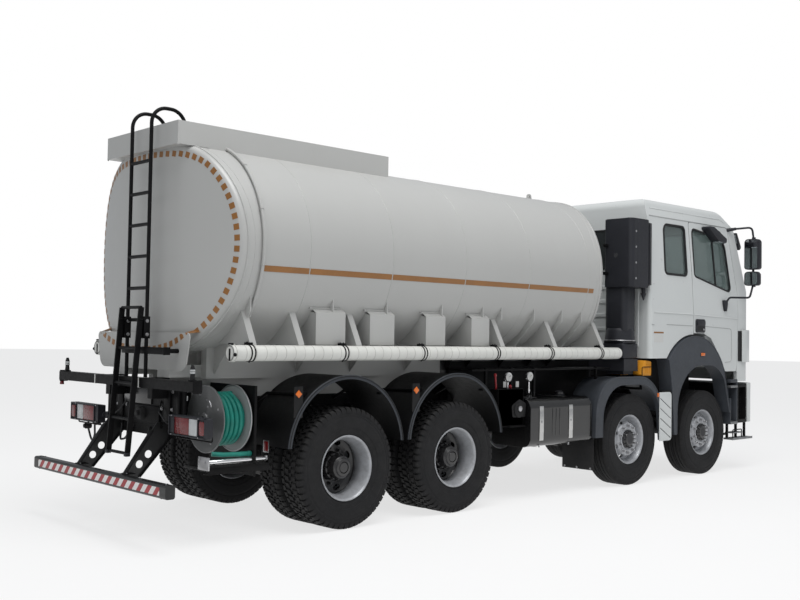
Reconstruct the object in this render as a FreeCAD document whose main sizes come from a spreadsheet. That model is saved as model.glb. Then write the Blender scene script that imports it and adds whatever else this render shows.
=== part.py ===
import FreeCAD, Part
import math
import os
import re
import Sketcher
from FreeCAD import Placement, Rotation, Vector

# Four-axle tanker truck, cab over engine, with an oval road tank.
# +X is forward, +Y is the truck's left and +Z is up. The origin is on the
# ground, in the middle of the truck's length and width. Millimetres.

doc = FreeCAD.newDocument("tanker_truck")
sheet = doc.addObject("Spreadsheet::Sheet", "Dims")

# alias, value
DIMENSIONS = [
    # axles and wheels
    ("axle1_x", 3355), ("axle2_x", 1655), ("axle3_x", -1495), ("axle4_x", -2945),
    ("tyre_radius", 562.5), ("tyre_width", 300), ("rim_radius", 286), ("rim_flange", 304),
    ("front_wheel_y", 1045), ("twin_outer_y", 1090), ("twin_inner_y", 750),
    ("kingpin_y", 900), ("spindle_radius", 55), ("hub_bore", 55.3),
    ("axle_tube", 75), ("diff_radius", 205), ("knuckle_radius", 72), ("knuckle_tall", 190),
    # chassis
    ("rail_rear_x", -4345), ("rail_front_x", 4250), ("rail_y", 430), ("rail_flange", 80),
    ("rail_web", 10), ("rail_low_z", 900), ("rail_top_z", 1200), ("cross_radius", 55),
    ("coupling_hole", 10.5),
    # rear mudguards
    ("guard_radius", 690), ("guard_sheet", 8), ("guard_z", 726), ("guard_low_z", 782),
    # tank
    ("tank_half_width", 1250), ("tank_half_height", 980), ("tank_z", 2560),
    ("tank_side_radius", 950), ("tank_rear_x", -4400), ("tank_front_x", 1210),
    ("head_radius", 3570), ("head_knuckle", 55),
    ("sill_y", 500), ("sill_width", 90), ("sill_low_z", 1200), ("sill_rear_x", -4085), ("sill_length", 4980),
    # spill box on top
    ("box_rear_x", -4465), ("box_front_x", -1971), ("box_half_width", 650),
    ("box_floor_z", 3448), ("box_top_z", 3656), ("box_wall", 8),
    ("lid_radius", 250), ("collar_radius", 225), ("collar_top_z", 3590), ("lid_thick", 24),
    ("lid_rear_x", -3560), ("lid_front_x", -2520),
    # cab
    ("cab_rear_x", 2025), ("cab_front_x", 4645), ("cab_half_width", 1220),
    ("cab_roof_z", 3610), ("cab_wall", 55), ("door_gap", 8), ("door_rear_gap", 12),
]
for row, (alias, value) in enumerate(DIMENSIONS, start=1):
    sheet.set("A%d" % row, alias)
    sheet.set("B%d" % row, str(value))
    sheet.setAlias("B%d" % row, alias)
doc.recompute()
ALIASES = {alias for alias, _ in DIMENSIONS}


def bound(text):
    """An expression with each alias read from the sheet."""
    def word(match):
        return "Dims." + match.group() if match.group() in ALIASES else match.group()
    return re.sub(r"[a-z][a-z_0-9]*", word, str(text))


def num(text):
    """The value of an expression of the sheet's aliases."""
    return float(sheet.evalExpression(bound(text)))


def place(obj, at):
    """Bind an object's place to three expressions."""
    for axis, text in zip("xyz", at):
        obj.setExpression("Placement.Base." + axis, bound(text))


def block(name, low, size):
    """A box from its low corner and its three sizes."""
    obj = doc.addObject("Part::Box", name)
    for prop, text in zip(("Length", "Width", "Height"), size):
        obj.setExpression(prop, bound(text))
    place(obj, low)
    return obj


TURNS = {"x": Rotation(Vector(0, 1, 0), 90), "y": Rotation(Vector(1, 0, 0), -90), "z": Rotation()}


def rod(name, start, radius, length, along="z"):
    """A cylinder from the centre of its first end, along a positive axis."""
    obj = doc.addObject("Part::Cylinder", name)
    obj.setExpression("Radius", bound(radius))
    obj.setExpression("Height", bound(length))
    obj.Placement = Placement(Vector(), TURNS[along])
    place(obj, start)
    return obj


def fused(name, shapes):
    obj = doc.addObject("Part::MultiFuse", name)
    obj.Shapes = shapes
    return obj


def common(name, shapes):
    obj = doc.addObject("Part::MultiCommon", name)
    obj.Shapes = shapes
    return obj


def cut(name, base, tool):
    obj = doc.addObject("Part::Cut", name)
    obj.Base = base
    obj.Tool = tool
    return obj


def together(name, shapes):
    """Like pieces of one sub-part that don't touch."""
    obj = doc.addObject("Part::Compound", name)
    obj.Links = shapes
    return obj


def origin_plane(body, role):
    return [plane for plane in body.Origin.OriginFeatures if plane.Role == role][0]


def rounded_edges(corners):
    """Lines and arcs through corners of (a, b, radius), closed."""
    points = [Vector(num(c[0]), num(c[1]), 0) for c in corners]
    radii = [num(c[2]) if len(c) > 2 else 0 for c in corners]
    count = len(points)
    ends = []
    for i, point in enumerate(points):
        back = (points[i - 1] - point).normalize()
        ahead = (points[(i + 1) % count] - point).normalize()
        if radii[i] <= 0:
            ends.append((point, None, point))
            continue
        half = back.getAngle(ahead) / 2
        reach = radii[i] / math.tan(half)
        middle = (back + ahead).normalize()
        centre = point + middle * (radii[i] / math.sin(half))
        ends.append((point + back * reach, centre - middle * radii[i], point + ahead * reach))
    edges = []
    for i in range(count):
        start, middle, end = ends[i]
        if middle is not None:
            edges.append(Part.Arc(start, middle, end))
        following = ends[(i + 1) % count][0]
        if (following - end).Length > 1e-6:
            edges.append(Part.LineSegment(end, following))
    return edges


def sketch_on(body, role, corners):
    """A closed outline on one of the body's origin planes."""
    sketch = body.newObject("Sketcher::SketchObject", body.Name + "_outline")
    sketch.AttachmentSupport = (origin_plane(body, role), [""])
    sketch.MapMode = "FlatFace"
    edges = rounded_edges(corners)
    for edge in edges:
        sketch.addGeometry(edge)
    if any(len(corner) > 2 for corner in corners):
        for i in range(len(edges)):
            sketch.addConstraint(Sketcher.Constraint("Block", i))
    else:
        for i in range(len(edges)):
            sketch.addConstraint(Sketcher.Constraint("Coincident", i, 2, (i + 1) % len(edges), 1))
        for i, corner in enumerate(corners):
            for kind, text in zip(("DistanceX", "DistanceY"), corner):
                index = sketch.addConstraint(Sketcher.Constraint(kind, -1, 1, i, 1, num(text)))
                sketch.setExpression("Constraints[%d]" % index, bound(text))
    return sketch


def plate(name, role, corners, thick, at=("0", "0", "0")):
    """A padded outline, its thickness centred on its plane."""
    body = doc.addObject("PartDesign::Body", name)
    pad = body.newObject("PartDesign::Pad", name + "_pad")
    pad.Profile = sketch_on(body, role, corners)
    pad.setExpression("Length", bound(thick))
    pad.Midplane = True
    body.Tip = pad
    place(body, at)
    return body


def turned(name, corners, at):
    """A profile of (y, radius) turned about the Y axis."""
    body = doc.addObject("PartDesign::Body", name)
    turn = body.newObject("PartDesign::Revolution", name + "_turn")
    sketch = sketch_on(body, "YZ_Plane", corners)
    turn.Profile = sketch
    turn.ReferenceAxis = (sketch, ["H_Axis"])
    turn.Angle = 360
    body.Tip = turn
    place(body, at)
    return body


def pipe_shape(points, radius, bend):
    """A round bar along straight runs joined by arcs."""
    points = [Vector(*point) for point in points]
    edges = []
    start = points[0]
    for i in range(1, len(points) - 1):
        back = (points[i - 1] - points[i]).normalize()
        ahead = (points[i + 1] - points[i]).normalize()
        half = back.getAngle(ahead) / 2
        reach = bend / math.tan(half)
        middle = (back + ahead).normalize()
        centre = points[i] + middle * (bend / math.sin(half))
        arc_in = points[i] + back * reach
        arc_out = points[i] + ahead * reach
        edges.append(Part.makeLine(start, arc_in))
        edges.append(Part.Arc(arc_in, centre - middle * bend, arc_out).toShape())
        start = arc_out
    edges.append(Part.makeLine(start, points[-1]))
    path = Part.Wire(edges)
    ring = Part.Wire([Part.makeCircle(radius, points[0], points[1] - points[0])])
    return path.makePipeShell([ring], True, False)


def formed(name, shape):
    """A piece whose shape Part's own functions make."""
    obj = doc.addObject("Part::Feature", name)
    obj.Shape = shape
    return obj


NODES = {}


def node(obj, name):
    """Give a finished sub-part the name of its file."""
    obj.Label = name
    NODES[name] = obj
    return obj


# ---------------------------------------------------------------- wheels
def tyre(name, x, y):
    half = "tyre_width / 2"
    corners = [
        ("-105", "rim_radius"), ("105", "rim_radius"), ("125", "rim_flange", "12"),
        (half, "430", "60"), ("%s - 5" % half, "tyre_radius - 32", "20"),
        ("125", "tyre_radius"), ("-125", "tyre_radius"),
        ("5 - %s" % half, "tyre_radius - 32", "20"), ("-%s" % half, "430", "60"),
        ("-125", "rim_flange", "12"),
    ]
    return turned(name, corners, (x, y, "tyre_radius"))


def front_rim(name, x, y, side):
    """Rim with an outward bulging disc and a hub; side is 1 on the left."""
    profile = [
        (-118, 270), (-118, "rim_radius - 0.5"), (118, "rim_radius - 0.5"), (118, 270),
        (60, 262, 20), (70, 175, 20), (110, 168), (110, 112), (135, 105), (140, "hub_bore + 3"),
        (140, "hub_bore"), (-58, "hub_bore"), (-58, 112), (40, 140), (36, 262, 20),
    ]
    corners = [("%g * (%s)" % (side, c[0]), str(c[1])) + tuple(str(r) for r in c[2:]) for c in profile]
    return turned(name, corners, (x, y, "tyre_radius"))


def rear_rim(name, x, y, side):
    """Dished rim of a twin wheel; its disc is towards the other one."""
    profile = [
        (-118, 270), (-118, "rim_radius - 0.5"), (118, "rim_radius - 0.5"), (118, 270),
        (-100, 258, 20), (-128, 180, 20), (-128, 112), (-150, 112), (-150, 190, 20),
        (-112, 270),
    ]
    corners = [("%g * (%s)" % (side, c[0]), str(c[1])) + tuple(str(r) for r in c[2:]) for c in profile]
    return turned(name, corners, (x, y, "tyre_radius"))


FRONT_AXLES = [(1, "axle1_x"), (2, "axle2_x")]
REAR_AXLES = [(3, "axle3_x"), (4, "axle4_x")]
SIDES = [("left", 1), ("right", -1)]

for number, axle_x in FRONT_AXLES:
    for word, side in SIDES:
        tag = "%d_%s" % (number, word)
        at_y = "%d * front_wheel_y" % side
        node(tyre("tyre" + tag, axle_x, at_y), "tyre_" + tag)
        node(front_rim("rim" + tag, axle_x, at_y, side), "rim_" + tag)

for number, axle_x in REAR_AXLES:
    for word, side in SIDES:
        tag = "%d_%s" % (number, word)
        outer = "%d * twin_outer_y" % side
        inner = "%d * twin_inner_y" % side
        pair = [tyre("tyre%s_outer" % tag, axle_x, outer), tyre("tyre%s_inner" % tag, axle_x, inner)]
        node(together("tyres" + tag, pair), "tyres_" + tag)
        discs = [rear_rim("rim%s_outer" % tag, axle_x, outer, side),
                 rear_rim("rim%s_inner" % tag, axle_x, inner, -side)]
        hub_profile = [("%d * 600" % side, "hub_bore"), ("%d * 600" % side, "150"),
                       ("%d * 870" % side, "150"), ("%d * 870" % side, "200"),
                       ("%d * 935" % side, "200"), ("%d * 935" % side, "128"),
                       ("%d * 1150" % side, "112"), ("%d * 1180" % side, "95"),
                       ("%d * 1180" % side, "hub_bore")]
        hub = turned("hub" + tag, hub_profile, (axle_x, "0", "tyre_radius"))
        node(fused("rims" + tag, discs + [hub]), "rims_" + tag)

# ---------------------------------------------------------------- knuckles and axles
for number, axle_x in FRONT_AXLES:
    for word, side in SIDES:
        tag = "%d_%s" % (number, word)
        at_y = "%d * kingpin_y" % side
        post = rod("post" + tag, (axle_x, at_y, "tyre_radius - knuckle_tall / 2"),
                   "knuckle_radius", "knuckle_tall")
        start = at_y if side > 0 else "-kingpin_y - 285"
        spindle = rod("spindle" + tag, (axle_x, start, "tyre_radius"), "spindle_radius", "285", "y")
        arm = block("arm" + tag, ("%s - 235" % axle_x, "%s - 25" % at_y, "tyre_radius - 88"), (200, 50, 30))
        node(fused("knuckle" + tag, [post, spindle, arm]), "knuckle_" + tag)

axle_sets = []
for number, axle_x in FRONT_AXLES:
    tube = rod("front_tube%d" % number, (axle_x, "-kingpin_y + 85", "tyre_radius"),
               "axle_tube", "2 * kingpin_y - 170", "y")
    centre = rod("front_diff%d" % number, (axle_x, "-110", "tyre_radius"), "diff_radius - 25", "220", "y")
    parts = [tube, centre]
    for word, side in SIDES:
        tag = "%d_%s" % (number, word)
        web_y = "%d * (kingpin_y - 105) - 25" % side
        parts.append(block("web" + tag, ("%s - 60" % axle_x, web_y, "tyre_radius - 135"), (120, 50, 270)))
        for level, z in (("low", "tyre_radius - 135"), ("top", "tyre_radius + 105")):
            ear_y = "kingpin_y - 130" if side > 0 else "-kingpin_y - 50"
            parts.append(block("ear_%s_%s" % (level, tag), ("%s - 60" % axle_x, ear_y, z), (120, 180, 30)))
    axle_sets.append(fused("front_axle%d" % number, parts))
node(together("front_axle_pair", axle_sets), "front_axles")

axle_sets = []
for number, axle_x in REAR_AXLES:
    tube = rod("rear_tube%d" % number, (axle_x, "-590", "tyre_radius"), "axle_tube + 10", "1180", "y")
    shaft = rod("rear_shaft%d" % number, (axle_x, "-1140", "tyre_radius"), "spindle_radius", "2280", "y")
    centre = rod("rear_diff%d" % number, (axle_x, "-120", "tyre_radius"), "diff_radius", "240", "y")
    nose = rod("rear_nose%d" % number, (axle_x, "0", "tyre_radius + 20"), "95", "330", "x")
    axle_sets.append(fused("rear_axle%d" % number, [tube, shaft, centre, nose]))
node(together("rear_axle_pair", axle_sets), "rear_axles")

# ---------------------------------------------------------------- springs
# leaf packs: centre x, half length, height above the axle's centre, sign of the bow
springs = []
SPRINGS = [("axle1_x", 700, 75), ("axle2_x", 700, 75)]
for i, (axle_x, half, seat) in enumerate(SPRINGS):
    corners = [("-%d" % half, "190"), ("-%d * 0.5" % half, "30", "500"), ("%d * 0.5" % half, "30", "500"),
               ("%d" % half, "190"), ("%d" % half, "225"), ("200", "105"), ("-200", "105"), ("-%d" % half, "225")]
    for word, side in SIDES:
        name = "spring%d_%s" % (i, word)
        springs.append(plate(name, "XZ_Plane", corners, "80",
                             (axle_x, "%d * 520" % side, "tyre_radius + %d" % (seat - 18))))
bogie = "(axle3_x + axle4_x) / 2"
corners = [("-725", "0"), ("-300", "140", "300"), ("300", "140", "300"), ("725", "0"),
           ("725", "45"), ("300", "250"), ("-300", "250"), ("-725", "45")]
for word, side in SIDES:
    springs.append(plate("bogie_spring_" + word, "XZ_Plane", corners, "90",
                         (bogie, "%d * 520" % side, "tyre_radius + axle_tube + 12")))
node(together("spring_packs", springs), "leaf_springs")

# ---------------------------------------------------------------- chassis
rails = []
for word, side in SIDES:
    low_y = "rail_y - rail_flange" if side > 0 else "-rail_y"
    length = "rail_front_x - rail_rear_x"
    bar = block("rail_bar_" + word, ("rail_rear_x", low_y, "rail_low_z"),
                (length, "rail_flange", "rail_top_z - rail_low_z"))
    hollow_y = "rail_y - rail_flange - rail_web" if side > 0 else "-rail_y + rail_web"
    hollow = block("rail_hollow_" + word, ("rail_rear_x - 1", hollow_y, "rail_low_z + rail_web"),
                   (length + " + 2", "rail_flange", "rail_top_z - rail_low_z - 2 * rail_web"))
    rails.append(cut("rail_" + word, bar, hollow))
crosses = []
for i, x in enumerate(("rail_rear_x + 60", "-3300", "-2220", "-600", "700", "1060", "rail_front_x - 80")):
    crosses.append(rod("cross%d" % i, (x, "-rail_y + 2", "rail_low_z + 150"), "cross_radius", "2 * rail_y - 4", "y"))
hangers = []
for i, (x, drop) in enumerate((("axle1_x - 700", 165), ("axle1_x + 700", 165), ("axle2_x - 700", 165),
                               ("axle2_x + 700", 165))):
    for word, side in SIDES:
        low_y = "430" if side > 0 else "-560"
        hangers.append(block("hanger%d_%s" % (i, word), (x + " - 50", low_y, "rail_low_z - 37"), (100, 130, 150)))
for word, side in SIDES:
    low_y = "430" if side > 0 else "-565"
    hangers.append(block("trunnion_" + word, (bogie + " - 130", low_y, "rail_low_z + 5"), (260, 135, 180)))
node(fused("chassis", rails + crosses + hangers), "chassis_frame")

engine = block("engine_main", ("2548", "-335", "960"), (932, 670, 780))
engine_ends = block("engine_ends", ("2150", "-335", "960"), (1600, 670, 440))
sump = block("engine_sump", ("2300", "-200", "800"), (700, 400, 200))
gearbox = rod("gearbox", ("1480", "0", "1060"), "190", "700", "x")
node(fused("engine", [engine, engine_ends, sump, gearbox]), "engine_block")

shafts = [
    rod("shaft_gearbox", ("-1150", "0", "640"), "50", "2600", "x"),
    rod("shaft_bogie", ("axle4_x + 340", "0", "tyre_radius + 20"), "50", "880", "x"),
]
shaft_drop = block("transfer_case", ("1180", "-150", "560"), (290, 300, 560))
node(together("shafts", [fused("main_shaft", [shafts[0], shaft_drop]), shafts[1]]), "propshafts")

tanks = []
for i, x in enumerate(("-500", "90")):
    for word, side in SIDES:
        tanks.append(rod("air_tank%d_%s" % (i, word), (x, "%d * 190" % side, "1050"), "110", "540", "x"))
node(together("air_tank_set", tanks), "air_tanks")

# ---------------------------------------------------------------- boxes on the chassis sides
FUEL = [("-1200", "580", "90"), ("-640", "580", "60"), ("-640", "1120", "60"), ("-1200", "1120", "110")]
fuel_body = plate("fuel_body", "YZ_Plane", FUEL, "1120", ("270", "0", "0"))
fuel_cap = rod("fuel_cap", ("560", "-930", "1115"), "55", "45")
fuel_arms = [block("fuel_arm%d" % i, (x, "-645", "980"), (60, 215, 140)) for i, x in enumerate(("-90", "440"))]
node(fused("fuel", [fuel_body, fuel_cap] + fuel_arms), "fuel_tank")
SILENCER = [("640", "560", "80"), ("1180", "560", "80"), ("1180", "1120", "80"), ("640", "1120", "80")]
silencer_body = plate("silencer_body", "YZ_Plane", SILENCER, "1000", ("300", "0", "0"))
silencer_arm = block("silencer_arm", ("200", "430", "980"), (200, 215, 120))
node(fused("silencer_set", [silencer_body, silencer_arm]), "silencer")

boxes = []
for word, side in SIDES:
    low_y = "1190" if side > 0 else "-1238"
    shell = block("side_panel_%s" % word, ("2297", low_y, "510"), (181, 48, 638))
    arm_y = "430" if side > 0 else "-1195"
    arm = block("side_panel_arm_%s" % word, ("2340", arm_y, "1020"), (100, 765, 90))
    boxes.append(fused("side_panel_set_%s" % word, [shell, arm]))
valve_panel = block("valve_panel", ("-770", "-1150", "830"), (420, 180, 400))
valve_arm = block("valve_arm", ("-660", "-975", "980"), (200, 545, 90))
boxes.append(fused("valve_set", [valve_panel, valve_arm]))
node(together("box_set", boxes), "side_boxes")

# ---------------------------------------------------------------- tank
def tank_section(x):
    """The barrel's section at x: two wide arcs above and below, two round sides, all tangent."""
    half_width = num("tank_half_width")
    half_height = num("tank_half_height")
    side_radius = num("tank_side_radius")
    side_y = half_width - side_radius
    drop = half_height - side_radius
    wide_radius = (side_y ** 2 + half_height ** 2 - side_radius ** 2) / (2 * drop)
    lean = math.atan2(side_y, wide_radius - half_height)
    centre = Vector(x, 0, num("tank_z"))
    edges = []
    for turn in (0, 180):
        turned = Rotation(Vector(1, 0, 0), turn)
        corner = Vector(0, side_y + side_radius * math.sin(lean), side_radius * math.cos(lean))
        points = [Vector(0, -corner.y, corner.z), Vector(0, 0, half_height), corner,
                  Vector(0, half_width, 0), Vector(0, corner.y, -corner.z)]
        points = [centre + turned.multVec(point) for point in points]
        edges.append(Part.Arc(*points[:3]).toShape())
        edges.append(Part.Arc(*points[2:]).toShape())
    return Part.Wire(edges)


def head_curve(apex_x, inward):
    """The upright cylinder whose wall is one curved head of the tank."""
    radius = num("head_radius")
    wall = Part.makeCylinder(radius, 4000, Vector(0, 0, 500))
    wall.Placement = Placement(Vector(apex_x + inward * radius, 0, 500), Rotation(Vector(0, 0, 1), 90 - 90 * inward))
    return wall


tank_rear = num("tank_rear_x")
tank_front = num("tank_front_x")
barrel = Part.Face(tank_section(tank_rear - 50)).extrude(Vector(tank_front - tank_rear + 100, 0, 0))
tank_shape = barrel.common(head_curve(tank_rear, 1)).common(head_curve(tank_front, -1))
rims = []
for edge in tank_shape.Edges:
    box = edge.BoundBox
    if box.XMax < tank_rear + 400 or box.XMin > tank_front - 400:
        rims.append(edge)
tank_shape = tank_shape.makeFillet(num("head_knuckle"), rims)
tank = node(formed("road_tank", tank_shape), "tank")

sills = []
for word, side in SIDES:
    low_y = "sill_y" if side > 0 else "-sill_y - sill_width"
    sills.append(block("sill_" + word, ("sill_rear_x", low_y, "sill_low_z + 180"),
                       ("sill_length", "sill_width", "420")))
    low_y = "rail_y - rail_flange" if side > 0 else "-rail_y"
    sills.append(block("subframe_" + word, ("sill_rear_x", low_y, "rail_top_z"),
                       ("sill_length", "rail_flange", "440")))
GUSSET = [("-1143", "1984"), ("-560", "1390"), ("560", "1390"), ("1143", "1984"), ("1143", "2300"), ("-1143", "2300")]
for i, x in enumerate(("-4000", "-3080", "-2400", "-1640", "-1020", "-720", "-170", "330", "700")):
    sills.append(plate("gusset%d" % i, "YZ_Plane", GUSSET, "12", (x, "0", "0")))
# end plate behind the rear head
TAIL = [("-780", "1455", "110"), ("780", "1455", "110"), ("850", "1792", "45"), ("-850", "1792", "45")]
sills.append(plate("tail_plate", "YZ_Plane", TAIL, "8", ("tank_rear_x - 10", "0", "0")))
for word, side in SIDES:
    low_y = "300" if side > 0 else "-500"
    sills.append(block("tail_sill_" + word, ("tank_rear_x - 10", low_y, "1392"), (430, 200, 110)))
saddle_blank = fused("saddle_blank", sills)
node(cut("saddles", saddle_blank, tank), "tank_saddles")

# ---------------------------------------------------------------- spill box and manholes
outer_box = block("box_outer", ("box_rear_x", "-box_half_width", "box_floor_z - 160"),
                  ("box_front_x - box_rear_x", "2 * box_half_width", "box_top_z - box_floor_z + 160"))
inner_box = block("box_inner", ("box_rear_x + box_wall", "-box_half_width + box_wall", "box_floor_z - 170"),
                  ("box_front_x - box_rear_x - 2 * box_wall", "2 * (box_half_width - box_wall)", "500"))
walls = cut("box_walls", outer_box, inner_box)
under = block("box_under", ("box_rear_x - 1", "-box_half_width - 1", "box_floor_z - 200"), (320, "2 * box_half_width + 2", 200))
tail_floor = block("box_tail_floor", ("box_rear_x", "-box_half_width", "box_floor_z"), (440, "2 * box_half_width", "box_wall"))
collars = []
for x in ("lid_rear_x", "lid_front_x"):
    outer = rod("collar_outer_" + x, (x, "0", "3500"), "collar_radius", "collar_top_z - 3500")
    bore = rod("collar_bore_" + x, (x, "0", "3490"), "collar_radius - 12", "200")
    ring = cut("collar_ring_" + x, outer, bore)
    lug = block("collar_lug_" + x, (x + " + collar_radius - 10", "-30", "3500"), (60, 60, "collar_top_z - 3500 - 6"))
    collars.append(fused("collar_" + x, [ring, lug]))
box_blank = fused("box_blank", [cut("box_sides", walls, under), tail_floor])
node(together("spill_box", [cut("box_on_tank", box_blank, tank)] +
              [cut("%s_on_tank" % c.Name, c, tank) for c in collars]), "top_box")
for word, x in (("rear", "lid_rear_x"), ("front", "lid_front_x")):
    disc = rod("lid_disc_" + word, (x, "0", "collar_top_z + 1"), "lid_radius", "lid_thick")
    boss = rod("lid_boss_" + word, (x, "0", "collar_top_z + lid_thick"), "70", "20")
    node(fused("lid_" + word, [disc, boss]), "manhole_lid_" + word)

# ---------------------------------------------------------------- ladder
LADDER_SIDES = (16, -330)
LADDER_WIDE = LADDER_SIDES[0] - LADDER_SIDES[1]
UPPER_X = -4545
HOOP_DEEP = 345
HOOP_TOP = 3812
RUNG_PITCH = 285
# the lower section leans back: its rails' top and bottom as (x, z)
LOWER_TOP = (-4602, 2010)
LOWER_FOOT = (-4702, 715)
rails_up = []
for y in LADDER_SIDES:
    hoop = [(UPPER_X, y, 1391), (UPPER_X, y, HOOP_TOP), (UPPER_X + HOOP_DEEP, y, HOOP_TOP),
            (UPPER_X + HOOP_DEEP, y, 3440)]
    rails_up.append(pipe_shape(hoop, 17, 150))
rungs = []
for i in range(6):
    z = 1900 + RUNG_PITCH * i
    rungs.append(Part.makeCylinder(16, LADDER_WIDE, Vector(UPPER_X, LADDER_SIDES[1], z), Vector(0, 1, 0)))
slope = Vector(LOWER_FOOT[0] - LOWER_TOP[0], 0, LOWER_FOOT[1] - LOWER_TOP[1])
for y in LADDER_SIDES:
    start = Vector(LOWER_TOP[0], y, LOWER_TOP[1])
    outline = [start + Vector(-25, -8, 0), start + Vector(25, -8, 0), start + Vector(25, 8, 0), start + Vector(-25, 8, 0)]
    bar_face = Part.Face(Part.makePolygon(outline + outline[:1]))
    rungs.append(bar_face.extrude(slope))
for share in (0.0, 0.28, 0.52, 0.76, 0.99):
    point = Vector(LOWER_TOP[0], LADDER_SIDES[1], LOWER_TOP[1]) + slope * share
    rungs.append(Part.makeCylinder(14, LADDER_WIDE, point, Vector(0, 1, 0)))
for y in LADDER_SIDES:
    rungs.append(Part.makeCylinder(13, 90, Vector(-4620, y, 1900), Vector(1, 0, 0)))
rungs.append(Part.makeBox(40, 740, 60, Vector(UPPER_X - 30, -710, 1600)))
for y in (-650, -30):
    rungs.append(Part.makeCylinder(20, 131, Vector(UPPER_X, y, 1630), Vector(1, 0, 0)))
ladder = formed("ladder", rails_up[0].multiFuse([rails_up[1]] + rungs))
box_solid = block("box_solid", ("box_rear_x", "-box_half_width", "box_floor_z - 160"),
                  ("box_wall", "2 * box_half_width", "box_top_z - box_floor_z + 160"))
floor_cut = cut("ladder_off_floor", ladder, tail_floor)
off_box = cut("ladder_off_box", floor_cut, box_solid)
node(cut("ladder_free", cut("ladder_off_saddles", off_box, NODES["tank_saddles"]), tank), "rear_ladder")

# ---------------------------------------------------------------- hose tubes
tubes = []
HANGERS = [(-3288, 352), (-2631, 319), (-1880, 279), (-1209, 280), (-500, 40), (0, 40), (520, 40), (900, 40), (-4040, 60)]
for word, side in SIDES:
    tube = rod("tube_" + word, ("-4245", "%d * 1200" % side, "1625"), "70", "5600", "x")
    low_y = "1144" if side > 0 else "-1156"
    plates = [block("tube_plate%d_%s" % (i, word), (x, low_y, "1640"), (w, 12, 640))
              for i, (x, w) in enumerate(HANGERS)]
    tubes.append(cut("tube_set_" + word, fused("tube_blank_" + word, [tube] + plates), tank))
node(together("tube_pair", tubes), "hose_tubes")

# ---------------------------------------------------------------- mudguards
def arch(name, corners_out, corners_in, y_low, y_high):
    """A bent sheet over a wheel, from its outer and inner outlines."""
    middle = "(%s + %s) / 2" % (y_low, y_high)
    return plate(name, "XZ_Plane", corners_out + corners_in, "%s - %s" % (y_high, y_low), ("0", middle, "0"))


def rear_guard(name, axle_x, low_y, wide):
    """A half ring of sheet over a twin wheel."""
    def drum(word, radius):
        return rod(name + word, (axle_x, low_y, "guard_z"), radius, wide, "y")
    ring = cut(name + "_ring", drum("_outer", "guard_radius"), drum("_inner", "guard_radius - guard_sheet"))
    upper = block(name + "_upper", (axle_x + " - 800", low_y, "guard_low_z"), (1600, wide, 900))
    return common(name, [ring, upper])


guards = []
for word, side in SIDES:
    for number, axle_x in REAR_AXLES:
        guards.append(rear_guard("guard%d_%s" % (number, word), axle_x, "620" if side > 0 else "-1250", "630"))
    # middle axle: thicker plastic arch with a flap behind the wheel
    out = [("axle2_x - 790", "625"), ("axle2_x - 760", "1336", "450"), ("axle2_x + 578", "1336", "480"),
           ("axle2_x + 636", "520")]
    back = [("axle2_x + 612", "520"), ("axle2_x + 528", "1235", "430"), ("axle2_x - 620", "1235", "400"),
            ("axle2_x - 640", "625")]
    low, high = ("1182", "1238") if side > 0 else ("-1238", "-1182")
    lip = arch("lip2_%s" % word, out, back, low, high)
    out = [("axle2_x - 760", "700"), ("axle2_x - 740", "1326", "440"), ("axle2_x + 620", "1326", "440"),
           ("axle2_x + 645", "1000")]
    back = [("axle2_x + 630", "1000"), ("axle2_x + 600", "1236", "400"), ("axle2_x - 700", "1236", "400"),
            ("axle2_x - 735", "700")]
    low, high = ("820", "1184") if side > 0 else ("-1184", "-820")
    guards.append(fused("guard2_%s" % word, [lip, arch("sheet2_%s" % word, out, back, low, high)]))
    # cab arch
    low, high = ("1060", "1250") if side > 0 else ("-1250", "-1060")
    out = [("2546", "573"), ("2485", "1185"), ("2418", "1542"), ("2662", "1855", "805"),
           ("3559", "1855", "805"), ("3786", "1410"), ("3962", "810")]
    back = [("3932", "810"), ("3798", "1266"), ("3640", "1472", "480"), ("2613", "1472", "600"), ("2605", "573")]
    guards.append(arch("guard1_%s" % word, out, back, low, high))
node(together("guard_set", guards), "mudguards")

# ---------------------------------------------------------------- rear end
crossbeam = block("beam", ("-4620", "-1240", "1305"), (90, 2480, 85))
beam_arms = [block("beam_arm%d" % i, ("-4530", y, "1205"), (185, 80, 95)) for i, y in enumerate(("350", "-430"))]
beam_ties = [block("beam_tie%d" % i, ("-4530", y, "1290"), (170, 80, 100)) for i, y in enumerate(("350", "-430"))]
REAR_PANEL = [("-700", "1300"), ("-700", "1000"), ("-560", "860"), ("560", "860"), ("700", "1000"), ("700", "1300")]
rear_panel = plate("rear_panel", "YZ_Plane", REAR_PANEL, "20", ("rail_rear_x - 10", "0", "0"))
coupling_holes = [rod("coupling_hole%d" % i, ("rail_rear_x - 40", y, z), "coupling_hole", "60", "x")
                  for i, (y, z) in enumerate((("80", "1000"), ("-80", "1000"), ("80", "1100"), ("-80", "1100")))]
drilled = cut("drilled_panel", rear_panel, together("coupling_hole_set", coupling_holes))
node(fused("rear_beam", [crossbeam, drilled] + beam_arms + beam_ties), "rear_crossbeam")

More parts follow.
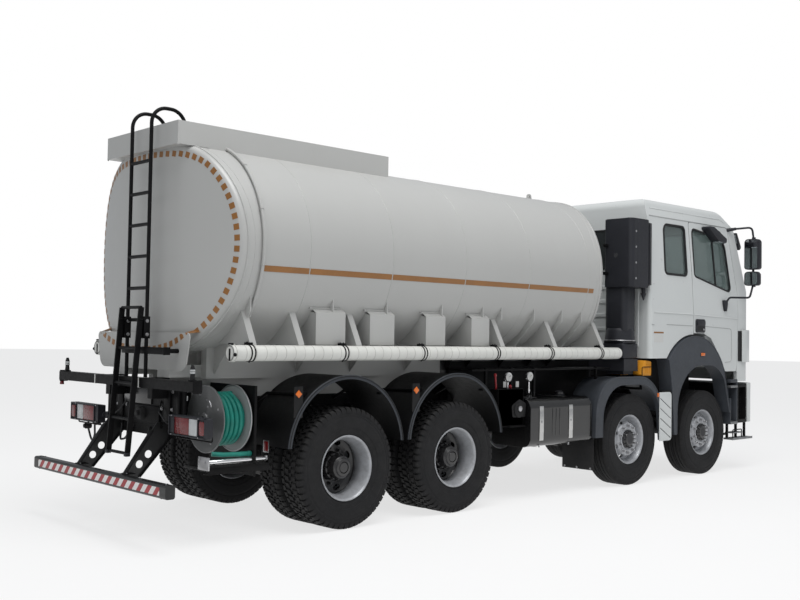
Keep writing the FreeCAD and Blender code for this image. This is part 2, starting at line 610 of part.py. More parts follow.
bar = plate("underrun_beam", "XZ_Plane", [("-45", "-57", "20"), ("45", "-57", "20"), ("45", "57", "20"), ("-45", "57", "20")],
            "2480", ("-4805", "0", "510"))
STRUT = [("-4300", "905"), ("-4290", "1000"), ("-4480", "1000"), ("-4530", "930"), ("-4800", "545"), ("-4640", "530")]
strut_holes = together("strut_holes", [rod("strut_hole%d" % i, (x, "-500", z), "36", "1000", "y")
                                       for i, (x, z) in enumerate((("-4558", "725"), ("-4642", "643")))])
struts = []
for i, y in enumerate(("437", "-437")):
    web = plate("strut%d" % i, "XZ_Plane", STRUT, "12", ("0", y, "0"))
    struts.append(cut("strut_holed%d" % i, web, strut_holes))
underrun_blank = fused("underrun", [bar] + struts)
node(cut("underrun_free", underrun_blank, drilled), "underrun_bar")

lamps = []
for word, side in SIDES:
    low_y = "650" if side > 0 else "-1235"
    lamp = block("tail_lamp_" + word, ("-4495", low_y, "912"), (85, 585, 172))
    arm_y = "560" if side > 0 else "-680"
    arm = block("tail_lamp_arm_" + word, ("-4450", arm_y, "960"), (85, 120, 60))
    lamps.append(fused("tail_lamp_set_" + word, [lamp, arm]))
    lamps.append(rod("marker_" + word, ("-4575", "%d * 1160" % side, "1390"), "25", "135"))
    head_y = "700" if side > 0 else "-1130"
    lamps.append(block("head_lamp_" + word, ("4646", head_y, "900"), (40, 430, 200)))
node(together("lamp_set", lamps), "lamps")

# ---------------------------------------------------------------- air intake
intake = plate("intake_box", "XY_Plane",
               [("1565", "-1250", "60"), ("1990", "-1250", "90"), ("1990", "-840", "20"), ("1565", "-840", "20")],
               "850", ("0", "0", "2875"))
duct = block("intake_duct", ("1620", "-1100", "1360"), (200, 260, 1100))
duct_foot = block("intake_foot", ("1600", "-1120", "1400"), (300, 740, 150))
duct_leg = block("intake_leg", ("1650", "-430", "rail_top_z"), (200, 80, 210))
node(fused("intake", [intake, duct, duct_foot, duct_leg]), "air_intake")

# ---------------------------------------------------------------- hose reel
REEL_Y = "-850"
REEL_Z = "1045"
reel_parts = [
    rod("reel_flange_rear", ("-4249", REEL_Y, REEL_Z), "295", "8", "x"),
    rod("reel_flange_front", ("-3969", REEL_Y, REEL_Z), "295", "8", "x"),
    rod("reel_drum", ("-4245", REEL_Y, REEL_Z), "100", "280", "x"),
]
reel_body = fused("reel_body", reel_parts)
reel_bore = rod("reel_bore", ("-4300", REEL_Y, REEL_Z), "25.3", "400", "x")
node(cut("reel", reel_body, reel_bore), "hose_reel")
coil_outer = rod("coil_outer", ("-4240", REEL_Y, REEL_Z), "236", "270", "x")
coil_bore = rod("coil_bore", ("-4250", REEL_Y, REEL_Z), "100.2", "300", "x")
node(cut("coil", coil_outer, coil_bore), "reel_hose")
shaft = rod("reel_shaft", ("-4275", REEL_Y, REEL_Z), "25", "340", "x")
back_plate = block("reel_back", ("-3935", "-1150", "560"), (10, 720, 780))
guide = rod("reel_guide", ("-4400", "-1120", "705"), "20", "475", "x")
stay = block("reel_stay", ("-3945", "-450", "1000"), (30, 20, 160))
node(fused("reel_frame", [shaft, back_plate, guide, stay]), "reel_bracket")

# ---------------------------------------------------------------- bumper and steps
BUMPER = [("4645", "1215", "30"), ("4645", "640", "90"), ("4400", "560"), ("4300", "560"), ("4300", "600"),
          ("4560", "660"), ("4560", "1160"), ("4300", "1160"), ("4300", "1215")]
bumper_front = plate("bumper_front", "XZ_Plane", BUMPER, "2440")
ends = []
for word, side in SIDES:
    low_y = "1100" if side > 0 else "-1240"
    ends.append(block("bumper_end_" + word, ("4190", low_y, "640"), (455, 140, 570)))
    ends.append(block("step_top_" + word, ("4000", low_y, "1150"), (200, 140, 30)))
    ends.append(block("step_back_" + word, ("4000", "1100" if side > 0 else "-1110", "640"), (200, 10, 540)))
    ends.append(block("step_tread_" + word, ("4000", low_y, "640"), (200, 140, 30)))
    ends.append(block("low_step_" + word, ("4040", low_y, "420"), (560, 140, 25)))
    for i, x in enumerate(("4060", "4540")):
        ends.append(block("step_hanger%d_%s" % (i, word), (x, "1120" if side > 0 else "-1140", "420"), (30, 20, 240)))
step = block("front_step", ("4500", "-700", "400"), (350, 1400, 40))
step_web = block("front_step_web", ("4500", "-600", "400"), (60, 1200, 220))
bumper_arms = [block("bumper_arm%d" % i, ("4251", y, "1000"), (330, 80, 120)) for i, y in enumerate(("350", "-430"))]
node(fused("bumper_set", [bumper_front] + ends + [step, step_web] + bumper_arms), "bumper")

# ---------------------------------------------------------------- cab
SIDE_VIEW = [("cab_rear_x", "1000"), ("cab_rear_x", "cab_roof_z", "110"), ("3790", "cab_roof_z", "160"),
             ("4185", "3375", "60"), ("4500", "2430", "80"), ("cab_front_x", "1980", "80"),
             ("cab_front_x", "1000")]
FRONT_VIEW = [("-cab_half_width", "1000"), ("-cab_half_width", "2150", "300"), ("-1150", "3375", "40"),
              ("-1105", "cab_roof_z - 10", "90"), ("0", "cab_roof_z + 30", "3000"), ("1105", "cab_roof_z - 10", "90"),
              ("1150", "3375", "40"), ("cab_half_width", "2150", "300"), ("cab_half_width", "1000")]
PLAN_VIEW = [("cab_rear_x", "-cab_half_width", "60"), ("cab_front_x - 40", "-cab_half_width", "230"),
             ("cab_front_x", "0", "4000"), ("cab_front_x - 40", "cab_half_width", "230"),
             ("cab_rear_x", "cab_half_width", "60")]


def view_prism(corners, inset, to_global, reach):
    """One view's outline, moved in by inset, swept straight across the cab."""
    wire = Part.Wire([edge.toShape() for edge in rounded_edges(corners)])
    if inset:
        wire = wire.makeOffset2D(-inset)
    face = Part.Face(wire)
    face.Placement = Placement(Vector(), to_global)
    normal = to_global.multVec(Vector(0, 0, 1))
    face.translate(normal * -reach)
    return face.extrude(normal * 2 * reach)


def cab_hull(inset):
    """The space common to the cab's side, front and plan outlines."""
    side_turn = Rotation(Vector(1, 0, 0), 90)
    front_turn = Rotation(Vector(0, 1, 0), Vector(0, 0, 1), Vector(1, 0, 0), "ZXY")
    side_prism = view_prism(SIDE_VIEW, inset, side_turn, 2000)
    front_prism = view_prism(FRONT_VIEW, inset, front_turn, 6000)
    plan_prism = view_prism(PLAN_VIEW, inset, Rotation(), 6000)
    return side_prism.common(front_prism).common(plan_prism)


hull = formed("cab_hull", cab_hull(0))
hollow = formed("cab_hollow", cab_hull(num("cab_wall")))
glass_out = formed("glass_outer", cab_hull(14))
glass_in = formed("glass_inner", cab_hull(20))
glass_skin = cut("glass_skin", glass_out, glass_in)

floor_slab = plate("floor_slab", "XZ_Plane",
                   [("cab_rear_x", "1560"), ("2400", "1560"), ("2400", "1905", "60"), ("3350", "1905", "100"),
                    ("3900", "1420", "60"), ("4560", "1420", "30"), ("4560", "2250"), ("4500", "2250"),
                    ("4500", "1480", "30"), ("3920", "1480", "60"), ("3380", "1960", "100"), ("2340", "1960", "60"),
                    ("2340", "1620"), ("cab_rear_x", "1620")], "2 * cab_half_width")
floor_piece = common("floor_piece", [floor_slab, hollow])
skin = cut("cab_skin", hull, hollow)

# the space of the wheel arches, the underside and the door, cut across the cab
ARCH_CUT = [("1900", "900"), ("1900", "1560"), ("2402", "1560"), ("2653", "1875", "815"), ("3572", "1875", "815"),
            ("3832", "1366"), ("4200", "1366"), ("4200", "1235"), ("4800", "1235"), ("4800", "900")]
arch_cut = plate("arch_cut", "XZ_Plane", ARCH_CUT, "3000")
DOOR = [("3040 + door_rear_gap", "1893"), ("3040 + door_rear_gap", "2680"), ("2998 + door_rear_gap", "3385 - door_gap", "40"),
        ("4020 - door_gap", "3385 - door_gap", "60"), ("4232 - door_gap", "2440", "30"), ("4186 - door_gap", "1430"),
        ("4165 - door_gap", "1376"), ("3874", "1376"), ("3712", "1588"), ("3490", "1830"), ("3300", "1893")]
OPENING = [("3040", "1800"), ("3040", "2680"), ("2998", "3385", "40"),
           ("4020", "3385", "60"), ("4232", "2440", "30"), ("4186", "1430"), ("4165", "1300"), ("3700", "1300")]
opening_prism = plate("opening_prism", "XZ_Plane", OPENING, "3000")
roof_box = block("roof_box", ("1900", "-1500", "3400"), (3000, 3000, 400))
GRILLE = [("4196", "1235"), ("4196", "1430"), ("4222", "2040"), ("4560", "2110"), ("4800", "2110"), ("4800", "1235")]
grille_prism = plate("grille_prism", "XZ_Plane", GRILLE, "3000")
# side window behind the door, and windscreen seen from the front
QUARTER = [("2400", "2655", "60"), ("2922", "2650", "60"), ("2900", "3300", "60"), ("2400", "3300", "90")]
quarter_prism = plate("quarter_prism", "XZ_Plane", QUARTER, "3000")
SCREEN = [("-1010", "2470", "80"), ("1010", "2470", "80"), ("940", "3340", "80"), ("-940", "3340", "80")]
screen_full = plate("screen_full", "YZ_Plane", SCREEN, "2000", ("4900", "0", "0"))
tools = fused("cab_openings", [arch_cut, opening_prism, roof_box, grille_prism, quarter_prism, screen_full])
open_shell = cut("open_shell", skin, tools)
node(fused("cab_panels", [open_shell, floor_piece]), "cab_shell")
roof_skin = common("roof_panel", [skin, roof_box])
node(roof_skin, "cab_roof")
node(common("grille_panel", [skin, grille_prism]), "grille")
glass_blocks = fused("glass_blocks", [quarter_prism, screen_full])
node(common("fixed_glass", [glass_skin, glass_blocks]), "cab_glass")

door_prism = plate("door_prism", "XZ_Plane", DOOR, "3000")
DOOR_WINDOW = [("3110", "2657", "60"), ("4045", "2470", "60"), ("3915", "3200", "200"), ("3080", "3300", "60")]
window_prism = plate("window_prism", "XZ_Plane", DOOR_WINDOW, "3000")
door_skin = cut("door_skin", common("door_blank", [skin, door_prism]), window_prism)
door_glass = common("door_glass_pair", [glass_skin, window_prism])
for word, side in SIDES:
    half = block("half_space_" + word, ("1500", "0" if side > 0 else "-2000", "1000"), (4000, 2000, 3500))
    node(common("door_piece_" + word, [door_skin, half]), "door_" + word)
    node(common("door_glass_piece_" + word, [door_glass, half]), "door_glass_" + word)
    low_y = "1330" if side > 0 else "-1560"
    main = plate("mirror_main_" + word, "XY_Plane",
                 [("4150", low_y, "40"), ("4150", "%s + 230" % low_y, "40"), ("4290", "%s + 200" % low_y, "60"),
                  ("4290", "%s + 30" % low_y, "60")], "430", ("0", "0", "3010"))
    wide = plate("mirror_wide_" + word, "XY_Plane",
                 [("4150", low_y, "40"), ("4150", "%s + 230" % low_y, "40"), ("4270", "%s + 200" % low_y, "50"),
                  ("4270", "%s + 30" % low_y, "50")], "200", ("0", "0", "2670"))
    arm_path = [(4000, side * 1085, 3360), (4180, side * 1445, 3390), (4230, side * 1445, 3200)]
    upper = formed("mirror_arm_" + word, pipe_shape(arm_path, 15, 40))
    low_path = [(3900, side * 1190, 2300), (4120, side * 1445, 2400), (4210, side * 1445, 2620)]
    lower = formed("mirror_foot_" + word, pipe_shape(low_path, 15, 40))
    stem = rod("mirror_stem_" + word, ("4210", "%d * 1445" % side, "2600"), "14", "300")
    arms = fused("mirror_blank_" + word, [main, wide, upper, lower, stem])
    node(cut("mirror_set_" + word, arms, hull), "mirrors_" + word)

# ---------------------------------------------------------------- inside the cab
seats = []
SEAT = [("2750", "1962"), ("3150", "1962"), ("3170", "2200"), ("3330", "2330", "50"), ("3300", "2430", "60"),
        ("2860", "2400", "40"), ("2740", "3050", "60"), ("2620", "3040", "60"), ("2700", "2300", "60")]
for word, side in SIDES:
    seats.append(plate("seat_" + word, "XZ_Plane", SEAT, "520", ("0", "%d * 640" % side, "0")))
node(together("seat_pair", seats), "seats")
DASH = [("4120", "1960", "60"), ("4440", "1960"), ("4400", "2390", "40"), ("4150", "2420", "60"), ("4060", "2250", "60")]
dash_body = plate("dash_body", "XZ_Plane", DASH, "2000")
column = formed("column", Part.makeCylinder(35, 330, Vector(4150, 640, 2150), Vector(-0.75, 0, 0.66)))
wheel_ring = formed("wheel_ring", Part.makeTorus(225, 16, Vector(3900, 640, 2370), Vector(-0.75, 0, 0.66)))
spoke = formed("spoke", Part.makeCylinder(13, 450, Vector(3900, 415, 2370), Vector(0, 1, 0)))
dash_all = fused("dash_all", [dash_body, column, wheel_ring, spoke])
node(common("dash_in_cab", [dash_all, hollow]), "dashboard")

doc.recompute()

# ---------------------------------------------------------------- checks and export
faults = []
for obj in doc.Objects:
    if "Invalid" in obj.State or "Error" in obj.State:
        faults.append("%s %s" % (obj.Name, obj.State))
for name, obj in NODES.items():
    if obj.Shape.isNull() or not obj.Shape.isValid() or not obj.Shape.Solids:
        faults.append("%s has no valid solid" % name)
if faults:
    raise RuntimeError("; ".join(faults))
os.makedirs("parts", exist_ok=True)
for name, obj in NODES.items():
    obj.Shape.exportStep("parts/%s.step" % name)
whole = Part.makeCompound([obj.Shape for obj in NODES.values()]).BoundBox
print(len(NODES), "sub-parts", whole)
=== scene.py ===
"""Four-axle tanker truck: surfaces, fittings and trim around its construction frame."""
import math

import bpy
from mathutils import Matrix, Vector


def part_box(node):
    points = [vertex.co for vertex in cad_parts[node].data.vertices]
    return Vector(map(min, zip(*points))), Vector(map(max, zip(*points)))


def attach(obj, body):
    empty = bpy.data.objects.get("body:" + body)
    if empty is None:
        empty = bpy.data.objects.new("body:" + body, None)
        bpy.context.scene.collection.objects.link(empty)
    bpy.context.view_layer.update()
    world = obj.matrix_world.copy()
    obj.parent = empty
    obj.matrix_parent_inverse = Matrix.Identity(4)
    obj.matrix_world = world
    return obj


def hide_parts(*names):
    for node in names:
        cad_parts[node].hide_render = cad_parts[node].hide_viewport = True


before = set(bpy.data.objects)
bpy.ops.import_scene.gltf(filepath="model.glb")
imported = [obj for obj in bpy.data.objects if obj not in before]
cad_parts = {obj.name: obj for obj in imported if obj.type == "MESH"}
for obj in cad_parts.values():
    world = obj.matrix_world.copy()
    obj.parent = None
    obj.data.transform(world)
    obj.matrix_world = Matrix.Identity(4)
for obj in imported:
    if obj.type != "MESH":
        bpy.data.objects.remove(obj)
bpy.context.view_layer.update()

bl_info = {
    "name": "Tanker Truck",
    "version": (1, 0, 0),
    "blender": (4, 5, 0),
    "location": "View3D > Sidebar > Tanker",
    "description": "Models a four-axle tanker truck piece by piece around its frame",
    "category": "Object",
}

SIDES = (("left", 1), ("right", -1))
FRONT_AXLES = (1, 2)
REAR_AXLES = (3, 4)
AXES = {"X": Vector((1, 0, 0)), "Y": Vector((0, 1, 0)), "Z": Vector((0, 0, 1))}


def middle(node):
    """The centre of a frame node's box."""
    low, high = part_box(node)
    return (low + high) / 2


# the tank's section, from its node's box
TANK_LOW, TANK_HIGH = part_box("tank")
TANK_WIDE = (TANK_HIGH.y - TANK_LOW.y) / 2
TANK_TALL = (TANK_HIGH.z - TANK_LOW.z) / 2
TANK_Z = (TANK_HIGH.z + TANK_LOW.z) / 2
# the section is two wide arcs, above and below, and two round sides; the heads are upright curves
SIDE_ARC = 0.95
SIDE_ARC_Y = TANK_WIDE - SIDE_ARC
TOP_ARC = (SIDE_ARC_Y ** 2 + TANK_TALL ** 2 - SIDE_ARC ** 2) / (2 * (TANK_TALL - SIDE_ARC))
ARC_MEETS = math.atan2(SIDE_ARC_Y, TOP_ARC - TANK_TALL)
HEAD_ARC = 3.57
SEAMS = (-3.43, -2.42, -1.395, -0.37, 0.705)

TYRE_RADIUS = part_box("tyre_1_left")[1].z / 2


class TruckSizes(bpy.types.PropertyGroup):
    """Sizes of the truck's fittings."""
    lug_depth: bpy.props.FloatProperty(name="Lug depth",
                                       description="Height of the drive tyres' tread blocks", default=0.015,
                                       min=0.005, max=0.025, unit="LENGTH")
    tread_pitches: bpy.props.IntProperty(name="Tread pitches", description="Tread blocks round a drive tyre",
                                         default=54, min=30, max=80)
    stripe_height: bpy.props.FloatProperty(name="Stripe height",
                                           description="Height of the tank's side stripe", default=0.052,
                                           min=0.02, max=0.1, unit="LENGTH")
    marker_count: bpy.props.IntProperty(name="Marker squares",
                                        description="Squares round the tank's rear head", default=72,
                                        min=20, max=90)
    marker_size: bpy.props.FloatProperty(name="Marker size",
                                         description="Side of each square on the rear head", default=0.052,
                                         min=0.02, max=0.08, unit="LENGTH")
    strap_width: bpy.props.FloatProperty(name="Strap width",
                                         description="Width of the fuel tank's metal straps", default=0.07,
                                         min=0.03, max=0.1, unit="LENGTH")
    hose_radius: bpy.props.FloatProperty(name="Hose radius",
                                         description="Radius of the hose wound on the reel", default=0.0205,
                                         min=0.015, max=0.03, unit="LENGTH")


def colour_property(name, description, value):
    return bpy.props.FloatVectorProperty(name=name, description=description, subtype="COLOR", size=3,
                                         default=value, min=0.0, max=1.0)


class TruckColours(bpy.types.PropertyGroup):
    """Paint and plastic colours of the truck."""
    tank: colour_property("Tank", "Tank and walkway paint", (0.46, 0.46, 0.445))
    cab: colour_property("Cab", "Cab and bumper paint", (0.64, 0.66, 0.65))
    marking: colour_property("Markings", "Side stripe and squares", (0.26, 0.095, 0.004))
    black: colour_property("Chassis", "Chassis and bracket paint", (0.006, 0.006, 0.0065))
    guard: colour_property("Mudguards", "Moulded mudguard plastic", (0.048, 0.054, 0.064))
    plastic: colour_property("Black plastic", "Mirrors, intake and trim", (0.02, 0.021, 0.026))
    rubber: colour_property("Rubber", "Tyres, straps and seals", (0.012, 0.012, 0.013))
    silver: colour_property("Silver", "Wheel paint", (0.42, 0.43, 0.45))
    hose: colour_property("Hose", "Hose on the reel", (0.008, 0.22, 0.17))
    reel: colour_property("Reel", "Hose reel's flanges", (0.33, 0.34, 0.34))
    chock: colour_property("Chocks", "Wheel chocks", (0.72, 0.30, 0.02))
    red: colour_property("Red", "Warning stripes, valves and tail lamps", (0.34, 0.006, 0.012))
    glass: colour_property("Glass", "Window tint", (0.30, 0.36, 0.35))


def size(name):
    return getattr(bpy.context.scene.truck_sizes, name)


def tint(name, shade=1.0):
    """A colour of the panel's, made lighter or darker, with its alpha."""
    return tuple(min(1.0, part * shade) for part in getattr(bpy.context.scene.truck_colours, name)) + (1.0,)


# ---------------------------------------------------------------- modelling tools
def deselect():
    if bpy.context.mode != "OBJECT":
        bpy.ops.object.mode_set(mode="OBJECT")
    bpy.ops.object.select_all(action="DESELECT")


def select(*shapes):
    deselect()
    for shape in shapes:
        shape.select_set(True)
    bpy.context.view_layer.objects.active = shapes[0]


def settle():
    """Write the active shape's place and turn into its mesh."""
    bpy.ops.object.transform_apply(location=True, rotation=True, scale=True)
    return bpy.context.object


def modify(shape, kind, **settings):
    """Add a modifier to a shape and apply it."""
    select(shape)
    modifier = shape.modifiers.new(kind.title(), kind)
    for name, value in settings.items():
        setattr(modifier, name, value)
    bpy.ops.object.modifier_apply(modifier=modifier.name)
    return shape


def soften(shape, width, segments=2):
    """Round a shape's sharp edges."""
    if width > 0:
        modify(shape, "BEVEL", width=width, segments=segments, limit_method="ANGLE",
               angle_limit=math.radians(40), use_clamp_overlap=True)
    return shape


def outward(shape):
    """Merge a shape's doubles and turn its faces outwards."""
    select(shape)
    bpy.ops.object.mode_set(mode="EDIT")
    bpy.ops.mesh.select_all(action="SELECT")
    bpy.ops.mesh.remove_doubles(threshold=0.00002)
    bpy.ops.mesh.normals_make_consistent(inside=False)
    bpy.ops.object.mode_set(mode="OBJECT")
    return shape


def box(low, high, bevel=0.0, segments=2):
    """A block between two corners."""
    low, high = Vector(low), Vector(high)
    deselect()
    bpy.ops.mesh.primitive_cube_add(size=1, location=(low + high) / 2, scale=high - low)
    return soften(settle(), bevel, segments)


def rod(start, end, radius, tip=None, sides=20, bevel=0.0):
    """A round bar between two points; tip is its radius at the end."""
    start, end = Vector(start), Vector(end)
    deselect()
    bpy.ops.mesh.primitive_cone_add(vertices=sides, radius1=radius, radius2=radius if tip is None else tip,
                                    depth=(end - start).length, location=(start + end) / 2,
                                    rotation=(end - start).to_track_quat("Z", "Y").to_euler())
    return soften(settle(), bevel)


def ring(centre, along, radius, wire, sides=36, wire_sides=8):
    """A torus about an axis."""
    deselect()
    bpy.ops.mesh.primitive_torus_add(major_radius=radius, minor_radius=wire, major_segments=sides,
                                     minor_segments=wire_sides, location=centre,
                                     rotation=Vector(along).to_track_quat("Z", "Y").to_euler())
    return settle()


def ball(centre, radius, squash=(1, 1, 1), sides=20):
    """A ball, squashed along the axes."""
    deselect()
    bpy.ops.mesh.primitive_uv_sphere_add(segments=sides, ring_count=sides // 2, radius=radius,
                                         location=centre, scale=squash)
    return settle()


def rounded(corners, steps=5):
    """The points of an outline whose corners are (a, b) or (a, b, radius)."""
    points = []
    count = len(corners)
    for i, corner in enumerate(corners):
        here = Vector(corner[:2])
        if len(corner) < 3:
            points.append(here)
            continue
        back = (Vector(corners[i - 1][:2]) - here).normalized()
        ahead = (Vector(corners[(i + 1) % count][:2]) - here).normalized()
        half = back.angle(ahead) / 2
        centre = here + (back + ahead).normalized() * corner[2] / math.sin(half)
        start = here + back * corner[2] / math.tan(half) - centre
        end = here + ahead * corner[2] / math.tan(half) - centre
        sweep = start.angle_signed(end)
        for step in range(steps + 1):
            turn = -sweep * step / steps
            points.append(centre + Vector((start.x * math.cos(turn) - start.y * math.sin(turn),
                                           start.x * math.sin(turn) + start.y * math.cos(turn))))
    return points


def on_plane(axis, a, b, level):
    """The point at a, b of the plane across an axis."""
    return Vector({"X": (level, a, b), "Y": (a, level, b), "Z": (a, b, level)}[axis])


def corners_of(left, low, right, high, radius=0.0):
    """A rectangle's corners, all rounded alike."""
    fillet = (radius,) if radius else ()
    return [(left, low, *fillet), (right, low, *fillet), (right, high, *fillet), (left, high, *fillet)]


def outline(corners, axis, low, high, bevel=0.0, steps=5):
    """A plate between two levels of an axis, from its rounded outline."""
    points = rounded(corners, steps)
    deselect()
    bpy.ops.mesh.primitive_circle_add(vertices=len(points), fill_type="NGON")
    plate = bpy.context.object
    for vertex, point in zip(plate.data.vertices, points):
        vertex.co = on_plane(axis, point.x, point.y, low)
    bpy.ops.object.mode_set(mode="EDIT")
    bpy.ops.mesh.select_all(action="SELECT")
    bpy.ops.mesh.extrude_region_move(TRANSFORM_OT_translate={"value": AXES[axis] * (high - low)})
    return soften(outward(plate), bevel)


def lathe(profile, centre, along="Y", steps=72):
    """A closed profile of (offset, radius[, fillet]) turned about an axis."""
    points = rounded(profile, 4)
    deselect()
    bpy.ops.mesh.primitive_circle_add(vertices=len(points))
    turned = bpy.context.object
    across = {"X": AXES["Z"], "Y": AXES["Z"], "Z": AXES["X"]}[along]
    for vertex, point in zip(turned.data.vertices, points):
        vertex.co = Vector(centre) + AXES[along] * point.x + across * point.y
    bpy.ops.object.mode_set(mode="EDIT")
    bpy.ops.mesh.select_all(action="SELECT")
    bpy.ops.mesh.spin(steps=steps, angle=2 * math.pi, center=centre, axis=AXES[along])
    return outward(turned)


def repeat_round(shape, centre, along, count):
    """Copies of a shape, evenly spaced about an axis, in one mesh."""
    select(shape)
    bpy.ops.object.mode_set(mode="EDIT")
    bpy.ops.mesh.select_all(action="SELECT")
    bpy.ops.mesh.spin(steps=count - 1, angle=2 * math.pi * (count - 1) / count, center=centre,
                      axis=AXES[along], dupli=True)
    bpy.ops.object.mode_set(mode="OBJECT")
    return shape


def copied(shape):
    """A copy with a mesh of its own."""
    twin = shape.copy()
    twin.data = shape.data.copy()
    bpy.context.scene.collection.objects.link(twin)
    return twin


def turned_by(shape, turn):
    """Turn a shape about the origin."""
    shape.data.transform(turn)
    return shape


def mirrored(shape):
    """A copy on the other side of the truck."""
    twin = turned_by(copied(shape), Matrix.Scale(-1, 4, AXES["Y"]))
    twin.data.flip_normals()
    return twin


def both_sides(shape):
    return [shape, mirrored(shape)]


def join(shapes, name=None):
    """One mesh of several shapes, each keeping its material."""
    select(*shapes)
    if len(shapes) > 1:
        bpy.ops.object.join()
    if name:
        bpy.context.object.name = name
        bpy.context.object.data.name = name
    return bpy.context.object


def pipe(points, radius, bend=0.04, sides=8, closed=False):
    """A round bar along straight runs joined by arcs."""
    steps = 5
    points = [Vector(point) for point in points]
    track = [] if closed else [points[0]]
    last = len(points) if closed else len(points) - 1
    for i in range(0 if closed else 1, last):
        here = points[i]
        to_back = points[i - 1] - here
        to_ahead = points[(i + 1) % len(points)] - here
        half = to_back.angle(to_ahead) / 2
        reach = min(bend / math.tan(half), 0.49 * to_back.length, 0.49 * to_ahead.length)
        start = here + to_back.normalized() * reach
        end = here + to_ahead.normalized() * reach
        for step in range(steps + 1):
            share = step / steps
            track.append(start.lerp(here, share).lerp(here.lerp(end, share), share))
    if not closed:
        track.append(points[-1])
    return bar_along(track, radius, sides, closed)


def bar_along(track, radius, sides=8, closed=False):
    """A round bar whose centre line passes through many points."""
    deselect()
    bpy.ops.curve.primitive_nurbs_path_add()
    curve = bpy.context.object
    curve.data.splines.clear()
    spline = curve.data.splines.new("POLY")
    spline.points.add(len(track) - 1)
    for point, place in zip(spline.points, track):
        point.co = (*place, 1.0)
    spline.use_cyclic_u = closed
    curve.data.bevel_depth = radius
    curve.data.bevel_resolution = max(0, sides // 2 - 2)
    curve.data.use_fill_caps = not closed
    bpy.ops.object.convert(target="MESH")
    return outward(settle())


def cut_with(shape, cutters):
    """Take cutters out of a shape."""
    tool = join(cutters)
    modify(shape, "BOOLEAN", operation="DIFFERENCE", object=tool, solver="EXACT")
    bpy.data.objects.remove(tool)
    return shape


def sheet_grid(across, along, place):
    """A sheet of across by along faces, each corner put where place(u, v) says."""
    deselect()
    bpy.ops.mesh.primitive_grid_add(x_subdivisions=across, y_subdivisions=along, size=1)
    sheet = bpy.context.object
    for vertex in sheet.data.vertices:
        vertex.co = place(vertex.co.x + 0.5, vertex.co.y + 0.5)
    return sheet


def thicken(sheet, thick):
    return modify(sheet, "SOLIDIFY", thickness=thick, offset=0.0)


def coat(material, *shapes):
    """Give shapes a material of their own before they are joined."""
    for shape in shapes:
        shape.data.materials.clear()
        shape.data.materials.append(material)
    return shapes[0] if len(shapes) == 1 else list(shapes)


def fit(name, shapes, body="chassis", material=None, smooth=32, stands_for=()):
    """Join shapes into a finished piece that rides on a body."""
    if material:
        coat(material, *shapes)
    piece = join(shapes, name)
    select(piece)
    bpy.ops.object.shade_smooth_by_angle(angle=math.radians(smooth))
    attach(piece, body)
    if stands_for:
        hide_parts(*stands_for)
    return piece


def dress(material, *nodes):
    """Give frame nodes a finish."""
    for name in nodes:
        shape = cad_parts[name]
        shape.data.materials.clear()
        shape.data.materials.append(material)


def hex_bolt(place, along, radius, height):
    """A bolt head on a washer."""
    place, along = Vector(place), Vector(along).normalized()
    head = rod(place, place + along * height, radius, radius * 0.94, sides=6)
    washer = rod(place, place + along * height * 0.25, radius * 1.45, sides=12)
    return [head, washer]


def tank_point(x, angle, lift=0.0):
    """A point of the tank's barrel; angle 0 is the top and 90 its right side."""
    turn = math.radians(angle)
    out = Vector((0, -math.sin(turn), math.cos(turn)))
    if abs(out.y) > math.sin(ARC_MEETS):
        centre, radius = Vector((x, math.copysign(SIDE_ARC_Y, out.y), TANK_Z)), SIDE_ARC
    else:
        centre, radius = Vector((x, 0, TANK_Z - math.copysign(TOP_ARC - TANK_TALL, out.z))), TOP_ARC
    return centre + out * (radius + lift)


def tank_angle(z):
    """The angle at which the right side of the barrel has a height."""
    return math.degrees(math.acos((z - TANK_Z) / SIDE_ARC))


def round_tank(share):
    """The barrel's angle after a share of the way round it, even steps giving even lengths."""
    quarter, part = int(share * 4) % 4, share * 4 % 1
    flat, side = TOP_ARC * ARC_MEETS, SIDE_ARC * (math.pi / 2 - ARC_MEETS)
    run = (1 - part if quarter % 2 else part) * (flat + side)
    angle = math.degrees(run / TOP_ARC if run < flat else ARC_MEETS + (run - flat) / SIDE_ARC)
    return (angle, 180 - angle, 180 + angle, 360 - angle)[quarter]


def head_x(y, front=False):
    """Where a head of the tank stands, at a distance from its middle."""
    back = HEAD_ARC - math.sqrt(HEAD_ARC ** 2 - y ** 2)
    return TANK_HIGH.x - back if front else TANK_LOW.x + back


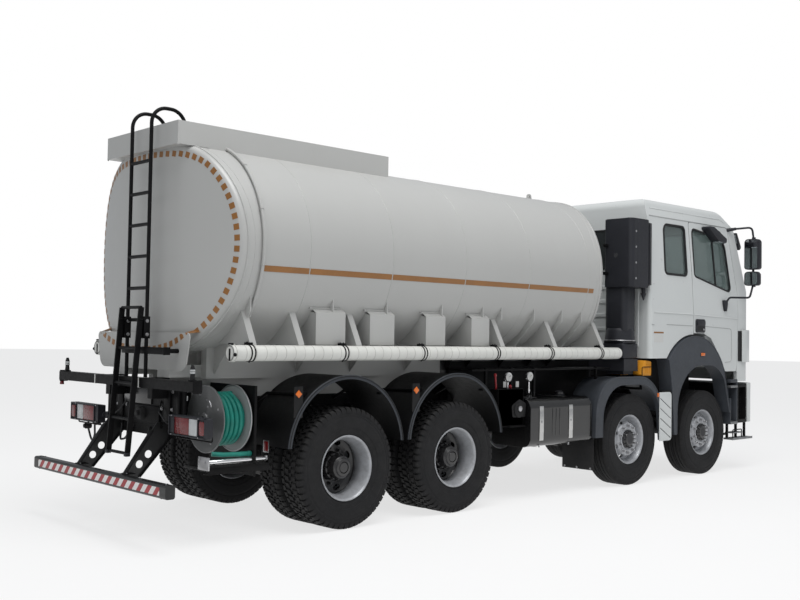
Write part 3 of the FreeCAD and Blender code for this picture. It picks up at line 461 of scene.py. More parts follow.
# ---------------------------------------------------------------- finishes
class Finish:
    """A material while it is built: a principled surface, and nodes that read Object coordinates."""

    def __init__(self, name, colour, roughness, metallic=0.0, coat_weight=0.0, specular=0.5):
        self.material = bpy.data.materials.new(name)
        self.material.use_nodes = True
        self.material.diffuse_color = colour
        self.tree = self.material.node_tree
        self.surface = self.tree.nodes["Principled BSDF"]
        self.colour, self.roughness = colour, roughness
        self.set("Base Color", colour)
        self.set("Roughness", roughness)
        self.set("Metallic", metallic)
        self.set("Coat Weight", coat_weight)
        self.set("Specular IOR Level", specular)
        self.place = self.tree.nodes.new("ShaderNodeTexCoord").outputs["Object"]
        self.bumps = None

    def set(self, socket, value):
        """A plain value on the surface, or a link from another node's output."""
        if isinstance(value, bpy.types.NodeSocket):
            self.tree.links.new(value, self.surface.inputs[socket])
        else:
            self.surface.inputs[socket].default_value = value
        return self

    def node(self, kind, inputs=(), output=0, **settings):
        """Add a node, set it and its inputs, and give one of its outputs."""
        made = self.tree.nodes.new("ShaderNode" + kind)
        for name, value in settings.items():
            setattr(made, name, value)
        for key, value in dict(inputs).items():
            if isinstance(value, bpy.types.NodeSocket):
                self.tree.links.new(value, made.inputs[key])
            else:
                made.inputs[key].default_value = value
        return made.outputs[output]

    def stretched(self, scale, turn=(0, 0, 0)):
        """Object coordinates, scaled and turned."""
        return self.node("Mapping", {"Vector": self.place, "Scale": scale, "Rotation": turn})

    def noise(self, scale, detail=3.0, place=None, rough=0.55):
        place = place or self.place
        return self.node("TexNoise", {"Vector": place, "Scale": scale, "Detail": detail, "Roughness": rough})

    def span(self, value, low, high, to_low=0.0, to_high=1.0):
        """A value's range, stretched to another and clamped."""
        return self.node("MapRange",
                         {"Value": value, "From Min": low, "From Max": high, "To Min": to_low,
                          "To Max": to_high})

    def maths(self, operation, a, b=0.0):
        return self.node("Math", {0: a, 1: b}, operation=operation)

    def mix(self, share, first, second):
        made = self.tree.nodes.new("ShaderNodeMix")
        made.data_type = "RGBA"
        for key, value in ((0, share), (6, first), (7, second)):
            if isinstance(value, bpy.types.NodeSocket):
                self.tree.links.new(value, made.inputs[key])
            else:
                made.inputs[key].default_value = value
        return made.outputs[2]

    def axis(self, letter, place=None):
        return self.node("SeparateXYZ", {0: place or self.place}, output="XYZ".index(letter))

    def bump(self, height, strength=0.3, distance=0.002):
        """Raise the surface by a height, over any bump given before."""
        made = self.tree.nodes.new("ShaderNodeBump")
        made.inputs["Strength"].default_value = strength
        made.inputs["Distance"].default_value = distance
        self.tree.links.new(height, made.inputs["Height"])
        if self.bumps is not None:
            self.tree.links.new(self.bumps, made.inputs["Normal"])
        self.bumps = made.outputs["Normal"]
        self.set("Normal", self.bumps)
        return self

    def mottle(self, scale=2.5, amount=0.08, rough_amount=0.06):
        """Broad, soft differences of colour and gloss."""
        patches = self.noise(scale, 4.0)
        darker = tuple(part * (1 - amount) for part in self.colour[:3]) + (1.0,)
        lighter = tuple(min(1.0, part * (1 + amount)) for part in self.colour[:3]) + (1.0,)
        self.shade = self.mix(self.span(patches, 0.3, 0.7), darker, lighter)
        self.set("Base Color", self.shade)
        fine = self.noise(scale * 7, 5.0)
        self.set("Roughness",
                 self.span(fine, 0.25, 0.75, max(0.0, self.roughness - rough_amount),
                           min(1.0, self.roughness + rough_amount)))
        return self

    def dust(self, colour, low, high, amount=0.5, scale=6.0):
        """Road dust, thicker towards the ground."""
        height = self.span(self.axis("Z"), low, high, 1.0, 0.0)
        specks = self.span(self.noise(scale, 8.0, rough=0.7), 0.35, 0.75)
        share = self.maths("MULTIPLY", self.maths("MULTIPLY", height, specks), amount)
        self.shade = self.mix(share, self.shade, colour)
        self.set("Base Color", self.shade)
        return self

    def grain(self, scale, strength=0.25, distance=0.0006):
        return self.bump(self.noise(scale, 4.0), strength, distance)


ROAD_DUST = (0.16, 0.14, 0.115, 1.0)
UNDERRUN_Z = 0.510


def reel_paint():
    """Grey paint, darker on the rear flange."""
    finish = Finish("reel_paint", tint("reel"), 0.38, coat_weight=0.2)
    finish.mottle(3.0, 0.06, 0.06)
    back = finish.span(finish.axis("X"), -4.215, -4.205, 1.0, 0.0)
    finish.shade = finish.mix(back, finish.shade, tint("reel", 0.36))
    finish.set("Base Color", finish.shade)
    finish.grain(220, 0.08, 0.0006)
    return finish.material


def gloss_paint(name, colour, roughness=0.28, dust_top=1.9, dust_amount=0.05):
    """Sprayed gloss paint with a faint orange peel and road dust low down."""
    finish = Finish(name, colour, roughness, coat_weight=0.35)
    finish.set("Coat Roughness", 0.12)
    finish.mottle(1.4, 0.008, 0.008).dust(ROAD_DUST, 0.4, dust_top, dust_amount, 2.5)
    finish.grain(260, 0.02, 0.0003)
    return finish.material


def tank_paint(name="tank_paint", black_from=None):
    """The tank's paint, with faint rain streaks and painted shade that darkens it towards its underside; its low
    parts are black ahead of a level of X, if one is given.
    """
    finish = Finish(name, tint("tank"), 0.34, coat_weight=0.2)
    finish.set("Coat Roughness", 0.22)
    finish.mottle(1.1, 0.015, 0.04)
    streaks = finish.noise(1.0, 4.0, finish.stretched((7.0, 2.2, 0.45)), 0.6)
    share = finish.maths("MULTIPLY", finish.span(streaks, 0.5, 0.8), 0.08)
    finish.shade = finish.mix(share, finish.shade, (0.40, 0.39, 0.36, 1.0))
    # painted shade: the barrel is darkened towards its underside, where less light falls
    under = finish.span(finish.axis("Z"), 1.5, 2.3, 0.22, 0.0)
    finish.shade = finish.mix(under, finish.shade, (0.36, 0.36, 0.34, 1.0))
    if black_from is not None:
        ahead = finish.span(finish.axis("X"), black_from - 0.01, black_from)
        below = finish.span(finish.axis("Z"), 1.65, 1.66, 1.0, 0.0)
        finish.shade = finish.mix(finish.maths("MULTIPLY", ahead, below), finish.shade, tint("black"))
    finish.set("Base Color", finish.shade)
    finish.grain(230, 0.04, 0.0005)
    finish.bump(finish.noise(1.6, 2.0, finish.stretched((0.6, 1.0, 1.0))), 0.08, 0.010)
    return finish.material


def chassis_paint():
    """Satin black paint on rolled steel, dusty and scuffed."""
    finish = Finish("chassis_paint", tint("black"), 0.46, specular=0.12)
    finish.mottle(5.0, 0.25, 0.10).dust(ROAD_DUST, 0.3, 1.5, 0.04, 11.0)
    finish.grain(90, 0.25, 0.0008)
    return finish.material


def cast_metal():
    """Rough cast iron under black paint."""
    finish = Finish("cast_metal", (0.014, 0.014, 0.015, 1.0), 0.62, metallic=0.2, specular=0.3)
    finish.mottle(8.0, 0.3, 0.12).dust(ROAD_DUST, 0.2, 1.3, 0.16, 14.0)
    finish.grain(140, 0.6, 0.0012)
    return finish.material


def moulded_plastic(name, colour, roughness=0.55, grain_size=420, dust_amount=0.10, black_behind=None):
    """Textured plastic with a leathery grain; black behind a level of X, if one is given."""
    finish = Finish(name, colour, roughness, specular=0.3)
    finish.mottle(4.0, 0.12, 0.07).dust(ROAD_DUST, 0.3, 2.0, dust_amount, 9.0)
    if black_behind is not None:
        behind = finish.span(finish.axis("X"), black_behind - 0.01, black_behind, 1.0, 0.0)
        finish.shade = finish.mix(behind, finish.shade, tint("black"))
        finish.set("Base Color", finish.shade)
    cells = finish.node("TexVoronoi", {"Vector": finish.place, "Scale": grain_size})
    finish.bump(cells, 0.22, 0.0005)
    return finish.material


def tyre_rubber(name, centre):
    """Rubber with fine rings round the wall and dust in the tread."""
    finish = Finish(name, tint("rubber"), 0.72, specular=0.25)
    finish.mottle(9.0, 0.2, 0.08)
    wheel = finish.node("VectorMath", {0: finish.place, 1: tuple(-part for part in centre)}, operation="ADD")
    radius = finish.node("VectorMath",
                         {0: finish.node("VectorMath", {0: wheel, 1: (1, 0, 1)}, operation="MULTIPLY")},
                         output=1, operation="LENGTH")
    rings = finish.maths("SINE", finish.maths("MULTIPLY", radius, 900.0))
    finish.bump(rings, 0.10, 0.0008)
    tread = finish.span(radius, 0.50, 0.565, 0.05, 0.75)
    specks = finish.span(finish.noise(16, 8.0, rough=0.7), 0.35, 0.7)
    wall = finish.span(finish.noise(3.0, 4.0), 0.35, 0.65, 0.12, 0.45)
    share = finish.maths("MULTIPLY", finish.maths("MAXIMUM", tread, wall), specks)
    finish.shade = finish.mix(finish.maths("MULTIPLY", share, 0.22), finish.shade, (0.08, 0.074, 0.064, 1.0))
    finish.set("Base Color", finish.shade)
    finish.grain(500, 0.25, 0.0005)
    return finish.material


def wheel_paint():
    """Silver wheel paint with specks of brake dust."""
    finish = Finish("wheel_paint", tint("silver"), 0.42, metallic=0.3)
    finish.mottle(6.0, 0.10, 0.08)
    specks = finish.span(finish.noise(22, 7.0, rough=0.7), 0.45, 0.75)
    finish.shade = finish.mix(finish.maths("MULTIPLY", specks, 0.35), finish.shade, (0.10, 0.085, 0.07, 1.0))
    finish.set("Base Color", finish.shade)
    finish.grain(320, 0.15, 0.0005)
    return finish.material


def bare_metal(name, colour, roughness=0.3, brushed=(1, 1, 1)):
    """Bright metal, brushed along its longest stretch."""
    finish = Finish(name, colour, roughness, metallic=0.95)
    finish.mottle(7.0, 0.08, 0.08)
    finish.bump(finish.noise(60, 5.0, finish.stretched(brushed)), 0.18, 0.0005)
    return finish.material


def reflective_tape(name, colour):
    """Reflective film with a fine honeycomb under its surface."""
    finish = Finish(name, colour, 0.35, metallic=0.1, coat_weight=0.2)
    finish.mottle(5.0, 0.10, 0.06)
    cells = finish.node("TexVoronoi", {"Vector": finish.place, "Scale": 190.0})
    finish.shade = finish.mix(finish.span(cells, 0.0, 0.8, 0.0, 0.05), finish.shade, (0.9, 0.8, 0.6, 1.0))
    finish.set("Base Color", finish.shade)
    finish.bump(cells, 0.10, 0.0004)
    return finish.material


def lamp_lens(name, colour):
    """Moulded clear plastic with small prisms inside."""
    finish = Finish(name, colour, 0.22, coat_weight=0.3)
    finish.mottle(14.0, 0.15, 0.05)
    lines = finish.maths("SINE", finish.maths("MULTIPLY", finish.axis("Z"), 620.0))
    rows = finish.maths("SINE", finish.maths("MULTIPLY", finish.axis("Y"), 620.0))
    prisms = finish.maths("MULTIPLY", lines, rows)
    finish.shade = finish.mix(finish.span(prisms, -1.0, 1.0, 0.0, 0.35), finish.shade,
                              tuple(part * 0.45 for part in colour[:3]) + (1.0,))
    finish.set("Base Color", finish.shade)
    finish.bump(prisms, 0.35, 0.0012)
    return finish.material


def warning_stripes():
    """Slanted red and white reflective stripes along the middle of the underrun bar's rear face; black elsewhere."""
    finish = Finish("warning_stripes", tint("red"), 0.42, coat_weight=0.1)
    finish.mottle(6.0, 0.15, 0.06)
    slant = finish.maths("ADD", finish.axis("Y"), finish.maths("MULTIPLY", finish.axis("Z"), 0.9))
    phase = finish.maths("FRACT", finish.maths("MULTIPLY", slant, 7.4))
    band = finish.node("Math", {0: phase, 1: 0.5}, operation="GREATER_THAN")
    finish.shade = finish.mix(band, finish.shade, (0.80, 0.79, 0.77, 1.0))
    worn = finish.maths("MULTIPLY", finish.span(finish.noise(18, 8.0, rough=0.75), 0.55, 0.75), 0.2)
    finish.shade = finish.mix(worn, finish.shade, (0.13, 0.10, 0.09, 1.0))
    rear_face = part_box("underrun_bar")[0].x
    level = finish.maths("ABSOLUTE", finish.maths("SUBTRACT", finish.axis("Z"), UNDERRUN_Z))
    band = finish.maths("MULTIPLY", finish.maths("LESS_THAN", finish.axis("X"), rear_face + 0.0015),
                        finish.maths("LESS_THAN", level, 0.033))
    band = finish.maths("MULTIPLY", band,
                        finish.maths("LESS_THAN", finish.maths("ABSOLUTE", finish.axis("Y")), 1.145))
    finish.shade = finish.mix(band, tint("black"), finish.shade)
    finish.set("Base Color", finish.shade)
    finish.grain(300, 0.12, 0.0005)
    return finish.material


def hose_finish(name, colour, axis="X", ribs=700.0):
    """Rubber hose with close ribs and a dusty, faded side."""
    finish = Finish(name, colour, 0.46, specular=0.45)
    finish.mottle(11.0, 0.22, 0.10)
    finish.bump(finish.maths("SINE", finish.maths("MULTIPLY", finish.axis(axis), ribs)), 0.25, 0.0012)
    return finish.material


def ribbed_tube():
    """White hose tube with a dark joint line at each tenth of a metre."""
    finish = Finish("ribbed_tube", (0.70, 0.70, 0.66, 1.0), 0.36, coat_weight=0.2)
    finish.mottle(4.0, 0.05, 0.06)
    along = finish.maths("FRACT", finish.maths("MULTIPLY", finish.axis("X"), 9.6))
    line = finish.maths("LESS_THAN", finish.maths("ABSOLUTE", finish.maths("SUBTRACT", along, 0.5)), 0.035)
    grime = finish.maths("MULTIPLY", line, finish.span(finish.noise(9, 6.0), 0.3, 0.7, 0.25, 0.75))
    finish.shade = finish.mix(grime, finish.shade, (0.30, 0.29, 0.26, 1.0))
    spots = finish.maths("MULTIPLY", finish.span(finish.noise(14, 8.0, rough=0.75), 0.55, 0.8), 0.3)
    finish.shade = finish.mix(spots, finish.shade, (0.38, 0.36, 0.31, 1.0))
    finish.set("Base Color", finish.shade)
    finish.bump(line, 0.5, -0.0015)
    return finish.material


def window_glass():
    """Tinted safety glass."""
    finish = Finish("window_glass", tint("glass"), 0.03, specular=0.6)
    finish.set("Transmission Weight", 0.75).set("IOR", 1.45)
    finish.mottle(2.0, 0.05, 0.02)
    finish.bump(finish.noise(2.5, 2.0), 0.02, 0.002)
    return finish.material


def mirror_glass():
    finish = Finish("mirror_glass", (0.75, 0.78, 0.8, 1.0), 0.03, metallic=1.0)
    finish.mottle(3.0, 0.03, 0.02)
    return finish.material


def seat_fabric():
    """Woven cloth with a fine check."""
    finish = Finish("seat_fabric", (0.035, 0.04, 0.055, 1.0), 0.9)
    finish.set("Sheen Weight", 0.4)
    warp = finish.maths("SINE", finish.maths("MULTIPLY", finish.axis("X"), 1500.0))
    weft = finish.maths("SINE", finish.maths("MULTIPLY", finish.axis("Y"), 1500.0))
    rise = finish.maths("SINE", finish.maths("MULTIPLY", finish.axis("Z"), 1500.0))
    weave = finish.maths("MULTIPLY", finish.maths("MULTIPLY", warp, weft), rise)
    finish.mottle(12.0, 0.2, 0.05)
    finish.shade = finish.mix(finish.span(weave, -1.0, 1.0, 0.0, 0.5), finish.shade, (0.09, 0.10, 0.13, 1.0))
    finish.set("Base Color", finish.shade)
    finish.bump(weave, 0.5, 0.0008)
    return finish.material


def tread_plate():
    """Grey pressed steel with raised teardrops."""
    finish = Finish("tread_plate", (0.22, 0.225, 0.23, 1.0), 0.4, metallic=0.7)
    finish.mottle(9.0, 0.2, 0.1)
    first = finish.node("TexVoronoi", {"Vector": finish.stretched((30, 75, 30), (0, 0, 0.78)), "Scale": 1.0})
    finish.bump(finish.span(first, 0.15, 0.35, 1.0, 0.0), 0.9, 0.002)
    return finish.material


def wire_mesh():
    """Fine black mesh over an opening."""
    finish = Finish("wire_mesh", (0.016, 0.017, 0.021, 1.0), 0.5)
    finish.mottle(6.0, 0.2, 0.08)
    flat = finish.maths("ADD", finish.axis("X"), finish.axis("Y"))
    across = finish.maths("SINE", finish.maths("MULTIPLY", flat, 200.0))
    up = finish.maths("SINE", finish.maths("MULTIPLY", finish.axis("Z"), 200.0))
    holes = finish.maths("MULTIPLY", across, up)
    finish.shade = finish.mix(finish.span(holes, -0.1, 0.3), (0.002, 0.002, 0.002, 1.0),
                              (0.07, 0.072, 0.08, 1.0))
    finish.set("Base Color", finish.shade)
    finish.bump(holes, 0.8, 0.003)
    return finish.material


FINISHES = {}


def finish_of(name):
    """A finish by name, made the first time it is asked for."""
    makers = {
        "tank": tank_paint,
        "chassis": chassis_paint,
        "cast": cast_metal,
        "wheel": wheel_paint,
        "stripes": warning_stripes,
        "tube": ribbed_tube,
        "glass": window_glass,
        "mirror": mirror_glass,
        "seat": seat_fabric,
        "tread_plate": tread_plate,
        "mesh": wire_mesh,
        "cab": lambda: gloss_paint("cab_paint", tint("cab")),
        "dark_glass": lambda: gloss_paint("dark_glass", (0.020, 0.024, 0.025, 1.0), 0.08),
        # painted shade: cab paint darkened for crease, groove and gutter lines, standing in for the shade in them
        "crease": lambda: gloss_paint("crease_paint", tint("cab", 0.55)),
        "guard": lambda: moulded_plastic("guard_plastic", tint("guard"), 0.5, black_behind=0.2),
        "lip": lambda: moulded_plastic("guard_lip", tint("guard", 0.8), 0.5),
        "saddles": lambda: tank_paint("saddle_paint", -1.10),
        "plastic": lambda: moulded_plastic("black_plastic", tint("plastic"), 0.48, 500, 0.06),
        "seal": lambda: moulded_plastic("rubber_seal", tint("rubber"), 0.6, 700, 0.05),
        "fuel": lambda: gloss_paint("fuel_tank_paint", tint("black"), 0.25, 1.3, 0.05),
        "hub": lambda: gloss_paint("hub_paint", (0.014, 0.014, 0.016, 1.0), 0.35, 1.2, 0.12),
        "marking": lambda: reflective_tape("marking_tape", tint("marking")),
        "white_tape": lambda: reflective_tape("white_tape", (0.70, 0.70, 0.68, 1.0)),
        "strap": lambda: bare_metal("metal_strap", (0.55, 0.55, 0.54, 1.0), 0.32, (1, 6, 30)),
        "chrome": lambda: bare_metal("chrome", (0.78, 0.78, 0.79, 1.0), 0.14, (1, 12, 12)),
        "zinc": lambda: bare_metal("zinc", (0.45, 0.45, 0.46, 1.0), 0.4, (6, 6, 6)),
        "silencer": lambda: bare_metal("exhaust_metal", (0.20, 0.195, 0.19, 1.0), 0.5, (3, 8, 8)),
        "reel": reel_paint,
        "hose": lambda: hose_finish("hose_rubber", tint("hose")),
        "cable": lambda: hose_finish("cable_sheath", tint("rubber"), "Z", 900.0),
        "red_lens": lambda: lamp_lens("red_lens", (0.17, 0.003, 0.005, 1.0)),
        "amber_lens": lambda: lamp_lens("amber_lens", (0.75, 0.16, 0.01, 1.0)),
        "clear_lens": lambda: lamp_lens("clear_lens", (0.62, 0.64, 0.64, 1.0)),
        "red_paint": lambda: gloss_paint("red_paint", tint("red"), 0.35, 1.4, 0.1),
        "chock": lambda: moulded_plastic("chock_plastic", tint("chock"), 0.45, 300, 0.08),
        "sign": lambda: gloss_paint("sign_face", (0.62, 0.62, 0.60, 1.0), 0.4),
    }
    if name not in FINISHES:
        FINISHES[name] = makers[name]()
    return FINISHES[name]


def paint(name, *shapes):
    """Give shapes the finish of a name."""
    return coat(finish_of(name), *shapes)


# ---------------------------------------------------------------- wheels
# half of a tyre's outline: offset from its middle, radius
WALL = [(0.105, 0.286), (0.122, 0.300), (0.1285, 0.311), (0.133, 0.318), (0.1345, 0.331), (0.1375, 0.334),
        (0.1425, 0.372), (0.146, 0.375), (0.1475, 0.384), (0.1495, 0.425), (0.1500, 0.452), (0.1488, 0.470),
        (0.1462, 0.474), (0.1455, 0.482), (0.1480, 0.487), (0.1465, 0.506), (0.1400, 0.527)]
DRIVE_TREAD = [(0.130, 0.540), (0.118, 0.5475), (0.0, 0.5480)]
STEER_TREAD = [(0.1370, 0.545), (0.1300, 0.5535), (0.1120, 0.5570), (0.1020, 0.5570), (0.1015, 0.5612),
               (0.0640, 0.5622), (0.0635, 0.5500), (0.0535, 0.5500), (0.0530, 0.5624), (0.0180, 0.5625),
               (0.0175, 0.5500), (0.0075, 0.5500), (0.0070, 0.5625)]
STUD_COUNT = 10
STUD_CIRCLE = 0.1675


def tyre_body(tread):
    """The casing of a tyre at the origin, with the half outline of its tread."""
    half = WALL + tread
    other = [(-offset, radius) for offset, radius in reversed(half) if offset > 0]
    return lathe(half + other, (0, 0, 0), "Y", 96)


def drive_tyre():
    """A tyre with deep blocks that reach down its shoulders."""
    count = size("tread_pitches")
    floor = TYRE_RADIUS - size("lug_depth") - 0.004
    pitch = 2 * math.pi * TYRE_RADIUS / count
    lugs = []
    for side in (1, -1):
        shoulder = [(side * y, z) for y,
                    z in ((0.086, floor), (0.086, TYRE_RADIUS - 0.0006), (0.120, 0.5612), (0.1375, 0.5500),
                          (0.1485, 0.5080), (0.1300, 0.5060))]
        block = outline(shoulder, "X", -0.34 * pitch, 0.34 * pitch)
        lugs.append(block)
        inner = [(-0.36 * pitch, side * 0.017), (0.22 * pitch, side * 0.024), (0.38 * pitch, side * 0.076),
                 (-0.24 * pitch, side * 0.071)]
        turn = Matrix.Rotation(side * pitch * 0.5 / TYRE_RADIUS, 4, "Y")
        lugs.append(turned_by(outline(inner, "Z", floor, TYRE_RADIUS - 0.0004), turn))
    middle_lug = [(-0.30 * pitch, -0.010), (0.16 * pitch, -0.013), (0.34 * pitch, 0.011),
                  (-0.18 * pitch, 0.013)]
    lugs.append(outline(middle_lug, "Z", floor, TYRE_RADIUS - 0.003))
    blocks = repeat_round(join(lugs), (0, 0, 0), "Y", count)
    return join([tyre_body(DRIVE_TREAD), blocks])


def steer_tyre():
    """A ribbed tyre with notched shoulders."""
    shoulders = []
    for side in (1, -1):
        corners = [(side * y, z) for y,
                   z in ((0.1095, 0.550), (0.1095, 0.5618), (0.128, 0.5590), (0.1405, 0.5420),
                         (0.1440, 0.5200), (0.135, 0.520))]
        shoulders.append(outline(corners, "X", -0.0165, 0.0165))
    blocks = repeat_round(join(shoulders), (0, 0, 0), "Y", 86)
    return join([tyre_body(STEER_TREAD), blocks])


def rim_barrel(lip):
    """The rim under a tyre's beads; lip is how far its outer flange stands from the middle."""
    outer = [(lip, 0.3035), (lip - 0.006, 0.3045), (lip - 0.015, 0.300), (lip - 0.020, 0.2875),
             (0.085, 0.2840), (0.045, 0.262), (-0.045, 0.262), (-0.085, 0.2840), (-0.108, 0.2875),
             (-0.119, 0.3045), (-0.125, 0.3035)]
    inner = [(-0.128, 0.298), (-0.114, 0.280), (-0.085, 0.2755), (-0.045, 0.254), (0.045, 0.254),
             (0.085, 0.2755), (lip - 0.016, 0.280), (lip - 0.004, 0.289), (lip + 0.003, 0.298)]
    return lathe(outer + inner, (0, 0, 0), "Y", 96)


def studs_round(level, reach, count=STUD_COUNT, circle=STUD_CIRCLE, radius=0.0155):
    """Wheel nuts on their studs, standing from a level along +Y."""
    at = Vector((0, level, circle))
    parts = hex_bolt(at, (0, reach, 0), radius, 0.021)
    parts.append(rod(at, at + Vector((0, reach * 0.036, 0)), radius * 0.68, sides=10))
    return repeat_round(join(parts), (0, 0, 0), "Y", count)


HAND_HOLES = 8


def drilled(disc, circle, radius):
    """A disc with a ring of oval hand holes."""
    hole = rod((0, -0.3, circle), (0, 0.3, circle), radius, sides=20)
    hole.data.transform(Matrix.Scale(1.6, 4, (1, 0, 0)))
    turned_by(hole, Matrix.Rotation(math.pi / HAND_HOLES, 4, "Y"))
    return cut_with(disc, [repeat_round(hole, (0, 0, 0), "Y", HAND_HOLES)])


def front_rim():
    """Silver rim whose disc bulges outwards, its nuts and its black hub."""
    barrel = rim_barrel(0.125)
    disc = lathe([(0.020, 0.2565), (0.030, 0.2565), (0.044, 0.247, 0.006), (0.058, 0.226, 0.008),
                  (0.100, 0.198, 0.010), (0.100, 0.112), (0.088, 0.112), (0.088, 0.190, 0.010),
                  (0.046, 0.218, 0.008), (0.034, 0.238, 0.006), (0.020, 0.246)], (0, 0, 0), "Y", 96)
    disc = drilled(disc, 0.222, 0.0205)
    collar = lathe([(0.100, 0.122), (0.106, 0.122), (0.110, 0.135), (0.106, 0.149), (0.100, 0.149)],
                   (0, 0, 0), "Y", 64)
    paint("wheel", barrel, disc, collar)
    nuts = paint("zinc", studs_round(0.100, 1))
    hub = lathe([(-0.057, 0.0555), (-0.057, 0.108), (0.090, 0.114), (0.118, 0.112, 0.006),
                 (0.124, 0.088, 0.006), (0.137, 0.080, 0.006), (0.1395, 0.0555)], (0, 0, 0), "Y", 64)
    cap = lathe([(0.128, 0.0), (0.1395, 0.0), (0.1395, 0.046, 0.004), (0.128, 0.052)], (0, 0, 0), "Y", 40)
    small = studs_round(0.1195, 1, 12, 0.099, 0.0065)
    ribs = repeat_round(box((-0.004, 0.105, 0.052), (0.004, 0.132, 0.086), 0.0015, 1), (0, 0, 0), "Y", 10)
    paint("hub", hub, cap, small, ribs)
    return join([barrel, disc, collar, nuts, hub, cap, small, ribs])


def rear_rim(lip):
    """Deep silver rim with a black disc far inside it."""
    barrel = paint("wheel", rim_barrel(lip))
    disc = lathe([(-0.088, 0.2755), (-0.100, 0.266, 0.006), (-0.122, 0.232, 0.010), (-0.127, 0.205, 0.008),
                  (-0.127, 0.113), (-0.139, 0.113), (-0.139, 0.208, 0.008), (-0.133, 0.240, 0.010),
                  (-0.112, 0.274)], (0, 0, 0), "Y", 96)
    disc = paint("hub", drilled(disc, 0.226, 0.0255))
    return join([barrel, disc])


def rear_hub():
    """Long hub of a driven axle: a bolted cap inside a ring of wheel nuts, from the axle's middle at y 0."""
    hub = lathe([(0.600, 0.0555), (0.600, 0.150, 0.006), (0.868, 0.150), (0.872, 0.198, 0.004),
                 (0.948, 0.198, 0.004), (0.950, 0.142), (0.966, 0.136, 0.010), (1.062, 0.128, 0.010),
                 (1.066, 0.112, 0.004), (1.150, 0.106, 0.008), (1.163, 0.088, 0.006), (1.178, 0.080, 0.008),
                 (1.180, 0.0555)], (0, 0, 0), "Y", 64)
    cap = lathe([(1.166, 0.0), (1.178, 0.0), (1.180, 0.046, 0.004), (1.166, 0.054)], (0, 0, 0), "Y", 40)
    bolts = studs_round(1.0655, 1, 12, 0.1195, 0.0075)
    webs = repeat_round(box((-0.005, 1.00, 0.100), (0.005, 1.075, 0.134), 0.002, 1), (0, 0, 0), "Y", 12)
    paint("hub", hub, cap, bolts, webs)
    nuts = paint("hub", studs_round(0.965, 1))
    return join([hub, cap, bolts, webs, nuts])


def placed(shape, place, side):
    """A copy of a left-hand shape made at the origin, or its mirror image on the right, put in place."""
    twin = copied(shape) if side > 0 else mirrored(shape)
    twin.data.transform(Matrix.Translation(Vector(place)))
    return twin


class TANKER_OT_front_wheels(bpy.types.Operator):
    """Model the steered wheels: ribbed tyres on silver rims"""
    bl_idname = "tanker.front_wheels"
    bl_label = "Front wheels"

    def execute(self, context):
        tyre, rim = steer_tyre(), front_rim()
        for number in FRONT_AXLES:
            for word, side in SIDES:
                tag = "%d_%s" % (number, word)
                centre = middle("tyre_" + tag)
                rubber = rubber_of(number, centre)
                fit("steer_tyre_" + tag, [placed(tyre, centre, side)], "wheel_" + tag,
                    rubber, 30, ["tyre_" + tag])
                fit("disc_wheel_" + tag, [placed(rim, centre, side)], "wheel_" + tag,
                    None, 30, ["rim_" + tag])
        bpy.data.objects.remove(tyre)
        bpy.data.objects.remove(rim)
        return {"FINISHED"}


def rubber_of(number, centre):
    """The rubber of one axle's tyres."""
    name = "tyre_rubber_%d" % number
    return bpy.data.materials.get(name) or tyre_rubber(name, (centre.x, 0, centre.z))


class TANKER_OT_rear_wheels(bpy.types.Operator):
    """Model the twin wheels: block tyres on dished rims"""
    bl_idname = "tanker.rear_wheels"
    bl_label = "Rear wheels"

    def execute(self, context):
        tyre, outer_rim, inner_rim, hub = drive_tyre(), rear_rim(0.135), rear_rim(0.125), rear_hub()
        for number in REAR_AXLES:
            for word, side in SIDES:
                tag = "%d_%s" % (number, word)
                low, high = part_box("tyres_" + tag)
                centre = (low + high) / 2
                reach = (high.y - low.y) / 2 - 0.15
                outer = Vector((centre.x, centre.y + side * reach, centre.z))
                inner = Vector((centre.x, centre.y - side * reach, centre.z))
                tyres = [placed(tyre, outer, side), placed(tyre, inner, side)]
                fit("drive_tyres_" + tag, tyres, "wheels_" + tag, rubber_of(number, centre),
                    30, ["tyres_" + tag])
                rims = [placed(outer_rim, outer, side), placed(inner_rim, inner, -side),
                        placed(hub, (centre.x, 0, centre.z), side)]
                fit("twin_wheels_" + tag, rims, "wheels_" + tag, None, 30, ["rims_" + tag])
        for shape in (tyre, outer_rim, inner_rim, hub):
            bpy.data.objects.remove(shape)
        return {"FINISHED"}


# ---------------------------------------------------------------- tank and its fittings
TUBE_LOW, TUBE_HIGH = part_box("hose_tubes")
TUBE_RADIUS = 0.07
TUBE_Y = TUBE_HIGH.y - TUBE_RADIUS
TUBE_Z = TUBE_LOW.z + TUBE_RADIUS
STRAPS = (-4.045, -3.005, -1.985, -0.895, 0.015, 0.955)
# bracket plates beside the tank: rear edge, length
PLATES = ((-3.288, 0.352), (-2.631, 0.319), (-1.880, 0.279), (-1.209, 0.280))
WEBS = (-4.04, -3.52, -2.84, -0.80, 0.105, 1.00)
STRIPE_Z = 2.36
STRIPE_ENDS = (-3.945, 0.815)
DRAIN_X = -3.96


def barrel_ring(x, radius, lift=0.0):
    """A bar round the barrel at x."""
    return bar_along([tank_point(x, round_tank(step / 128), lift) for step in range(128)], radius, 8,
                     closed=True)


def head_ring(front, inward, radius, lift=0.0):
    """A bar round the barrel that follows the curve of a head."""
    track = []
    for step in range(128):
        point = tank_point(0, round_tank(step / 128), lift)
        point.x = head_x(point.y, front) + (-inward if front else inward)
        track.append(point)
    return bar_along(track, radius, 8, closed=True)


def barrel_sheet(x_from, x_to, angle_from, angle_to, lift, thick, rows=4):
    """A thin sheet that lies on the barrel."""
    def place(u, v):
        return tank_point(x_from + (x_to - x_from) * v, angle_from + (angle_to - angle_from) * u, lift)
    return outward(thicken(sheet_grid(rows, 3, place), thick))


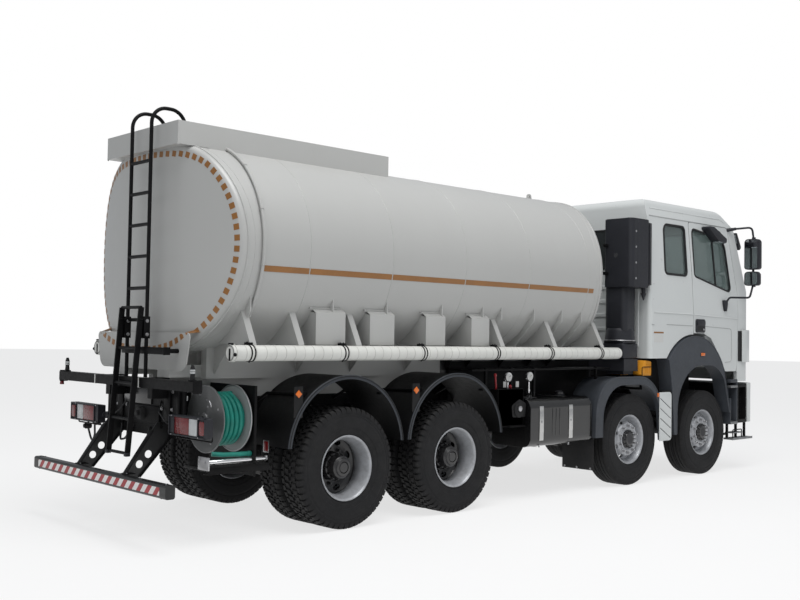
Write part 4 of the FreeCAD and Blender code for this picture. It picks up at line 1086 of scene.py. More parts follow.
class TANKER_OT_tank(bpy.types.Operator):
    """Finish the tank: weld seams, head rims, side stripes and the squares round its rear head"""
    bl_idname = "tanker.tank"
    bl_label = "Tank"

    def execute(self, context):
        dress(finish_of("saddles"), "tank_saddles")
        dress(finish_of("tank"), "tank", "top_box", "manhole_lid_rear", "manhole_lid_front")
        rims = [head_ring(front, 0.062, 0.009, 0.001) for front in (False, True)]
        seams = [barrel_ring(x, 0.006, -0.002) for x in SEAMS]
        bands = [head_ring(front, 0.135, 0.004, -0.001) for front in (False, True)]
        fit("tank_seams", rims + seams + bands, material=finish_of("tank"), smooth=60)
        self.stripes()
        self.squares()
        return {"FINISHED"}

    def stripes(self):
        half = size("stripe_height") / 2
        angles = tank_angle(STRIPE_Z + half), tank_angle(STRIPE_Z - half)
        stops = [STRIPE_ENDS[0], *[x for x in SEAMS if STRIPE_ENDS[0] < x < STRIPE_ENDS[1]], STRIPE_ENDS[1]]
        gap = 0.007
        strips = [barrel_sheet(a + gap, b - gap, *angles, 0.0015, 0.0016) for a, b in zip(stops, stops[1:])]
        strips += [mirrored(strip) for strip in strips]
        fit("side_stripes", strips, material=finish_of("marking"))

    def squares(self):
        half = size("marker_size") / 2
        tiles = []
        count = size("marker_count")
        for i in range(count):
            angle = round_tank((i + 0.5) / count)
            centre = tank_point(0, angle, -0.052)
            out = tank_point(0, angle, 1) - tank_point(0, angle)
            if centre.z > 3.2:
                centre.z -= 0.075 * max(0.0, 1 - (centre.y / 0.85) ** 2)
            along = Vector((0, out.z, -out.y))

            def place(u, v):
                spot = centre + out * (2 * u - 1) * half + along * (2 * v - 1) * half
                return self.behind(spot.y, spot.z)
            if place(0, 0) and place(1, 1) and place(0, 1) and place(1, 0) and place(0.5, 0.5):
                tiles.append(outward(thicken(sheet_grid(2, 2, place), 0.002)))
        fit("head_squares", tiles, material=finish_of("marking"))

    def behind(self, y, z):
        """The first surface met from behind the truck, a little lifted."""
        hits = []
        for name in ("tank", "tank_saddles"):
            found, place, normal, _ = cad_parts[name].ray_cast(Vector((-6, y, z)), Vector((1, 0, 0)))
            if found and normal.x < -0.15:
                hits.append(place + normal * 0.0012)
        return min(hits, key=lambda hit: hit.x) if hits else None


class TANKER_OT_tank_brackets(bpy.types.Operator):
    """Model the hose tubes, their straps and end caps, and the plates that carry them"""
    bl_idname = "tanker.tank_brackets"
    bl_label = "Hose tubes"

    def execute(self, context):
        y, z = -TUBE_Y, TUBE_Z
        front = TUBE_HIGH.x
        body = lathe([(TUBE_LOW.x, 0.058), (TUBE_LOW.x, 0.069), (TUBE_LOW.x + 0.004, 0.0695),
                      (front - 0.012, 0.0695), (front - 0.002, 0.066), (front, 0.058),
                      (front - 0.02, 0.050), (front - 0.03, 0.0), (front - 0.26, 0.0),
                      (front - 0.27, 0.05)], (0, y, z), "X", 40)
        joints = [ring((TUBE_LOW.x + 0.052 + 0.104 * i, y, z), (1, 0, 0), 0.0688, 0.0014, 40, 6)
                  for i in range(int((front - TUBE_LOW.x) / 0.104))]
        tubes = paint("tube", body, *joints)
        self.plates_on = self.plates() + self.webs()
        paint("tank", *self.plates_on)
        parts = tubes + self.plates_on
        side = join(parts)
        fit("hose_tubes_dressed", both_sides(side), smooth=30, stands_for=["hose_tubes"])
        straps = join(self.straps() + self.caps())
        fit("tube_straps", both_sides(straps), smooth=30)
        return {"FINISHED"}

    def plates(self):
        """Flat plates below the tank's side, each with two webs and an angle bar above."""
        parts = []
        face = -1.150
        for x, length in PLATES:
            parts.append(box((x, face - 0.004, 1.700), (x + length, face + 0.004, 1.992), 0.006))
            parts.append(outline([(face, 1.985), (face, 1.994), (-1.085, 2.040), (-1.085, 2.031)], "X", x,
                                 x + length))
            for edge in (x + 0.004, x + length - 0.010):
                parts.append(outline([(face, 1.702), (face, 1.985), (-1.02, 2.02), (-0.62, 1.702)], "X",
                                     edge, edge + 0.006))
            parts.append(barrel_sheet(x - 0.035, x + length - 0.02, tank_angle(2.045), tank_angle(2.027),
                                      0.010, 0.016, 1))
        return parts

    def webs(self):
        """Triangular brackets from the tank down to the tube."""
        parts = []
        for x in WEBS:
            parts.append(outline([(-1.205, 1.698), (-1.190, 1.725), (-1.06, 1.985), (-0.99, 1.955),
                                  (-0.70, 1.698)], "X", x, x + 0.008))
            parts.append(outline([(-1.210, 1.696), (-1.196, 1.727), (-1.058, 1.995), (-1.046, 1.985),
                                  (-1.184, 1.720), (-1.198, 1.696)], "X", x - 0.004, x + 0.062))
        return parts

    def straps(self):
        """Pairs of black straps round a tube, with their bolts and a lug to the bracket."""
        y, z = -TUBE_Y, TUBE_Z
        parts = []
        for x in STRAPS:
            for shift in (-0.024, 0.012):
                parts.append(lathe([(x + shift, 0.0700), (x + shift, 0.0745), (x + shift + 0.012, 0.0745),
                                    (x + shift + 0.012, 0.0700)], (0, y, z), "X", 40))
            parts.append(box((x - 0.030, y - 0.012, z + 0.068), (x + 0.030, y + 0.040, z + 0.092), 0.004))
            parts.append(box((x - 0.020, y + 0.055, z - 0.050), (x + 0.014, y + 0.078, z + 0.060), 0.003))
            for shift in (-0.018, 0.018):
                parts += hex_bolt((x + shift, y + 0.012, z + 0.090), (0, 0, 1), 0.007, 0.009)
            parts += hex_bolt((x, y, z - 0.074), (0, 0, -1), 0.006, 0.008)
        return paint("chassis", *parts)

    def caps(self):
        """The hinged cap on a tube's rear end, its latch and its ball."""
        y, z, x = -TUBE_Y, TUBE_Z, TUBE_LOW.x
        cap = lathe([(x, 0.0), (x + 0.040, 0.0), (x + 0.040, 0.0735), (x + 0.004, 0.0735), (x, 0.068, 0.003)],
                    (0, y, z), "X", 40)
        rib = ring((x + 0.034, y, z), (1, 0, 0), 0.074, 0.0035, 40, 8)
        paint("tube", cap, rib)
        lever = box((x - 0.002, y - 0.014, z - 0.066), (x + 0.006, y + 0.014, z + 0.040), 0.003)
        pin = rod((x + 0.01, y - 0.03, z + 0.078), (x + 0.01, y + 0.03, z + 0.078), 0.009, sides=12)
        knob = ball((x + 0.006, y - 0.074, z - 0.012), 0.016)
        paint("chassis", lever, pin, knob)
        return [cap, rib, lever, pin, knob]


class TANKER_OT_walkway(bpy.types.Operator):
    """Model the spill box's folded lips, the manholes' fittings, vents, drains and lifting lugs"""
    bl_idname = "tanker.walkway"
    bl_label = "Top of the tank"

    def execute(self, context):
        low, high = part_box("top_box")
        self.lips(low, high)
        for word in ("rear", "front"):
            self.lid(word)
        self.fittings()
        self.drain()
        return {"FINISHED"}

    def lips(self, low, high):
        """Folded top edges of the box's walls and the seams at its corners."""
        top, wide = high.z, 0.65
        edge = corners_of(low.x + 0.006, -wide + 0.006, high.x - 0.006, wide - 0.006, top - 0.006)
        rim = pipe(edge, 0.0065, 0.02, 8, closed=True)
        corners = [rod((x, y, 3.44), (x, y, top - 0.004), 0.007, sides=10)
                   for x in (low.x + 0.006, high.x - 0.006) for y in (-wide + 0.006, wide - 0.006)]
        foot = []
        for side in (1, -1):
            foot.append(rod((low.x + 0.33, side * (wide + 0.002), 3.402),
                            (high.x - 0.01, side * (wide + 0.002), 3.402), 0.006, sides=8))
        grating = [box((x, -0.42, 3.545), (x + 0.012, 0.42, 3.556)) for x in
                   [-3.16 + 0.05 * i for i in range(6)]]
        bearers = [box((-3.19, y, 3.535), (-2.88, y + 0.02, 3.546)) for y in (-0.40, 0.0, 0.38)]
        fit("box_lips", [rim, *corners, *foot], material=finish_of("tank"))
        fit("walkway_grating", grating + bearers, material=finish_of("zinc"))

    def lid(self, word):
        """A manhole lid's dome, handle and latches."""
        low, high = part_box("manhole_lid_" + word)
        x, top = (low.x + high.x) / 2, high.z - 0.02
        dome = lathe([(top, 0.0), (top, 0.232), (top + 0.007, 0.226, 0.003), (top + 0.012, 0.10),
                      (top + 0.020, 0.0)], (x, 0, 0), "Z", 64)
        rim = ring((x, 0, top - 0.004), (0, 0, 1), 0.244, 0.006, 64, 8)
        cap = lathe([(top, 0.0), (top, 0.085), (top + 0.019, 0.080, 0.006), (top + 0.0198, 0.0)],
                    (x, -0.12, 0), "Z", 32)
        paint("tank", dome, rim)
        handle = pipe([(x - 0.10, 0.10, top), (x - 0.10, 0.10, top + 0.018), (x + 0.02, 0.10, top + 0.018),
                       (x + 0.02, 0.10, top)], 0.0018, 0.008)
        latches = []
        for i in range(6):
            turn = math.radians(30 + 60 * i)
            place = Vector((x + 0.232 * math.cos(turn), 0.232 * math.sin(turn), top))
            latches += hex_bolt(place, (0, 0, 1), 0.011, 0.012)
        paint("zinc", cap, handle, *latches)
        fit("lid_fittings_" + word, [dome, rim, cap, handle, *latches], "lid_" + word)

    def fittings(self):
        """Breather vents between the manholes, and lifting lugs on the barrel."""
        parts = []
        for x, y in ((-4.10, 0.22), (-2.10, -0.22)):
            parts.append(rod((x, y, 3.50), (x, y, 3.600), 0.030))
            parts.append(lathe([(3.596, 0.0), (3.596, 0.052), (3.618, 0.050, 0.006), (3.634, 0.030, 0.006),
                                (3.636, 0.0)], (x, y, 0), "Z", 32))
        vents = paint("zinc", *parts)
        lugs = []
        x, top = 0.84, TANK_Z + TANK_TALL - 0.018
        for y in (-0.2, 0.2):
            eye = outline([(x - 0.05, top), (x + 0.05, top), (x + 0.03, top + 0.085, 0.028),
                           (x - 0.03, top + 0.085, 0.028)], "Y", y - 0.010, y + 0.010, 0.002)
            hole = rod((x, y - 0.1, top + 0.05), (x, y + 0.1, top + 0.05), 0.015, sides=16)
            lugs.append(cut_with(eye, [hole]))
            lugs.append(box((x - 0.07, y - 0.05, top - 0.002), (x + 0.07, y + 0.05, top + 0.014), 0.004))
        paint("tank", *lugs)
        fit("tank_vents", vents + lugs)

    def drain(self):
        """A white drain pipe from the box down the tank's right side, with its clips."""
        path = [Vector((DRAIN_X, -0.60, 3.43))]
        path += [tank_point(DRAIN_X, angle, 0.020) for angle in range(22, 142, 5)]
        path.append(Vector((DRAIN_X, -0.86, 1.56)))
        line = bar_along(path, 0.015, 10)
        clips = []
        for angle in (42, 71, 100, 129):
            centre = tank_point(DRAIN_X, angle, 0.020)
            ahead = tank_point(DRAIN_X, angle + 1, 0.020) - centre
            clips.append(ring(centre, ahead, 0.017, 0.004, 20, 6))
            foot = tank_point(DRAIN_X + 0.03, angle, 0.004)
            clips += hex_bolt(foot, foot - tank_point(DRAIN_X + 0.03, angle, -0.1), 0.007, 0.008)
        paint("tank", line, *clips)
        fit("box_drain", [line, *clips])


# ---------------------------------------------------------------- rear end
BEAM_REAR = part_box("rear_crossbeam")[0].x
BEAM_TOP = 1.390
BEAM_UNDER = 1.305
UNDERRUN_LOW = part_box("underrun_bar")[0]
REEL = middle("hose_reel")
REEL_LOW, REEL_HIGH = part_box("hose_reel")
REEL_RADIUS = (REEL_HIGH.z - REEL_LOW.z) / 2
COIL_LOW, COIL_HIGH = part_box("reel_hose")


def slab(points, y, thick, width):
    """A flat bar that follows two points of an XZ plane, centred on y."""
    start, end = Vector(points[0]), Vector(points[1])
    across = (end - start).normalized().orthogonal() * thick / 2
    corners = [start + across, end + across, end - across, start - across]
    return outline(corners, "Y", y - width / 2, y + width / 2, 0.002)


def cable(points, radius=0.008):
    return paint("cable", pipe(points, radius, 0.05))


class TANKER_OT_rear_frame(bpy.types.Operator):
    """Finish the crossbeam, rear panel, struts and underrun bar with their bolts, flanges and bands"""
    bl_idname = "tanker.rear_frame"
    bl_label = "Rear frame"

    def execute(self, context):
        dress(finish_of("chassis"), "rear_crossbeam", "rear_ladder", "reel_bracket", "chassis_frame")
        dress(finish_of("stripes"), "underrun_bar")
        self.beam()
        self.panel()
        self.underrun()
        self.ladder()
        self.cables()
        return {"FINISHED"}

    def beam(self):
        """End plates, white joint bands and a thin seam along the beam's rear face."""
        back, front = BEAM_REAR - 0.0005, BEAM_REAR + 0.0905
        bands = [box((back - 0.002, y, BEAM_UNDER - 0.002), (front, y + 0.014, BEAM_TOP + 0.002), 0.001)
                 for y in (-0.352, 0.083, 0.470)]
        paint("white_tape", *bands)
        parts = []
        for side in (1, -1):
            y = side * 1.236
            parts.append(box((back + 0.004, y - 0.006, BEAM_UNDER - 0.014),
                             (front - 0.004, y + 0.003, BEAM_TOP + 0.012), 0.002))
            parts.append(box((back + 0.020, side * 1.160 - 0.03, BEAM_TOP),
                             (front - 0.02, side * 1.160 + 0.03, BEAM_TOP + 0.012), 0.003))
            for shift in (-0.02, 0.02):
                parts += hex_bolt((BEAM_REAR + 0.045, side * 1.160 + shift, BEAM_TOP + 0.012), (0, 0, 1),
                                  0.006, 0.007)
        seam = [box((back - 0.001, -1.23, BEAM_TOP - 0.012), (back + 0.002, 1.23, BEAM_TOP - 0.008))]
        paint("chassis", *parts, *seam)
        fit("beam_trim", bands + parts + seam)

    def panel(self):
        """Bolts, stiffeners and grey cover plates on the rear panel."""
        face = -4.366
        parts = []
        for y, z in [(-0.167 - 0.084 * i, 1.266) for i in range(5)] + [(-0.319 - 0.088 * i, 1.108)
                                                                       for i in range(3)]:
            for side in (1, -1):
                parts += paint("zinc", *hex_bolt((face, side * y, z), (-1, 0, 0), 0.012, 0.011))
        for side in (1, -1):
            parts += paint("chassis",
                           box((face - 0.016, side * 0.43 - 0.05, 0.93),
                               (face + 0.002, side * 0.43 + 0.05, 1.30), 0.004),
                           box((face - 0.022, side * 0.62 - 0.02, 1.00),
                               (face + 0.002, side * 0.62 + 0.02, 1.30), 0.003))
        cover = paint("fuel", box((face - 0.012, -0.145, 1.135), (face + 0.002, 0.36, 1.298), 0.004))
        lower = paint("chassis", box((face - 0.020, -0.30, 0.955), (face + 0.002, 0.30, 1.125), 0.010))
        boss = paint("cast",
                     rod((face - 0.062, 0, 1.05), (face, 0, 1.05), 0.055, 0.07, sides=28, bevel=0.004),
                     rod((face - 0.085, 0, 1.05), (face, 0, 1.05), 0.026, sides=20, bevel=0.003))
        fit("rear_panel_fittings", parts + [cover, lower, *boss])

    def underrun(self):
        """The collars and bolts at the bar's ends, and the struts' folded edges."""
        low = UNDERRUN_LOW
        parts = []
        for side in (1, -1):
            collar = box((low.x + 0.012, side * 1.150 - 0.004, UNDERRUN_Z - 0.060),
                         (low.x + 0.078, side * 1.150 + 0.004, UNDERRUN_Z + 0.060), 0.002)
            bolt = hex_bolt((low.x + 0.045, side * 1.18, 0.5655), (0, 0, 1), 0.008, 0.006)
            parts.append(paint("plastic", collar))
            parts += paint("zinc", *bolt)
        for y in (0.437, -0.437):
            edges = [slab([(-4.528, 0.930), (-4.797, 0.548)], y, 0.008, 0.062),
                     slab([(-4.310, 0.903), (-4.645, 0.533)], y, 0.008, 0.062)]
            for x, z in ((-4.558, 0.725), (-4.642, 0.643)):
                edges.append(ring((x, y, z), (0, 1, 0), 0.038, 0.0045, 32, 8))
            for x, z in ((-4.36, 0.95), (-4.44, 0.955), (-4.36, 0.99), (-4.44, 0.985)):
                edges += hex_bolt((x, y + math.copysign(0.006, y), z), (0, math.copysign(1, y), 0), 0.010,
                                  0.010)
            parts += paint("chassis", *edges)
            parts.append(paint("chassis", box((-4.792, y - 0.05, 0.566), (-4.70, y + 0.05, 0.574), 0.002)))
            for shift in (-0.03, 0.03):
                parts += paint("zinc", *hex_bolt((-4.775, y + shift, 0.572), (0, 0, 1), 0.008, 0.008))
        fit("underrun_trim", parts)

    def ladder(self):
        """Hinge bolts on their cheeks, rubber feet and the flat cross bar."""
        parts = []
        bar = box((-4.590, -0.710, 1.600), (-4.565, 0.035, 1.660), 0.003)
        flange = box((-4.590, -0.710, 1.654), (-4.530, 0.035, 1.660), 0.002)
        end = box((-4.594, -0.718, 1.596), (-4.528, -0.702, 1.664), 0.003)
        parts += paint("chassis", bar, flange, end)
        for y in (0.016, -0.330):
            cheeks = [box((-4.585, y - 0.028, 1.735), (-4.525, y - 0.022, 1.93), 0.002),
                      box((-4.585, y + 0.022, 1.735), (-4.525, y + 0.028, 1.93), 0.002)]
            parts += paint("chassis", *cheeks)
            for z in (1.77, 1.89):
                parts += paint("zinc", *hex_bolt((-4.555, y - 0.028, z), (0, -1, 0), 0.011, 0.012),
                               *hex_bolt((-4.555, y + 0.028, z), (0, 1, 0), 0.011, 0.012))
            parts.append(paint("plastic", box((-4.728, y - 0.022, 0.703), (-4.682, y + 0.022, 0.735), 0.006)))
        fit("ladder_fittings", parts)

    def cables(self):
        """Brake and lamp lines under the panel, with round couplings on the left."""
        parts = [cable([(-4.36, 0.30, 1.18), (-4.42, 0.36, 1.06), (-4.43, 0.52, 0.98), (-4.44, 0.60, 1.00)],
                       0.007),
                 cable([(-4.36, -0.30, 1.18), (-4.42, -0.36, 1.08), (-4.43, -0.52, 0.99),
                        (-4.44, -0.60, 1.00)], 0.007),
                 cable([(-4.37, 0.18, 0.93), (-4.43, 0.22, 0.80), (-4.42, 0.34, 0.78), (-4.37, 0.40, 0.93)],
                       0.010),
                 cable([(-4.37, -0.12, 0.93), (-4.42, -0.16, 0.84), (-4.42, -0.26, 0.84),
                        (-4.37, -0.32, 0.93)], 0.009),
                 cable([(-4.40, 0.90, 0.92), (-4.38, 0.93, 0.78), (-4.37, 0.99, 0.70), (-4.36, 1.06, 0.74),
                        (-4.37, 1.10, 0.84)], 0.010)]
        for y, z in ((1.10, 0.85), (0.90, 0.90)):
            parts += paint("cast", rod((-4.40, y, z), (-4.34, y, z), 0.030, sides=24, bevel=0.004),
                           rod((-4.415, y, z), (-4.39, y, z), 0.022, sides=24, bevel=0.003),
                           box((-4.375, y - 0.010, z), (-4.36, y + 0.010, 0.99), 0.003))
        parts.append(paint("chassis", box((-4.385, 0.84, 0.985), (-4.355, 1.14, 1.000), 0.003)))
        fit("rear_cables", parts)


class TANKER_OT_rear_lamps(bpy.types.Operator):
    """Model the tail lamps with their lens panels, the marker lamps and the small reflectors"""
    bl_idname = "tanker.rear_lamps"
    bl_label = "Lamps"

    def execute(self, context):
        tail = self.tail_lamp()
        marker = self.marker()
        head = self.head_lamp()
        droop = self.drooping()
        pieces = both_sides(tail) + both_sides(marker) + both_sides(head) + [droop, self.reflector()]
        fit("lamps_dressed", pieces, stands_for=["lamps"])
        return {"FINISHED"}

    def tail_lamp(self):
        """The right lamp: a black housing round a dark, a red, a clear and an outer red panel."""
        back, front, inner, outer = -4.495, -4.410, -0.650, -1.235
        body = box((back + 0.014, outer, 0.912), (front, inner, 1.084), 0.012, 3)
        frame_bars = [box((back, outer, 0.912), (back + 0.03, inner, 0.926), 0.004),
                      box((back, outer, 1.070), (back + 0.03, inner, 1.084), 0.004)]
        frame_bars += [box((back, y, 0.912), (back + 0.03, y + wide, 1.084), 0.004) for y,
                       wide in ((outer, 0.014), (inner - 0.014, 0.014), (-1.126, 0.012), (-0.745, 0.012))]
        arm = box((-4.44, -0.680, 0.960), (-4.365, -0.560, 1.020), 0.006)
        paint("plastic", body, arm, *frame_bars)
        red = box((back + 0.006, -0.975, 0.928), (back + 0.02, -0.747, 1.068), 0.004)
        clear = box((back + 0.006, -1.102, 0.928), (back + 0.02, -0.977, 1.068), 0.004)
        dark = box((back + 0.010, -0.733, 0.928), (back + 0.02, -0.666, 1.068), 0.004)
        round_red = outline(corners_of(-1.220, 0.940, -1.140, 1.056, 0.02),
                            "X", back + 0.002, back + 0.02, 0.004)
        paint("red_lens", red, round_red)
        paint("clear_lens", clear)
        paint("plastic", dark)
        plug = paint("plastic",
                     rod((-4.43, -0.62, 0.99), (-4.43, -0.645, 0.99), 0.028, sides=20, bevel=0.003))
        screws = [part for y in (-0.70, -1.13) for z in (0.919, 1.077)
                  for part in hex_bolt((back, y, z), (-1, 0, 0), 0.004, 0.0004)]
        paint("zinc", *screws)
        guard = paint("chassis",
                      pipe([(-4.41, -0.665, 0.93), (-4.41, -0.665, 0.885), (-4.41, -1.22, 0.885),
                            (-4.41, -1.22, 0.93)], 0.007, 0.02))
        return join([body, arm, *frame_bars, red, clear, dark, round_red, plug, *screws, guard])

    def marker(self):
        """The right marker: a rubber foot, a clear and red lens, and a cap."""
        x, y = -4.575, -1.160
        foot = paint("seal", rod((x, y, 1.390), (x, y, 1.450), 0.024, 0.018, 20, 0.002))
        neck = paint("clear_lens", rod((x, y, 1.450), (x, y, 1.492), 0.021, sides=24, bevel=0.003))
        bands = [paint("plastic", ring((x, y, z), (0, 0, 1), 0.0205, 0.0025, 24, 8))
                 for z in (1.452, 1.471, 1.491)]
        cap = paint("seal", rod((x, y, 1.492), (x, y, 1.525), 0.021, 0.012, 20, 0.004))
        return join([foot, neck, *bands, cap])

    def drooping(self):
        """A side marker on a rubber arm that droops from the beam's left end."""
        arm = paint("seal",
                    pipe([(-4.575, 1.238, 1.345), (-4.575, 1.262, 1.33), (-4.575, 1.270, 1.29)], 0.012, 0.02))
        lamp = rod((-4.575, 1.270, 1.292), (-4.575, 1.272, 1.258), 0.018, 0.022, 20, 0.003)
        paint("red_lens", lamp)
        return join([arm, lamp])

    def reflector(self):
        """A small red and white marker beside the reel's rear flange."""
        stem = box((-4.300, -0.615, 1.180), (-4.285, -0.595, 1.235), 0.002)
        red = paint("red_lens", box((-4.312, -0.612, 1.190), (-4.292, -0.580, 1.235), 0.004))
        white = paint("clear_lens", box((-4.312, -0.636, 1.190), (-4.292, -0.613, 1.235), 0.004))
        paint("chassis", stem)
        return join([stem, red, white])

    def head_lamp(self):
        """The right head lamp: a clear cover over a reflector bowl, an indicator and a dark surround."""
        low, high = Vector((4.646, -1.130, 0.900)), Vector((4.686, -0.700, 1.100))
        shell = box((low.x - 0.002, low.y, low.z), (high.x - 0.010, high.y, high.z), 0.010, 3)
        paint("plastic", shell)
        glass = paint("clear_lens",
                      box((high.x - 0.014, -1.02, low.z + 0.012), (high.x, high.y - 0.012, high.z - 0.012),
                          0.008, 3))
        turn = paint("amber_lens",
                     box((high.x - 0.014, low.y + 0.012, low.z + 0.012),
                         (high.x - 0.001, -1.03, high.z - 0.012), 0.008, 3))
        rims = [paint("chrome", ring((high.x - 0.001, y, 1.0), (1, 0, 0), radius, 0.003, 36, 8))
                for y, radius in ((-0.945, 0.062), (-0.795, 0.070))]
        return join([shell, glass, turn, *rims])


class TANKER_OT_hose_reel(bpy.types.Operator):
    """Model the reel's rolled flanges and bolts, the wound hose, the chrome guide and its channel"""
    bl_idname = "tanker.hose_reel"
    bl_label = "Hose reel"

    def execute(self, context):
        dress(finish_of("reel"), "hose_reel")
        self.flanges()
        self.coil()
        self.guide()
        return {"FINISHED"}

    def flanges(self):
        y, z = REEL.y, REEL.z
        rims = [ring((x, y, z), (1, 0, 0), REEL_RADIUS - 0.0065, 0.0065, 96, 8)
                for x in (REEL_LOW.x + 0.006, REEL_HIGH.x - 0.006)]
        paint("zinc", *rims)
        parts = rims
        back = REEL_LOW.x
        # two circles of four bolts each, by their radius and first angle
        for reach, first in ((0.115, 20), (0.225, 65)):
            for turn in range(first, 360, 90):
                place = Vector((back + 0.0005, y + reach * math.cos(math.radians(turn)),
                                z + reach * math.sin(math.radians(turn))))
                parts += paint("zinc", *hex_bolt(place, (-1, 0, 0), 0.008, 0.007))
        slot = pipe([(back - 0.003, y - 0.02, z + 0.17), (back - 0.003, y - 0.07, z + 0.16),
                     (back - 0.003, y - 0.10, z + 0.11)], 0.006, 0.02)
        parts.append(paint("zinc", slot))
        hub = rod((back - 0.022, y, z), (back + 0.002, y, z), 0.052, 0.060, 32, 0.004)
        parts.append(paint("reel", hub))
        fit("reel_trim", parts, "hose_reel")

    def coil(self):
        """Layers of hose wound between the flanges."""
        radius = size("hose_radius")
        y, z = REEL.y, REEL.z
        start, end = COIL_LOW.x + radius + 0.001, COIL_HIGH.x - radius - 0.001
        turns = int((end - start) / (2.02 * radius))
        outer = (COIL_HIGH.z - COIL_LOW.z) / 2 - radius
        core = paint("hose", rod((COIL_LOW.x, y, z), (COIL_HIGH.x, y, z), outer - radius * 1.1, sides=64))
        track = []
        turn_steps = 56
        steps = turns * turn_steps
        for step in range(steps + 1):
            angle = 2 * math.pi * step / turn_steps + math.pi / 2
            share = step / steps
            reach = outer + 0.002 * math.sin(share * 40)
            track.append(Vector((start + (end - start) * share, y + reach * math.cos(angle),
                                 z + reach * math.sin(angle))))
        wound = paint("hose", bar_along(track, radius, 14))
        under = paint("hose",
                      bar_along([Vector((p.x, y + (p.y - y) * 0.80, z + (p.z - z) * 0.80)) for p in track],
                                radius, 8))
        fit("wound_hose", [core, wound, under], "hose_reel", smooth=60,
            stands_for=["reel_hose"])

    def guide(self):
        """The chrome roller with its brackets, the channel below it and the hose's end on top."""
        y, z = -1.120, 0.705
        roller = paint("chrome", rod((-4.385, y, z), (-3.80, y, z), 0.0215, sides=32, bevel=0.003))
        collar = [paint("zinc", rod((x, y, z), (x + 0.012, y, z), 0.027, sides=28, bevel=0.002))
                  for x in (-4.392, -3.80)]
        ears = [box((-4.410, y - 0.045, 0.640), (-4.392, y + 0.115, 0.752), 0.005),
                box((-3.790, y - 0.035, 0.640), (-3.776, y + 0.045, 0.745), 0.004)]
        paint("zinc", ears[0])
        paint("chassis", ears[1])
        channel = [box((-4.405, y - 0.040, 0.604), (-3.78, y - 0.032, 0.668), 0.002),
                   box((-4.405, y - 0.040, 0.604), (-3.78, y + 0.040, 0.611), 0.002),
                   box((-4.405, y - 0.044, 0.660), (-3.78, y - 0.020, 0.668), 0.002),
                   box((-4.300, y + 0.030, 0.604), (-4.270, -0.60, 0.634), 0.003)]
        paint("chassis", *channel)
        bolts = paint("zinc", *hex_bolt((-4.410, y, z), (-1, 0, 0), 0.012, 0.010),
                      *hex_bolt((-4.410, y + 0.08, z + 0.02), (-1, 0, 0), 0.008, 0.008))
        radius = size("hose_radius")
        tail = paint("hose",
                     pipe([(-4.30, -1.045, 0.765), (-4.20, -1.075, 0.756), (-4.05, -1.088, 0.752),
                           (-3.935, -1.090, 0.752)], radius, 0.06, 14))
        ferrule = paint("hose",
                        rod((-3.965, -1.090, 0.752), (-3.905, -1.090, 0.752), radius + 0.003, sides=24,
                            bevel=0.003))
        fit("reel_guide", [roller, *collar, *ears, *channel, *bolts, tail, ferrule])
        panel = box((-3.925, -1.150, 0.872), (-3.918, -0.45, 0.884), 0.002)
        lips = [panel, box((-3.945, -1.152, 0.56), (-3.918, -1.146, 1.34), 0.002)]
        paint("chassis", *lips)
        tag_at = Vector((-3.672, -0.955, 0.785))
        frame_bars = [box((tag_at.x - 0.004, tag_at.y - 0.042, tag_at.z - 0.055),
                          (tag_at.x, tag_at.y + 0.042, tag_at.z + 0.055), 0.002)]
        paint("zinc", *frame_bars)
        blank = paint("red_paint",
                      box((tag_at.x - 0.0055, tag_at.y - 0.030, tag_at.z - 0.043),
                          (tag_at.x - 0.003, tag_at.y + 0.030, tag_at.z + 0.043), 0.001))
        fit("reel_panel_trim", lips + frame_bars + [blank])


# ---------------------------------------------------------------- chassis, mudguards and boxes
GUARD_HALF = 1.250
GUARD_Z = 0.726
FUEL_SPAN = (-0.290, 0.830)
FUEL_STRAPS = (-0.095, 0.435)
FUEL_CORNERS = ((-1.200, 0.580, 0.090), (-0.640, 0.580, 0.060), (-0.640, 1.120, 0.060),
                (-1.200, 1.120, 0.110))


def moved_corners(corners, grow):
    """A box's rounded section, grown outwards by a distance."""
    mid_y = sum(corner[0] for corner in corners) / len(corners)
    mid_z = sum(corner[1] for corner in corners) / len(corners)
    return [(y + math.copysign(grow, y - mid_y), z + math.copysign(grow, z - mid_z), radius + grow)
            for y, z, radius in corners]


def band_round(corners, low, high, thick):
    """A strap round a box's section between two levels of X."""
    outer = outline(moved_corners(corners, thick), "X", low, high, 0.0, 8)
    inner = outline(moved_corners(corners, -0.004), "X", low - 0.01, high + 0.01, 0.0, 8)
    return cut_with(outer, [inner])


